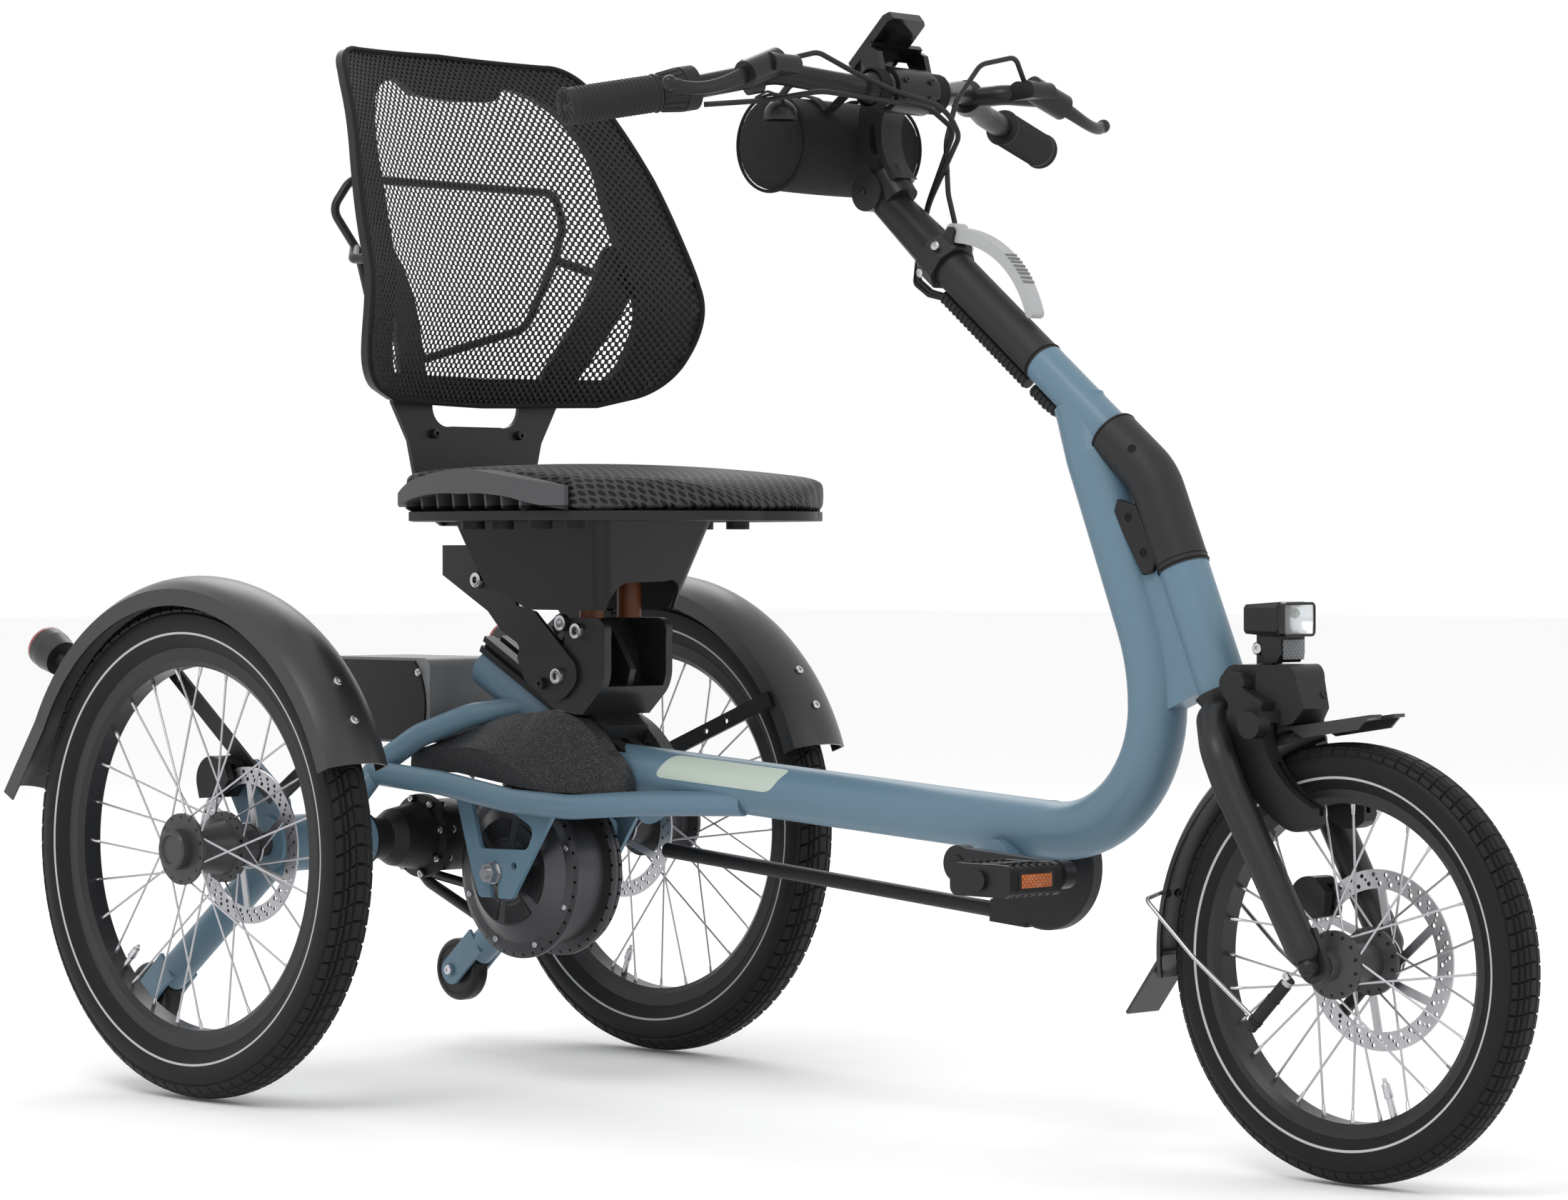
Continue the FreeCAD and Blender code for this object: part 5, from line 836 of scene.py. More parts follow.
def hang(piece, body, finish_name):
    """Gives the piece its finish and slot, and lets it ride on its body."""
    piece.data.materials.clear()
    piece.data.materials.append(finishes[finish_name])
    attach(piece, body)
    print("%-24s %6d faces on %s" % (piece.name, len(piece.data.polygons), body))

# %% [markdown]
# ## Tyre tread
# A road tyre is a plain carcass whose crown is cut by grooves into blocks. Its section is drawn once,
# from the bead over the sidewall to the crown. The crown lies a little lower than the real tyre, because
# the blocks are raised from it later. The rows lean, as the real blocks do.

# %% Tyre section
def add_outline(name, points, filled):
    """A closed outline: a circle of as many points, each moved to its place."""
    deselect_all()
    fill = "NGON" if filled else "NOTHING"
    bpy.ops.mesh.primitive_circle_add(vertices=len(points), radius=1, fill_type=fill)
    piece = bpy.context.object
    piece.name = name
    for vertex, point in zip(piece.data.vertices, points):
        vertex.co = point
    return piece


def circle_arc(start, middle, end, share):
    """A point on the arc through three points of the section, at a share of its length."""
    ax, ay = start
    bx, by = middle
    cx, cy = end
    double = 2 * (ax * (by - cy) + bx * (cy - ay) + cx * (ay - by))
    ux = ((ax**2 + ay**2) * (by - cy) + (bx**2 + by**2) * (cy - ay) + (cx**2 + cy**2) * (ay - by)) / double
    uy = ((ax**2 + ay**2) * (cx - bx) + (bx**2 + by**2) * (ax - cx) + (cx**2 + cy**2) * (bx - ax)) / double
    radius = math.hypot(ax - ux, ay - uy)
    first = math.atan2(ay - uy, ax - ux)
    sweep = (math.atan2(cy - uy, cx - ux) - first + math.pi) % (2 * math.pi) - math.pi
    turn = first + sweep * share
    return ux + radius * math.cos(turn), uy + radius * math.sin(turn)


RIM_HALF = 15.0


def tyre_section(radius, width, height, groove):
    """Half of the section from the bead to the crown: place across, and distance from the axle."""
    half = width / 2
    shoulder = 0.62 * half
    bead = (RIM_HALF, radius - height)
    bulge = (half, radius - 0.5 * height)
    corner = (shoulder, radius - 0.07 * height)
    points = [circle_arc(bead, bulge, corner, share) for share in (0, 0.12, 0.28, 0.45, 0.60, 0.70)]
    edge = circle_arc(bead, bulge, corner, 0.74)
    points.append((edge[0] - groove * 0.6, edge[1]))
    points.append((shoulder + 2.0 - groove * 0.5, corner[1] - 2.2 - groove * 0.5))
    points.append((shoulder * 0.78, radius - 0.045 * height - groove))
    points.append((shoulder * 0.36, radius - 0.010 * height - groove))
    return points


REAR_TYRE = dict(radius=REAR_WHEEL_RADIUS, width=50.0, height=50.0, groove=2.2)
FRONT_TYRE = dict(radius=FRONT_WHEEL_RADIUS, width=41.0, height=40.5, groove=1.7)
print("points on half a rear tyre's section:", len(tyre_section(**REAR_TYRE)))

# %% [markdown]
# The section is a circle of as many points, each moved to its place, and the spin operator carries it
# round the axle. An inset with use_individual works on every face by itself, which turns a plain band
# into blocks in one step. Modelling one block and copying it would leave seams between the copies.

# %% Tyre tread
def make_tyre(node_name, body, centre, radius, width, height, rows, groove, lean):
    """A tyre with raised tread blocks that stands for the CAD tyre."""
    half_section = tyre_section(radius, width, height, groove)
    section = [(-y, r) for y, r in half_section] + list(reversed(half_section))
    piece = add_outline(node_name + "_tread", [(r * MM, y * MM, 0) for y, r in section], filled=False)
    edit_mode(piece)
    bpy.ops.mesh.select_all(action="SELECT")
    bpy.ops.mesh.spin(steps=rows, angle=2 * math.pi, center=(0, 0, 0), axis=(0, 1, 0))
    bpy.ops.mesh.select_all(action="SELECT")
    bpy.ops.mesh.remove_doubles(threshold=0.00005)
    bpy.ops.mesh.normals_make_consistent(inside=False)
    bpy.ops.object.mode_set(mode="OBJECT")
    crown_from = (radius - 0.32 * height) * MM
    for vertex in piece.data.vertices:
        out = math.hypot(vertex.co.x, vertex.co.z)
        if out > crown_from:
            turn = Matrix.Rotation(lean * abs(vertex.co.y) / (width / 2 * MM), 3, "Y")
            vertex.co = turn @ vertex.co
    edit_mode(piece)
    tread_from = (radius - 0.27 * height) * MM
    pick_faces(piece, lambda middle, normal: math.hypot(middle.x, middle.z) > tread_from)
    bpy.ops.mesh.inset(thickness=0.75 * groove * MM, depth=groove * MM, use_individual=True)
    bpy.ops.object.mode_set(mode="OBJECT")
    piece.location = centre
    settle(piece, 32)
    hang(piece, body, node_name)
    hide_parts(node_name)


BLOCK_ROWS = 84
for side_name in ("left", "right"):
    make_tyre("tyre_" + side_name, side_name + "_wheel", wheel_centres["wheel_" + side_name], **REAR_TYRE,
              rows=BLOCK_ROWS, lean=0.075)
make_tyre("tyre_front", "front_wheel", wheel_centres["wheel_front"], **FRONT_TYRE, rows=BLOCK_ROWS,
          lean=0.035)

# %% [markdown]
# ## Bars and copies
# Most small fittings are turned pieces that occur many times. These helpers add a bar between two places,
# soften its edges, and copy a model to a list of stands. Linked copies would be lighter, but each piece
# needs its own mesh before the copies are joined.

# %% Bars and copies
def add_bar(name, start, end, radius, end_radius=None, sides=32):
    """A round bar or taper between two places, not yet applied."""
    way = end - start
    tip_radius = radius if end_radius is None else end_radius
    deselect_all()
    bpy.ops.mesh.primitive_cone_add(
        vertices=sides, radius1=radius * MM, radius2=tip_radius * MM,
        depth=way.length, location=(start + end) / 2, rotation=way.to_track_quat("Z", "Y").to_euler())
    piece = bpy.context.object
    piece.name = name
    return piece


def soften(piece, width, segments=2, angle=40):
    """Bevels the sharp edges."""
    apply_modifier(piece, "BEVEL", width=width * MM, segments=segments, limit_method="ANGLE",
                   angle_limit=math.radians(angle))
    return piece


def copy_piece(piece, matrix):
    """A copy with its own mesh, moved by a matrix."""
    twin = piece.copy()
    twin.data = piece.data.copy()
    bpy.context.scene.collection.objects.link(twin)
    twin.matrix_world = matrix @ piece.matrix_world
    return twin


def drop(piece):
    """Deletes a model that was only copied from."""
    bpy.data.objects.remove(piece, do_unlink=True)


def turn_to(way, place):
    """The matrix that stands a piece modelled along Z at the origin on a place, along a direction."""
    return Matrix.Translation(place) @ way.to_track_quat("Z", "Y").to_matrix().to_4x4()


def scatter(model, name, stands):
    """Copies a model to each (place, direction), joins the copies and drops the model."""
    twins = [copy_piece(model, turn_to(way, place)) for place, way in stands]
    drop(model)
    return settle(join_pieces(twins, name))

# %% [markdown]
# ## Spoke nipples and valves
# Each spoke ends in a small silver nipple in the rim, and the tube's valve stands between two of them.
# One nipple is a tapered bar with a square shoulder, and it is copied to every spoke. Each copy leans as
# its spoke does, which a plain circular array couldn't give.

# %% Nipples and valves
SPOKES = 28
SPOKE_STEP = 360.0 / SPOKES


def wheel_way(degrees):
    """The direction from an axle at an angle that grows upwards from the front."""
    return Vector((math.cos(math.radians(degrees)), 0, math.sin(math.radians(degrees))))


def make_nipple():
    """One nipple, standing on the origin along Z."""
    nipple = add_bar("nipple", Vector((0, 0, -0.002)), Vector((0, 0, 0.011)), 2.3, 1.5, 10)
    edit_mode(nipple)
    pick_faces(nipple, lambda middle, normal: normal.z > 0.9)
    bpy.ops.mesh.inset(thickness=0.0004, depth=0.0008)
    bpy.ops.object.mode_set(mode="OBJECT")
    return nipple


def make_valve():
    """One valve with its knurled cap, standing on the origin along Z."""
    stem = add_bar("stem", Vector((0, 0, -0.002)), Vector((0, 0, 0.020)), 3.4, 3.0, 16)
    cap = add_bar("cap", Vector((0, 0, 0.018)), Vector((0, 0, 0.031)), 4.2, 3.6, 14)
    tip = add_bar("tip", Vector((0, 0, 0.031)), Vector((0, 0, 0.036)), 2.2, 1.8, 12)
    return soften(join_pieces([stem, cap, tip], "valve"), 0.4)


def nipple_stands(centre, rim_inner, flanges, flange_radius):
    """Where each nipple leaves the rim, and the way its spoke runs."""
    stands = []
    for number in range(SPOKES):
        lean = 1 if (number // 2) % 2 else -1
        foot = wheel_way(number * SPOKE_STEP + lean * 3 * SPOKE_STEP) * (flange_radius - 5) * MM
        foot.y += flanges[number % 2] * MM
        head = wheel_way(number * SPOKE_STEP) * (rim_inner + 1) * MM
        stands.append((centre + head, (foot - head).normalized()))
    return stands


wheel_fittings = (("left", "left_wheel", wheel_centres["wheel_left"], 183.5, (-28.0, 24.0), 36.0, 243.0),
                  ("right", "right_wheel", wheel_centres["wheel_right"], 183.5, (28.0, -24.0), 36.0, 216.0),
                  ("front", "front_wheel", wheel_centres["wheel_front"], 139.5, (-26.0, 26.0), 30.0, 284.0))
for wheel_name, body, centre, rim_inner, flanges, flange_radius, valve_angle in wheel_fittings:
    nipples = scatter(make_nipple(), "nipples_" + wheel_name,
                      nipple_stands(centre, rim_inner, flanges, flange_radius))
    hang(nipples, body, "silver")
    valve_at = (round(valve_angle / SPOKE_STEP) + 0.5) * SPOKE_STEP
    valve = scatter(make_valve(), "valve_" + wheel_name,
                    [(centre + wheel_way(valve_at) * rim_inner * MM, -wheel_way(valve_at))])
    hang(valve, body, "silver")

# %% [markdown]
# ## Bolt heads
# The cap heads are what tells a reader where the trike is screwed together. A head is a short bar with a
# bevelled edge, whose top face is inset twice, the second time downwards, for its socket. A plain
# cylinder would look like a peg.

# %% A bolt head
def make_bolt(radius, height, socket=0.5):
    """One cap head that stands on the origin along Z."""
    head = add_bar("head", Vector((0, 0, -0.0002)), Vector((0, 0, height * MM)), radius, radius * 0.94, 24)
    soften(head, 0.18 * radius, 2)
    edit_mode(head)
    pick_faces(head, lambda middle, normal: normal.z > 0.99)
    bpy.ops.mesh.inset(thickness=radius * (0.82 - socket) * MM)
    bpy.ops.mesh.inset(thickness=0.0001, depth=-height * 0.45 * MM)
    bpy.ops.object.mode_set(mode="OBJECT")
    return head


def stand(x, y, z, way):
    """A stand for a bolt: its place and the way it looks."""
    return at(x, y, z), Vector(way).normalized()

# %% [markdown]
# Each group of bolts is a list of stands: a place on the trike and the way the head looks. They could be
# placed by hand one by one, but a list shows at once which bolts belong together, and both sides come
# from one loop.

# %% Bolts on the frame and seat
guard_bolts = []
for side in (-1, 1):
    for x, z, way in ((214.5, 424.5, (0.77, 0, 0.64)), (239.5, 387.8, (0.86, 0, 0.51)),
                      (-101.0, 507.0, (-0.37, 0, 0.93)), (-133.0, 492.0, (-0.49, 0, 0.87))):
        guard_bolts.append(stand(x, side * REAR_WHEEL_SIDE, z, way))
hang(scatter(make_bolt(5.0, 3.0), "guard_bolts", guard_bolts), "frame", "silver")

seat_bolts = []
for side in (-1, 1):
    for x, z, face in ((118, 523, 51), (241, 426, 51), (243, 480, 47), (266, 472, 47)):
        seat_bolts.append(stand(x, side * face, z, (0, side, 0)))
hang(scatter(make_bolt(8.6, 6.6), "seat_bolts", seat_bolts), "seat", "silver")

small_bolts = [stand(216, side * 51, 418, (0, side, 0)) for side in (-1, 1)]
small_bolts += [stand(55.2, side * 59, 675, (1, 0, 0)) for side in (-1, 1)]
hang(scatter(make_bolt(5.0, 6.4), "seat_small_bolts", small_bolts), "seat", "black_paint")

caster_bolts = [stand(-215, side * 215 + out * 20.4, 83, (0, out, 0))
                for side in (-1, 1) for out in (-1, 1)]
hang(scatter(make_bolt(5.6, 2.4), "caster_bolts", caster_bolts), "frame", "silver")

case_bolts = []
for number in range(8):
    way = wheel_way(45 * number + 11)
    for y, side in ((-36, -1), (-20, 1)):
        case_bolts.append((at(0, y, REAR_WHEEL_RADIUS) + way * 40 * MM, Vector((0, side, 0))))
hang(scatter(make_bolt(4.0, 2.4), "case_bolts", case_bolts), "frame", "silver")

# %% [markdown]
# ## Battery fittings
# The battery is held by a key lock and has a capped charging socket. Both are at its rear, where a person
# can reach them. The photograph doesn't show that side, so they are a plain guess, and each is a bolt
# head of another size.

# %% Battery fittings
BATTERY_REAR = -130.0
battery_lock = scatter(make_bolt(9.0, 2.6, socket=0.7), "battery_lock",
                       [stand(BATTERY_REAR, -34, 400, (-1, 0, 0))])
hang(battery_lock, "frame", "silver")
charge_cap = scatter(make_bolt(13.0, 3.2, socket=0.2), "charge_cap",
                     [stand(BATTERY_REAR, 32, 396, (-1, 0, 0))])
hang(charge_cap, "frame", "grip_rubber")
side_screws = [stand(29.5, side * 58, 426, (0, side, 0)) for side in (-1, 1)]
side_screws += [stand(-112, side * 58, 426, (0, side, 0)) for side in (-1, 1)]
hang(scatter(make_bolt(4.2, 1.8), "battery_screws", side_screws), "frame", "silver")

# %% [markdown]
# ## Label band
# A plain pale-green film lies on the main tube near its rear, with slanted, rounded ends. It carries no
# words. A mask in the paint would have soft edges and no thickness. So it is a curved strip, a fifth of a
# millimetre off the paint: a grid bent round the tube by its own angles.

# %% Label band
TUBE_REAR = at(275, 0, 331)
TUBE_FRONT = at(990, 0, 286.4)
TUBE_RADIUS = 27.0


def tube_point(along, degrees, off):
    """A point over the main tube, along it and round it from its right side upwards."""
    way = (TUBE_FRONT - TUBE_REAR).normalized()
    up = Vector((-way.z, 0, way.x))
    turn = math.radians(degrees)
    out = up * math.sin(turn) + Vector((0, -1, 0)) * math.cos(turn)
    return TUBE_REAR + way * along * MM + out * (TUBE_RADIUS + off) * MM


def make_label(name, start, end, low, high, slant, corner):
    """A film on the tube between two places along it and two angles round it."""
    deselect_all()
    bpy.ops.mesh.primitive_grid_add(x_subdivisions=40, y_subdivisions=16, size=2)
    label = bpy.context.object
    label.name = name
    middle = (low + high) / 2
    half_turn = (high - low) / 2
    half_height = math.radians(half_turn) * TUBE_RADIUS
    for vertex in label.data.vertices:
        x, y = vertex.co.x, vertex.co.y
        height = abs(y) * half_height
        bite = max(0.0, height - (half_height - corner))
        short = corner - math.sqrt(max(0.0, corner**2 - bite**2))
        half_run = (end - start) / 2 - short
        along = (start + end) / 2 + x * half_run + slant * y
        vertex.co = tube_point(along, middle + y * half_turn, 0.2)
    apply_modifier(label, "SOLIDIFY", thickness=0.00012, offset=1.0)
    return settle(label, 60)


label = make_label("label_band", start=88, end=252, low=2, high=62, slant=8, corner=8)
hang(label, "frame", "label_film")

# %% [markdown]
# ## Hub motor
# The motor's cover is pressed in wedge-shaped fields between six arms, and screwed on near its edge. One
# wedge is a thin ring sector with a bevelled rim. It is modelled once for each side and copied round the
# axle, so that all the arms between the fields are equally wide.

# %% Motor cover
def add_strip(name, steps, bend):
    """A strip one face wide: a grid whose points are moved by a function of (step, side)."""
    deselect_all()
    bpy.ops.mesh.primitive_grid_add(x_subdivisions=steps, y_subdivisions=1, size=2)
    piece = bpy.context.object
    piece.name = name
    for vertex in piece.data.vertices:
        vertex.co = bend(round((vertex.co.x + 1) / 2 * steps), vertex.co.y)
    return piece


def make_wedge(name, inner, outer, degrees, thickness):
    """A ring sector in the plane across Z, standing on the origin."""
    steps = 8

    def sector(step, side):
        """The place of one point of the strip on the sector."""
        turn = math.radians(degrees * (step / steps - 0.5))
        reach = (inner if side < 0 else outer) * MM
        return reach * math.cos(turn), reach * math.sin(turn), 0

    piece = add_strip(name, steps, sector)
    edit_mode(piece)
    bpy.ops.mesh.select_all(action="SELECT")
    bpy.ops.mesh.extrude_region_move(TRANSFORM_OT_translate={"value": (0, 0, thickness * MM)})
    bpy.ops.mesh.select_all(action="SELECT")
    bpy.ops.mesh.normals_make_consistent(inside=False)
    pick_faces(piece, lambda middle, normal: normal.z > 0.9)
    bpy.ops.mesh.inset(thickness=0.0022, depth=-0.0006)
    bpy.ops.object.mode_set(mode="OBJECT")
    return soften(piece, 0.5)


def round_axle(centre, side, degrees):
    """The matrix that lays a piece modelled across Z onto a side of a cross axle, turned round it."""
    lay = Matrix.Rotation(math.radians(-90 * side), 4, "X")
    return Matrix.Translation(centre) @ Matrix.Rotation(math.radians(degrees), 4, "Y") @ lay


FIELD_COUNT = 6
cover_fields = []
for side, face, inner, outer in ((-1, 43.6, 31, 54), (1, 38.8, 44, 66)):
    wedge = make_wedge("wedge", inner, outer, degrees=46, thickness=1.6)
    centre = MOTOR_HUB + Vector((0, side * face * MM, 0))
    for number in range(FIELD_COUNT):
        degrees = 360 / FIELD_COUNT * number + 12
        cover_fields.append(copy_piece(wedge, round_axle(centre, side, degrees)))
    drop(wedge)
hang(settle(join_pieces(cover_fields, "motor_fields")), "motor", "dark_alloy")

BOLT_CIRCLE = 79
motor_bolts = []
for number in range(8):
    way = wheel_way(45 * number + 20)
    for side, face in ((-1, 30.2), (1, 36.8)):
        head_foot = MOTOR_HUB + way * BOLT_CIRCLE * MM + Vector((0, side * face * MM, 0))
        motor_bolts.append((head_foot, Vector((0, side, 0))))
hang(scatter(make_bolt(3.4, 1.8), "motor_bolts", motor_bolts), "motor", "silver")

# %% [markdown]
# ## Tail lamps
# Each tail lamp is a dark pod with a domed red lens at its rear. Half a sphere would bulge too far. The
# dome is the end of a bar, inset and pushed out in three steps, each less than the one before.

# %% Tail lamps
def make_dome(name, foot, way, radius, height, sides=40):
    """A shallow lens that stands on a place along a direction."""
    lens = add_bar(name, Vector((0, 0, 0)), Vector((0, 0, height * 0.42 * MM)), radius, radius, sides)
    edit_mode(lens)
    for shrink, lift in ((0.14, 0.28), (0.24, 0.20), (0.28, 0.10)):
        pick_faces(lens, lambda middle, normal: normal.z > 0.9 and middle.z > 0)
        bpy.ops.mesh.inset(thickness=radius * shrink * MM, depth=height * lift * MM)
    bpy.ops.object.mode_set(mode="OBJECT")
    lens.matrix_world = turn_to(way, foot) @ lens.matrix_world
    return settle(lens, 60)


LAMP_WAY = Vector((-26, 0, 12)).normalized()
POD_BEHIND = -235.6
POD_HEIGHT = 440.4
POD_LENGTH = 28.6
lenses = []
for side in (-1, 1):
    lens_foot = at(POD_BEHIND, side * REAR_WHEEL_SIDE, POD_HEIGHT) + LAMP_WAY * POD_LENGTH * MM
    lenses.append(make_dome("lens", lens_foot, LAMP_WAY, radius=21.4, height=9.0))
hang(join_pieces(lenses, "tail_lenses"), "frame", "lamp_red")

# %% [markdown]
# ## Headlight
# The headlight is a black bezel round a bowl of bright facets, behind a clear pane. The bezel starts as a
# block: its four corner edges are bevelled, and its front is inset and pushed in. A boolean would make
# the same hollow, with a less even mesh round it.

# %% Headlight bezel
LAMP_FACE = 1148.5
LAMP_MIDDLE = 492.0


def rounded_frame(name, x, half_width, half_height, depth, wall, corner):
    """A rounded frame across X: a block with bevelled corners, its front inset and pushed in."""
    deselect_all()
    bpy.ops.mesh.primitive_cube_add(size=2, location=at(x + depth / 2, 0, LAMP_MIDDLE),
                                    scale=(depth / 2 * MM, half_width * MM, half_height * MM))
    bpy.ops.object.transform_apply(location=False, rotation=False, scale=True)
    piece = bpy.context.object
    piece.name = name
    edit_mode(piece)
    bpy.ops.mesh.select_mode(type="EDGE")
    bpy.ops.mesh.select_all(action="DESELECT")
    edit_mesh = bmesh.from_edit_mesh(piece.data)
    for edge in edit_mesh.edges:
        way = (edge.verts[0].co - edge.verts[1].co).normalized()
        edge.select_set(abs(way.x) > 0.9)
    bmesh.update_edit_mesh(piece.data)
    bpy.ops.mesh.bevel(offset=corner * MM, segments=4)
    pick_faces(piece, lambda middle, normal: normal.x > 0.9)
    bpy.ops.mesh.inset(thickness=wall * MM)
    bpy.ops.mesh.inset(thickness=0.0002, depth=-(depth - 0.4) * MM)
    bpy.ops.object.mode_set(mode="OBJECT")
    return settle(piece, 40)


bezel = rounded_frame("lamp_bezel", LAMP_FACE - 0.5, half_width=22.5, half_height=15.2, depth=5.5, wall=2.0,
                      corner=5.0)
hang(bezel, "fork_body", "gloss_black")

# %% [markdown]
# The bowl's facets come from a coarse grid that is pushed back towards its middle and shaded flat. A fine
# grid would look like a smooth spoon, and the real bowl glitters.

# %% Headlight bowl
def make_bowl(name, x, half_width, half_height, depth):
    """The faceted reflector: a grid pushed back towards its middle."""
    deselect_all()
    bpy.ops.mesh.primitive_grid_add(x_subdivisions=10, y_subdivisions=8, size=2)
    bowl = bpy.context.object
    bowl.name = name
    for vertex in bowl.data.vertices:
        y, z = vertex.co.x, vertex.co.y
        reach = min(1.0, math.hypot(y, z * 0.9))
        vertex.co = at(x + depth * reach**2, y * half_width, LAMP_MIDDLE + z * half_height)
    apply_modifier(bowl, "SOLIDIFY", thickness=0.0003, offset=0.0)
    return settle(bowl, 5)


bowl = make_bowl("lamp_bowl", LAMP_FACE + 0.3, half_width=19.8, half_height=12.6, depth=2.6)
hang(bowl, "fork_body", "chrome")
EMITTER_HEIGHT = 497
emitter = add_bar("lamp_emitter", at(LAMP_FACE + 0.2, 0, EMITTER_HEIGHT),
                  at(LAMP_FACE + 2.6, 0, EMITTER_HEIGHT), 4.5, 3.0)
soften(emitter, 0.5)
hang(settle(emitter), "fork_body", "label_film")

# %% [markdown]
# The clear pane in front and the reflector below are small plates with bevelled edges. A thin block with
# a bevel is enough for them, because their depth comes from the finish: the pane's transmission and the
# reflector's prisms.

# %% Pane and lower reflector
def make_plate(name, centre, half_x, half_y, half_z, bevel):
    """A small plate with bevelled edges."""
    deselect_all()
    bpy.ops.mesh.primitive_cube_add(size=2, location=centre, scale=(half_x * MM, half_y * MM, half_z * MM))
    plate = bpy.context.object
    plate.name = name
    bpy.ops.object.transform_apply(location=False, rotation=False, scale=True)
    return soften(plate, bevel)


pane = make_plate("lamp_pane", at(LAMP_FACE + 4.2, 0, LAMP_MIDDLE), 0.5, 20.2, 12.9, bevel=0.35)
hang(settle(pane), "fork_body", "lamp_glass")
lower_reflex = make_plate("lamp_lower_reflex", at(1146.4, 0, 465.5), 1.0, 14.5, 9.0, bevel=0.7)
hang(settle(lower_reflex), "fork_body", "reflex_grey")

# %% [markdown]
# ## Soft goods
# Foam and padding round off wherever they are free. A bevel would round every edge alike. Here a copy of
# the solid is remeshed to even quads and blown up as cloth. No point may move far, and the result is
# applied, so nothing is simulated when the picture is taken.

# %% Blowing up a pad
def copy_node(node_name, name):
    """A merged copy of a CAD node's mesh."""
    deselect_all()
    twin = nodes[node_name].copy()
    twin.data = nodes[node_name].data.copy()
    twin.parent = None
    twin.matrix_world = nodes[node_name].matrix_world.copy()
    bpy.context.scene.collection.objects.link(twin)
    twin.name = name
    twin.data.name = name
    settle(twin)
    return twin


def shrink_all(piece, distance):
    """Draws a closed form in along its normals."""
    edit_mode(piece)
    bpy.ops.mesh.select_all(action="SELECT")
    bpy.ops.transform.shrink_fatten(value=-distance * MM)
    bpy.ops.object.mode_set(mode="OBJECT")


def puff_up(piece, voxel, pressure, cap, frames=20):
    """Remeshes a closed form and blows it up as cloth, with no point moved by more than the cap."""
    apply_modifier(piece, "REMESH", mode="VOXEL", voxel_size=voxel * MM)
    start = [vertex.co.copy() for vertex in piece.data.vertices]
    deselect_all()
    piece.select_set(True)
    bpy.context.view_layer.objects.active = piece
    cloth = piece.modifiers.new("cloth", "CLOTH")
    cloth.settings.use_pressure = True
    cloth.settings.uniform_pressure_force = pressure
    cloth.settings.effector_weights.gravity = 0
    cloth.settings.quality = 5
    for number in range(1, frames + 1):
        bpy.context.scene.frame_set(number)
    bpy.ops.object.modifier_apply(modifier=cloth.name)
    bpy.context.scene.frame_set(1)
    for vertex, place in zip(piece.data.vertices, start):
        step = vertex.co - place
        if step.length > cap * MM:
            vertex.co = place + step.normalized() * cap * MM
    apply_modifier(piece, "SMOOTH", factor=0.5, iterations=4)
    return piece

# %% [markdown]
# ## Seat cushion
# The cushion is a foam pad under spacer cloth, crowned between the seat's two wings. It starts from its
# CAD solid, drawn in a little because it swells. The pressure is low: the real foam is firm, and the pad
# stays inside its shell.

# %% Seat cushion
cushion = copy_node("seat_cushion", "seat_pad")
shrink_all(cushion, 1.5)
puff_up(cushion, voxel=5.0, pressure=2.5, cap=3.0)
apply_modifier(cushion, "SUBSURF", levels=1, render_levels=1)
settle(cushion, 60)
hang(cushion, "seat", "honeycomb")
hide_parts("seat_cushion")

# %% [markdown]
# ## Backrest net
# The net is one sheet stretched over the front of the border and folded round its edge. It could be
# draped by simulation, but it is drawn tight and has no folds to find. So the front faces of its CAD
# solid are copied, and the loop along their rim becomes a rounded roll of the same cloth.

# %% Backrest net
def front_sheet(node_name, name):
    """Only the faces of a thin panel that look forward."""
    sheet = copy_node(node_name, name)
    edit_mode(sheet)
    pick_faces(sheet, lambda middle, normal: normal.x < 0.35)
    bpy.ops.mesh.delete(type="FACE")
    bpy.ops.mesh.select_all(action="SELECT")
    bpy.ops.mesh.delete_loose()
    bpy.ops.object.mode_set(mode="OBJECT")
    return sheet


def rim_roll(sheet, name, radius):
    """A round roll along a sheet's open edge."""
    deselect_all()
    roll = sheet.copy()
    roll.data = sheet.data.copy()
    bpy.context.scene.collection.objects.link(roll)
    roll.name = name
    edit_mode(roll)
    bpy.ops.mesh.select_all(action="SELECT")
    bpy.ops.mesh.region_to_loop()
    bpy.ops.mesh.select_all(action="INVERT")
    bpy.ops.mesh.delete(type="EDGE")
    bpy.ops.object.mode_set(mode="OBJECT")
    print(name, "rim edges", len(roll.data.edges))
    bpy.ops.object.convert(target="CURVE")
    roll.data.bevel_depth = radius * MM
    roll.data.bevel_resolution = 4
    bpy.ops.object.convert(target="MESH")
    return bpy.context.object


net = front_sheet("back_mesh", "back_net")
net_roll = rim_roll(net, "back_net_roll", radius=2.8)
settle(net, 80)
settle(net_roll, 60)
hang(net, "seat", "net")
hang(net_roll, "seat", "webbing")
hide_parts("back_mesh")

# %% [markdown]
# ## Handlebar bag
# The bag is a small padded roll of woven nylon with round end panels. It starts as a round bar with
# bevelled ends, is blown up as cloth and sags a little under its own weight. A plain cylinder would look
# like a tin.

# %% Bag roll
BAG_MIDDLE = (BAR_MIDDLE[0] - 98, 0.0, BAR_MIDDLE[2] - 48)
BAG_RADIUS = 47.0
BAG_HALF = 84.0


def bag_place(x, y, z):
    """A place measured from the bag's middle."""
    return at(BAG_MIDDLE[0] + x, BAG_MIDDLE[1] + y, BAG_MIDDLE[2] + z)


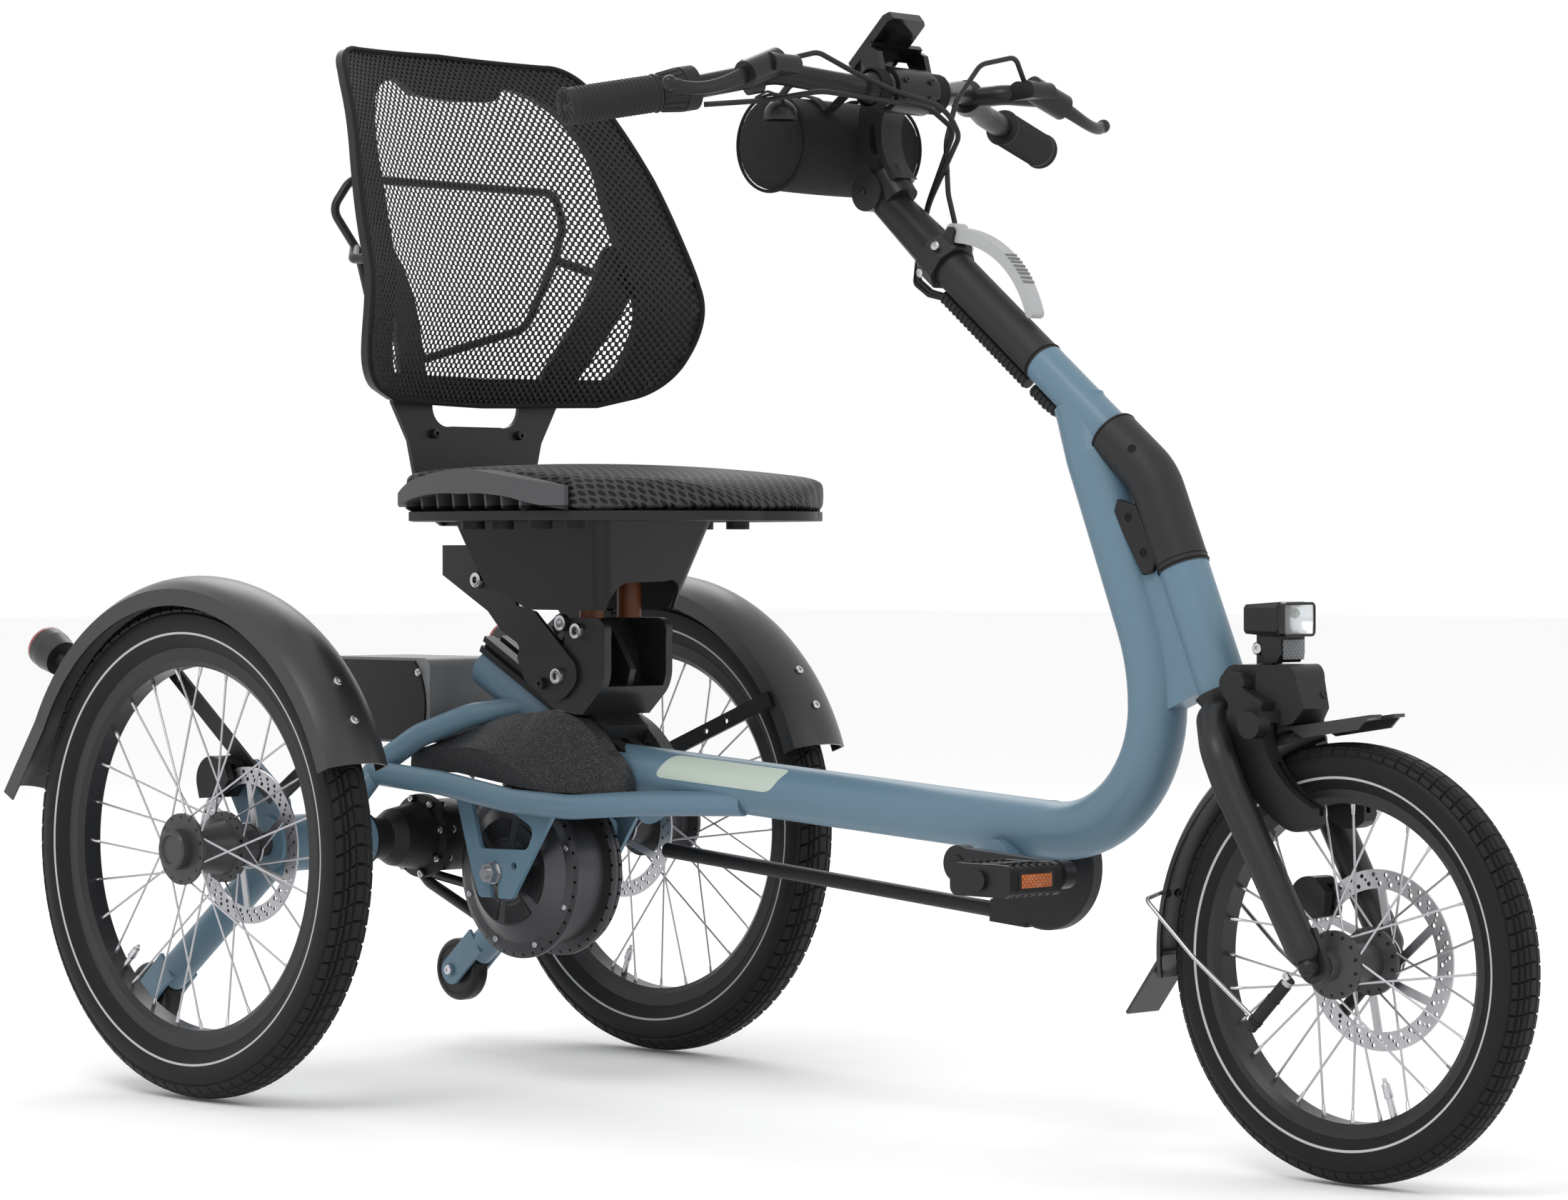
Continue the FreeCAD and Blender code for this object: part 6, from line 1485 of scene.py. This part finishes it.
BAG_SAG = 1.5
bag = add_bar("bag_roll", bag_place(0, -BAG_HALF, 0), bag_place(0, BAG_HALF, 0), BAG_RADIUS - 2, sides=48)
soften(bag, 6.0, 3)
settle(bag)
puff_up(bag, voxel=4.0, pressure=2.0, cap=2.0)
for vertex in bag.data.vertices:
    share = (vertex.co.y / (BAG_HALF * MM)) ** 2
    below = (BAG_MIDDLE[2] * MM - vertex.co.z) / (BAG_RADIUS * MM)
    vertex.co.z -= BAG_SAG * MM * max(0.0, 1 - share) * max(0.0, below)
apply_modifier(bag, "SUBSURF", levels=1, render_levels=1)
settle(bag, 60)
hang(bag, "column", "nylon")
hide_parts("handlebar_bag")

# %% [markdown]
# Piping covers the seams where the round end panels meet the roll. It is a torus, made once about the
# origin and copied to both seams.

# %% Bag piping
def make_ring(major, minor, around=64, section=10):
    """A round ring about the origin, across Z."""
    deselect_all()
    bpy.ops.mesh.primitive_torus_add(major_radius=major * MM, minor_radius=minor * MM,
                                     major_segments=around, minor_segments=section)
    return bpy.context.object


ACROSS = Vector((0, 1, 0))
piping = scatter(make_ring(BAG_RADIUS - 0.6, 1.6), "bag_piping",
                 [(bag_place(0, side * (BAG_HALF - 5), 0), ACROSS) for side in (-1, 1)])
hang(piping, "column", "webbing")

# %% [markdown]
# Two webbing straps hold the bag. Each runs round the bar and back over the roll. A strap is a strip one
# face wide, bent by a list of places and given its thickness by a Solidify modifier. Cloth would give the
# same line and take much longer.

# %% Bag straps
STRAP_SIDE = 40
STRAP_HALF = 6.5
BAR_LOOP_RADIUS = 18.6


def make_strap(name, side):
    """One webbing strap: a loop round the bar that runs back over the bag."""
    bar_loop = [(BAR_MIDDLE[0] + BAR_LOOP_RADIUS * math.cos(turn),
                 BAR_MIDDLE[2] + BAR_LOOP_RADIUS * math.sin(turn))
                for turn in [math.radians(100 - 22 * step) for step in range(15)]]
    bag_arc = [(BAG_MIDDLE[0] + (BAG_RADIUS + 0.8) * math.cos(turn),
                BAG_MIDDLE[2] + (BAG_RADIUS + 0.8) * math.sin(turn))
               for turn in [math.radians(38 + 14 * step) for step in range(10)]]
    line = bag_arc[::-1] + bar_loop

    def bend(step, edge):
        """The place of one point of the strip on the strap."""
        x, z = line[step]
        return at(x, side * STRAP_SIDE + edge * STRAP_HALF, z)

    strap = add_strip(name, len(line) - 1, bend)
    apply_modifier(strap, "SOLIDIFY", thickness=0.0016, offset=0.0)
    return strap


straps = [make_strap("strap", side) for side in (-1, 1)]
hang(settle(join_pieces(straps, "bag_straps"), 60), "column", "webbing")

# %% [markdown]
# The zip along the top is a row of small teeth. One tooth is a tapered bar with six sides, and a loop
# sets the others a fixed pitch apart, as a zip's teeth are.

# %% Bag zip
TOOTH_COUNT = 70
TOOTH_PITCH = 2
ZIP_TURN = math.radians(112)
zip_way = Vector((math.cos(ZIP_TURN), 0, math.sin(ZIP_TURN)))
zip_start = bag_place(0, -69, 0) + zip_way * (BAG_RADIUS + 0.4) * MM
teeth = [(zip_start + ACROSS * TOOTH_PITCH * number * MM, zip_way) for number in range(TOOTH_COUNT)]
tooth_model = add_bar("tooth", Vector((0, 0, -0.0006)), Vector((0, 0, 0.0008)), 1.6, 0.7, 6)
hang(scatter(tooth_model, "bag_zip", teeth), "column", "mat_black")

# %% [markdown]
# ## Wrapped cables
# The cables under the column run in a flexible split sleeve, which looks like a row of close rings. A
# bump would vanish along its outline. One ring is copied along the sleeve: the long run turns with the
# column, and the last rings stay on the frame.

# %% Wrapped cables
COLUMN_TOP = at(727, 0, 827)
COLUMN_SEAM = at(853, 0, 726)
COLUMN_WAY = (COLUMN_SEAM - COLUMN_TOP).normalized()
COLUMN_UP = COLUMN_WAY.cross(ACROSS)


def column_point(along, off=0.0, side=0.0):
    """A place along the upper column from its top, above its axis and to the left."""
    return COLUMN_TOP + (COLUMN_WAY * along + COLUMN_UP * off) * MM + ACROSS * side * MM


WRAP_OFF = -25.8
RING_PITCH = 6.2
column_rings = [(column_point(24 + RING_PITCH * number, WRAP_OFF), COLUMN_WAY) for number in range(22)]
hang(scatter(make_ring(6.1, 1.3, 20, 8), "cable_rings_column", column_rings), "column", "black_plastic")
frame_rings = [(column_point(169 + RING_PITCH * number, WRAP_OFF + max(0, number - 3) * 0.8), COLUMN_WAY)
               for number in range(6)]
hang(scatter(make_ring(6.1, 1.2, 20, 8), "cable_rings_frame", frame_rings), "frame", "black_plastic")

# %% [markdown]
# ## Column fittings
# The clamp at the column's top is closed by silver bolts. The column's sleeve and the elbow cover have
# dark seam rings at their ends, the cover has a screw on each side, and a black stop with two sunk screws
# sits beneath it. The stop is an outline given its thickness by one extrude.

# %% Column fittings
clamp_bolts = [(column_point(0, off, side * 23.4), Vector((0, side, 0)) + COLUMN_UP * tilt)
               for side in (-1, 1) for off, tilt in ((15.5, 0.25), (-15.5, -0.25))]
hang(scatter(make_bolt(4.6, 2.6), "column_bolts", clamp_bolts), "column", "silver")

sleeve_rings = [scatter(make_ring(19.6, 0.9, 64, 8), "ring", [(column_point(158), COLUMN_WAY)]),
                scatter(make_ring(19.7, 1.2, 64, 8), "ring", [(column_point(14), COLUMN_WAY)])]
hang(settle(join_pieces(sleeve_rings, "sleeve_rings")), "column", "mat_black")

HEAD_WAY = Vector((0.3935, 0, -0.9193))
COVER_TOP = at(936, 0, 659.4)
COVER_END = at(1021, 0, 537)
cover_rings = [scatter(make_ring(23.8, 0.9, 64, 8), "ring",
                       [(COVER_TOP + COLUMN_WAY * 2 * MM, COLUMN_WAY),
                        (COVER_END - HEAD_WAY * 2 * MM, HEAD_WAY)]),
               scatter(make_ring(23.8, 0.6, 64, 8), "ring", [(COVER_END - HEAD_WAY * 7 * MM, HEAD_WAY)])]
hang(settle(join_pieces(cover_rings, "cover_rings")), "frame", "mat_black")

cover_holes = [stand(975.8, side * 19.6, 645.0, (0.34, side * 0.84, 0.43)) for side in (-1, 1)]
cover_screws = scatter(make_bolt(4.2, 0.6, socket=0.66), "cover_screws", cover_holes)
hang(cover_screws, "frame", "mat_black")


STOP_THICKNESS = 6.0


def make_stop(name, side):
    """One side of the black stop under the elbow cover: a plate with rounded edges."""
    corners = [(958, 600), (980, 594), (1004, 545), (1000, 533), (988, 530), (966, 566), (954, 588)]
    plate = add_outline(name, [at(x, side * 14.1, z) for x, z in corners], filled=True)
    edit_mode(plate)
    bpy.ops.mesh.select_all(action="SELECT")
    bpy.ops.mesh.extrude_region_move(TRANSFORM_OT_translate={"value": (0, side * STOP_THICKNESS * MM, 0)})
    bpy.ops.mesh.select_all(action="SELECT")
    bpy.ops.mesh.normals_make_consistent(inside=False)
    bpy.ops.object.mode_set(mode="OBJECT")
    return soften(plate, 2.0, 3, 25)


stops = [make_stop("stop", side) for side in (-1, 1)]
hang(settle(join_pieces(stops, "head_stops")), "frame", "black_plastic")
stop_screws = [stand(x, side * 19.9, z, (0, side, 0))
               for side in (-1, 1) for x, z in ((972, 583), (990, 551))]
stop_heads = scatter(make_bolt(4.4, 0.7, socket=0.66), "stop_screws", stop_screws)
hang(stop_heads, "frame", "mat_black")

# %% [markdown]
# ## Quick-release lever
# The light lever has moulded ridges for the thumb. They could be spaced on a straight line, but the lever
# is curved. Each ridge lies where the lever's own surface is nearest to a point above it, so the row
# follows the curve.

# %% Lever ridges
RIDGE_PITCH = 6.6
RIDGE_HALF = 7.6
lever_ridges = []
for number in range(8):
    above = column_point(66 + RIDGE_PITCH * number, 90)
    place = nodes["qr_lever"].closest_point_on_mesh(above)[1]
    place.y = 0
    half = ACROSS * RIDGE_HALF * MM
    lever_ridges.append(add_bar("ridge", place - half, place + half, 1.3, sides=10))
hang(settle(join_pieces(lever_ridges, "lever_ridges")), "column", "ridge_grey")

# %% [markdown]
# ## Grips
# Each grip has fine rings along it, a thicker flange at both ends, and short ribs on its end cap. A bump
# would do for the rings seen from above, but not where they break the outline, so they are geometry.

# %% Grips
def bar_place(x, y, z):
    """A place measured from the middle of the handlebar's clamp."""
    return at(BAR_MIDDLE[0] + x, BAR_MIDDLE[1] + y, BAR_MIDDLE[2] + z)


def grip_line(side):
    """The outer end of a grip, and the way from there towards the stem."""
    end = bar_place(-116, side * 326, -29)
    return end, (bar_place(-78, side * 200, -5) - end).normalized()


BAND_PITCH = 4.2
for side_name, side in (("left", 1), ("right", -1)):
    grip_end, grip_way = grip_line(side)
    bands = [scatter(make_ring(17.0, 0.7, 32, 6), "bands",
                     [(grip_end + grip_way * (8 + BAND_PITCH * number) * MM, grip_way)
                      for number in range(19)]),
             scatter(make_ring(16.8, 1.6, 40, 8), "flanges",
                     [(grip_end + grip_way * place * MM, grip_way) for place in (-2.6, 90.0)])]
    cap_foot = grip_end - grip_way * 4.2 * MM
    across_way = grip_way.cross(ACROSS)
    for number in range(12):
        turn = math.radians(30 * number)
        out = (across_way.normalized() * math.cos(turn)
               + grip_way.cross(across_way).normalized() * math.sin(turn))
        bands.append(add_bar("cap_rib", cap_foot + out * 5 * MM, cap_foot + out * 14.5 * MM, 1.0, sides=8))
    hang(settle(join_pieces(bands, "grip_bands_" + side_name)), "column", "grip_rubber")

# %% [markdown]
# The twist shifter inboard of the right grip has raised ribs to hold it by. They follow a slight cone, so
# each is a thin bar between two circles of a different radius.

# %% Shifter ribs
SHIFTER_RIBS = 16
grip_end, grip_way = grip_line(-1)
shifter_start = grip_end + grip_way * 93 * MM
side_way = grip_way.cross(Vector((0, 0, 1))).normalized()
up_way = side_way.cross(grip_way).normalized()
shifter_bars = []
for number in range(SHIFTER_RIBS):
    turn = math.radians(360 / SHIFTER_RIBS * number)
    out = side_way * math.cos(turn) + up_way * math.sin(turn)
    shifter_bars.append(add_bar("rib", shifter_start + out * 17.2 * MM + grip_way * 2 * MM,
                                shifter_start + out * 19.6 * MM + grip_way * 22 * MM, 1.3, sides=8))
hang(settle(join_pieces(shifter_bars, "shifter_ribs")), "column", "grip_rubber")

# %% [markdown]
# ## Display
# The display's glass looks back at the rider. It is a thin dark pane with a bevelled edge and three keys
# below. A pane is made flat at the origin, where its sizes are easy to set, and then laid onto the
# display's slope by one matrix.

# %% Display
SCREEN_LOW = bar_place(-51, 0, 25)
SCREEN_WAY = (bar_place(2, 0, 74) - SCREEN_LOW).normalized()
SCREEN_BACK = Vector((SCREEN_WAY.z, 0, -SCREEN_WAY.x))


def make_pane(name, along, half_run, half_width, lift, thickness, bevel):
    """A thin pane on the display's face."""
    deselect_all()
    centre = SCREEN_LOW + SCREEN_WAY * along * MM - SCREEN_BACK * lift * MM
    turn = Matrix((ACROSS, SCREEN_WAY, -SCREEN_BACK)).transposed().to_4x4()
    bpy.ops.mesh.primitive_cube_add(size=2)
    piece = bpy.context.object
    piece.name = name
    piece.scale = (half_width * MM, half_run * MM, thickness / 2 * MM)
    bpy.ops.object.transform_apply(location=False, rotation=False, scale=True)
    piece.matrix_world = Matrix.Translation(centre) @ turn
    soften(piece, bevel, 2)
    return piece


glass = make_pane("display_glass", 40, half_run=28, half_width=22.5, lift=0.5, thickness=1.2, bevel=0.4)
hang(settle(glass), "column", "gloss_black")
keys = []
for place in (-13, 0, 13):
    key = make_pane("key", 7.0, half_run=2.6, half_width=5.0, lift=0.6, thickness=1.6, bevel=0.5)
    key.location.y += place * MM
    keys.append(key)
hang(settle(join_pieces(keys, "display_keys")), "column", "grey_plastic")

# %% [markdown]
# ## Handlebar screws
# The stem's clamp has four screws at its front, the stem's pivot has one on each side, and the lid on
# each brake lever's reservoir has two. All are copies of one small head, because such fittings share one
# size of screw.

# %% Handlebar screws
bar_bolts = [stand(BAR_MIDDLE[0] + 21.4, y, BAR_MIDDLE[2] + z, (1, 0, 0))
             for y in (-17, 17) for z in (-9, 9)]
for side in (-1, 1):
    bar_bolts.append(stand(BAR_MIDDLE[0] - 34, side * 20.0, BAR_MIDDLE[2] - 95, (0, side, 0)))
    for lid_side in (168, 188):
        bar_bolts.append(stand(BAR_MIDDLE[0] + 2, side * lid_side, BAR_MIDDLE[2] + 19.4, (0, 0, 1)))
hang(scatter(make_bolt(3.4, 1.8), "bar_bolts", bar_bolts), "column", "black_paint")

# %% [markdown]
# ## Pedals
# Each pedal has an orange reflector on its front and rear rail, in a shallow black frame, and raised
# studs on its treads. The frame could have an opening, but the reflector stands a little proud of it, so
# a plain plate behind it looks the same.

# %% Pedals
pedal_places = {"left": (698.07, 151.5, 269.26), "right": (941.93, -151.5, 260.74)}
for side_name, (x, y, z) in pedal_places.items():
    body = side_name + "_pedal"
    reflectors = [make_plate("reflector", at(x + way * 36.6, y, z), 0.8, 20, 6.2, bevel=0.5)
                  for way in (-1, 1)]
    hang(settle(join_pieces(reflectors, "pedal_reflectors_" + side_name)), body, "reflex_orange")
    frames = [make_plate("frame", at(x + way * 36.1, y, z), 0.9, 23, 8.4, bevel=0.5) for way in (-1, 1)]
    hang(settle(join_pieces(frames, "pedal_frames_" + side_name)), body, "black_plastic")
    studs = []
    for row in (-29, 29):
        for column in range(6):
            for up in (-1, 1):
                studs.append((at(x + row, y - 26 + 10.4 * column, z + up * 13.2), Vector((0, 0, up))))
    stud_model = add_bar("stud", Vector((0, 0, 0)), Vector((0, 0, 0.0022)), 2.2, 1.4, 8)
    hang(scatter(stud_model, "pedal_studs_" + side_name, studs), body, "black_plastic")

# %% [markdown]
# ## Axles, clips and caps
# The front axle ends in domed caps, and the cranks have flat ones over their bolts. The clips of the wire
# stay, the knobs of the headlight's bracket and the eyes on the front mudguard are small turned pieces
# too. A cap is a short bar whose end is inset and raised twice.

# %% Axle fittings
def make_cap(radius, height):
    """A domed cap that stands on the origin along Z."""
    cap = add_bar("cap", Vector((0, 0, -0.0005)), Vector((0, 0, height * 0.6 * MM)), radius,
                  radius * 0.92, 28)
    edit_mode(cap)
    pick_faces(cap, lambda middle, normal: normal.z > 0.9)
    bpy.ops.mesh.inset(thickness=radius * 0.3 * MM, depth=height * 0.25 * MM)
    bpy.ops.mesh.inset(thickness=radius * 0.3 * MM, depth=height * 0.12 * MM)
    bpy.ops.object.mode_set(mode="OBJECT")
    return cap


stay_clips = []
for side in (-1, 1):
    clip_low = at(FRONT_AXLE_AHEAD - 64.5, side * 62, FRONT_WHEEL_RADIUS - 57)
    clip_high = at(FRONT_AXLE_AHEAD - 24, side * 62, FRONT_WHEEL_RADIUS - 15.5)
    clip_way = (clip_high - clip_low).normalized()
    stay_clips.append(soften(add_bar("clip", clip_low, clip_high, 6.0), 0.8))
    stay_clips.append(scatter(make_ring(6.0, 0.7, 24, 8), "rings",
                              [(clip_low + clip_way * place * MM, clip_way) for place in (8, 11, 38)]))
hang(settle(join_pieces(stay_clips, "stay_clips")), "fork_body", "black_plastic")

lamp_knobs = [stand(1116.1, side * 10.8, 466.0, (0, side, 0)) for side in (-1, 1)]
hang(scatter(make_bolt(5.2, 3.2), "lamp_knobs", lamp_knobs), "fork_body", "silver")
guard_eyes = [stand(1008.8, side * 7, 243.3, (0.95, side * 0.1, -0.24)) for side in (-1, 1)]
guard_eyes.append(stand(1126.3, -44.0, 430.9, (0.45, 0, 0.89)))
guard_eyes.append(stand(1169.1, 14.0, 426.1, (0.96, 0, 0.27)))
eye_heads = scatter(make_bolt(4.0, 1.4, socket=0.6), "guard_eyes", guard_eyes)
hang(eye_heads, "fork_body", "dark_alloy")

axle_caps = [stand(FRONT_AXLE_AHEAD, side * 59.5, FRONT_WHEEL_RADIUS, (0, side, 0)) for side in (-1, 1)]
hang(scatter(make_cap(8.5, 12.0), "front_axle_caps", axle_caps), "fork_body", "dark_alloy")
crank_caps = [stand(820, side * 84, 265, (0, side, 0)) for side in (-1, 1)]
hang(scatter(make_cap(8.5, 3.0), "crank_caps", crank_caps), "cranks", "dark_alloy")

stay_screws = [stand(FRONT_AXLE_AHEAD - 20.5, side * 66.0, 184, (0, side, 0)) for side in (-1, 1)]
hang(scatter(make_bolt(4.0, 2.4), "stay_screws", stay_screws), "fork_body", "silver")
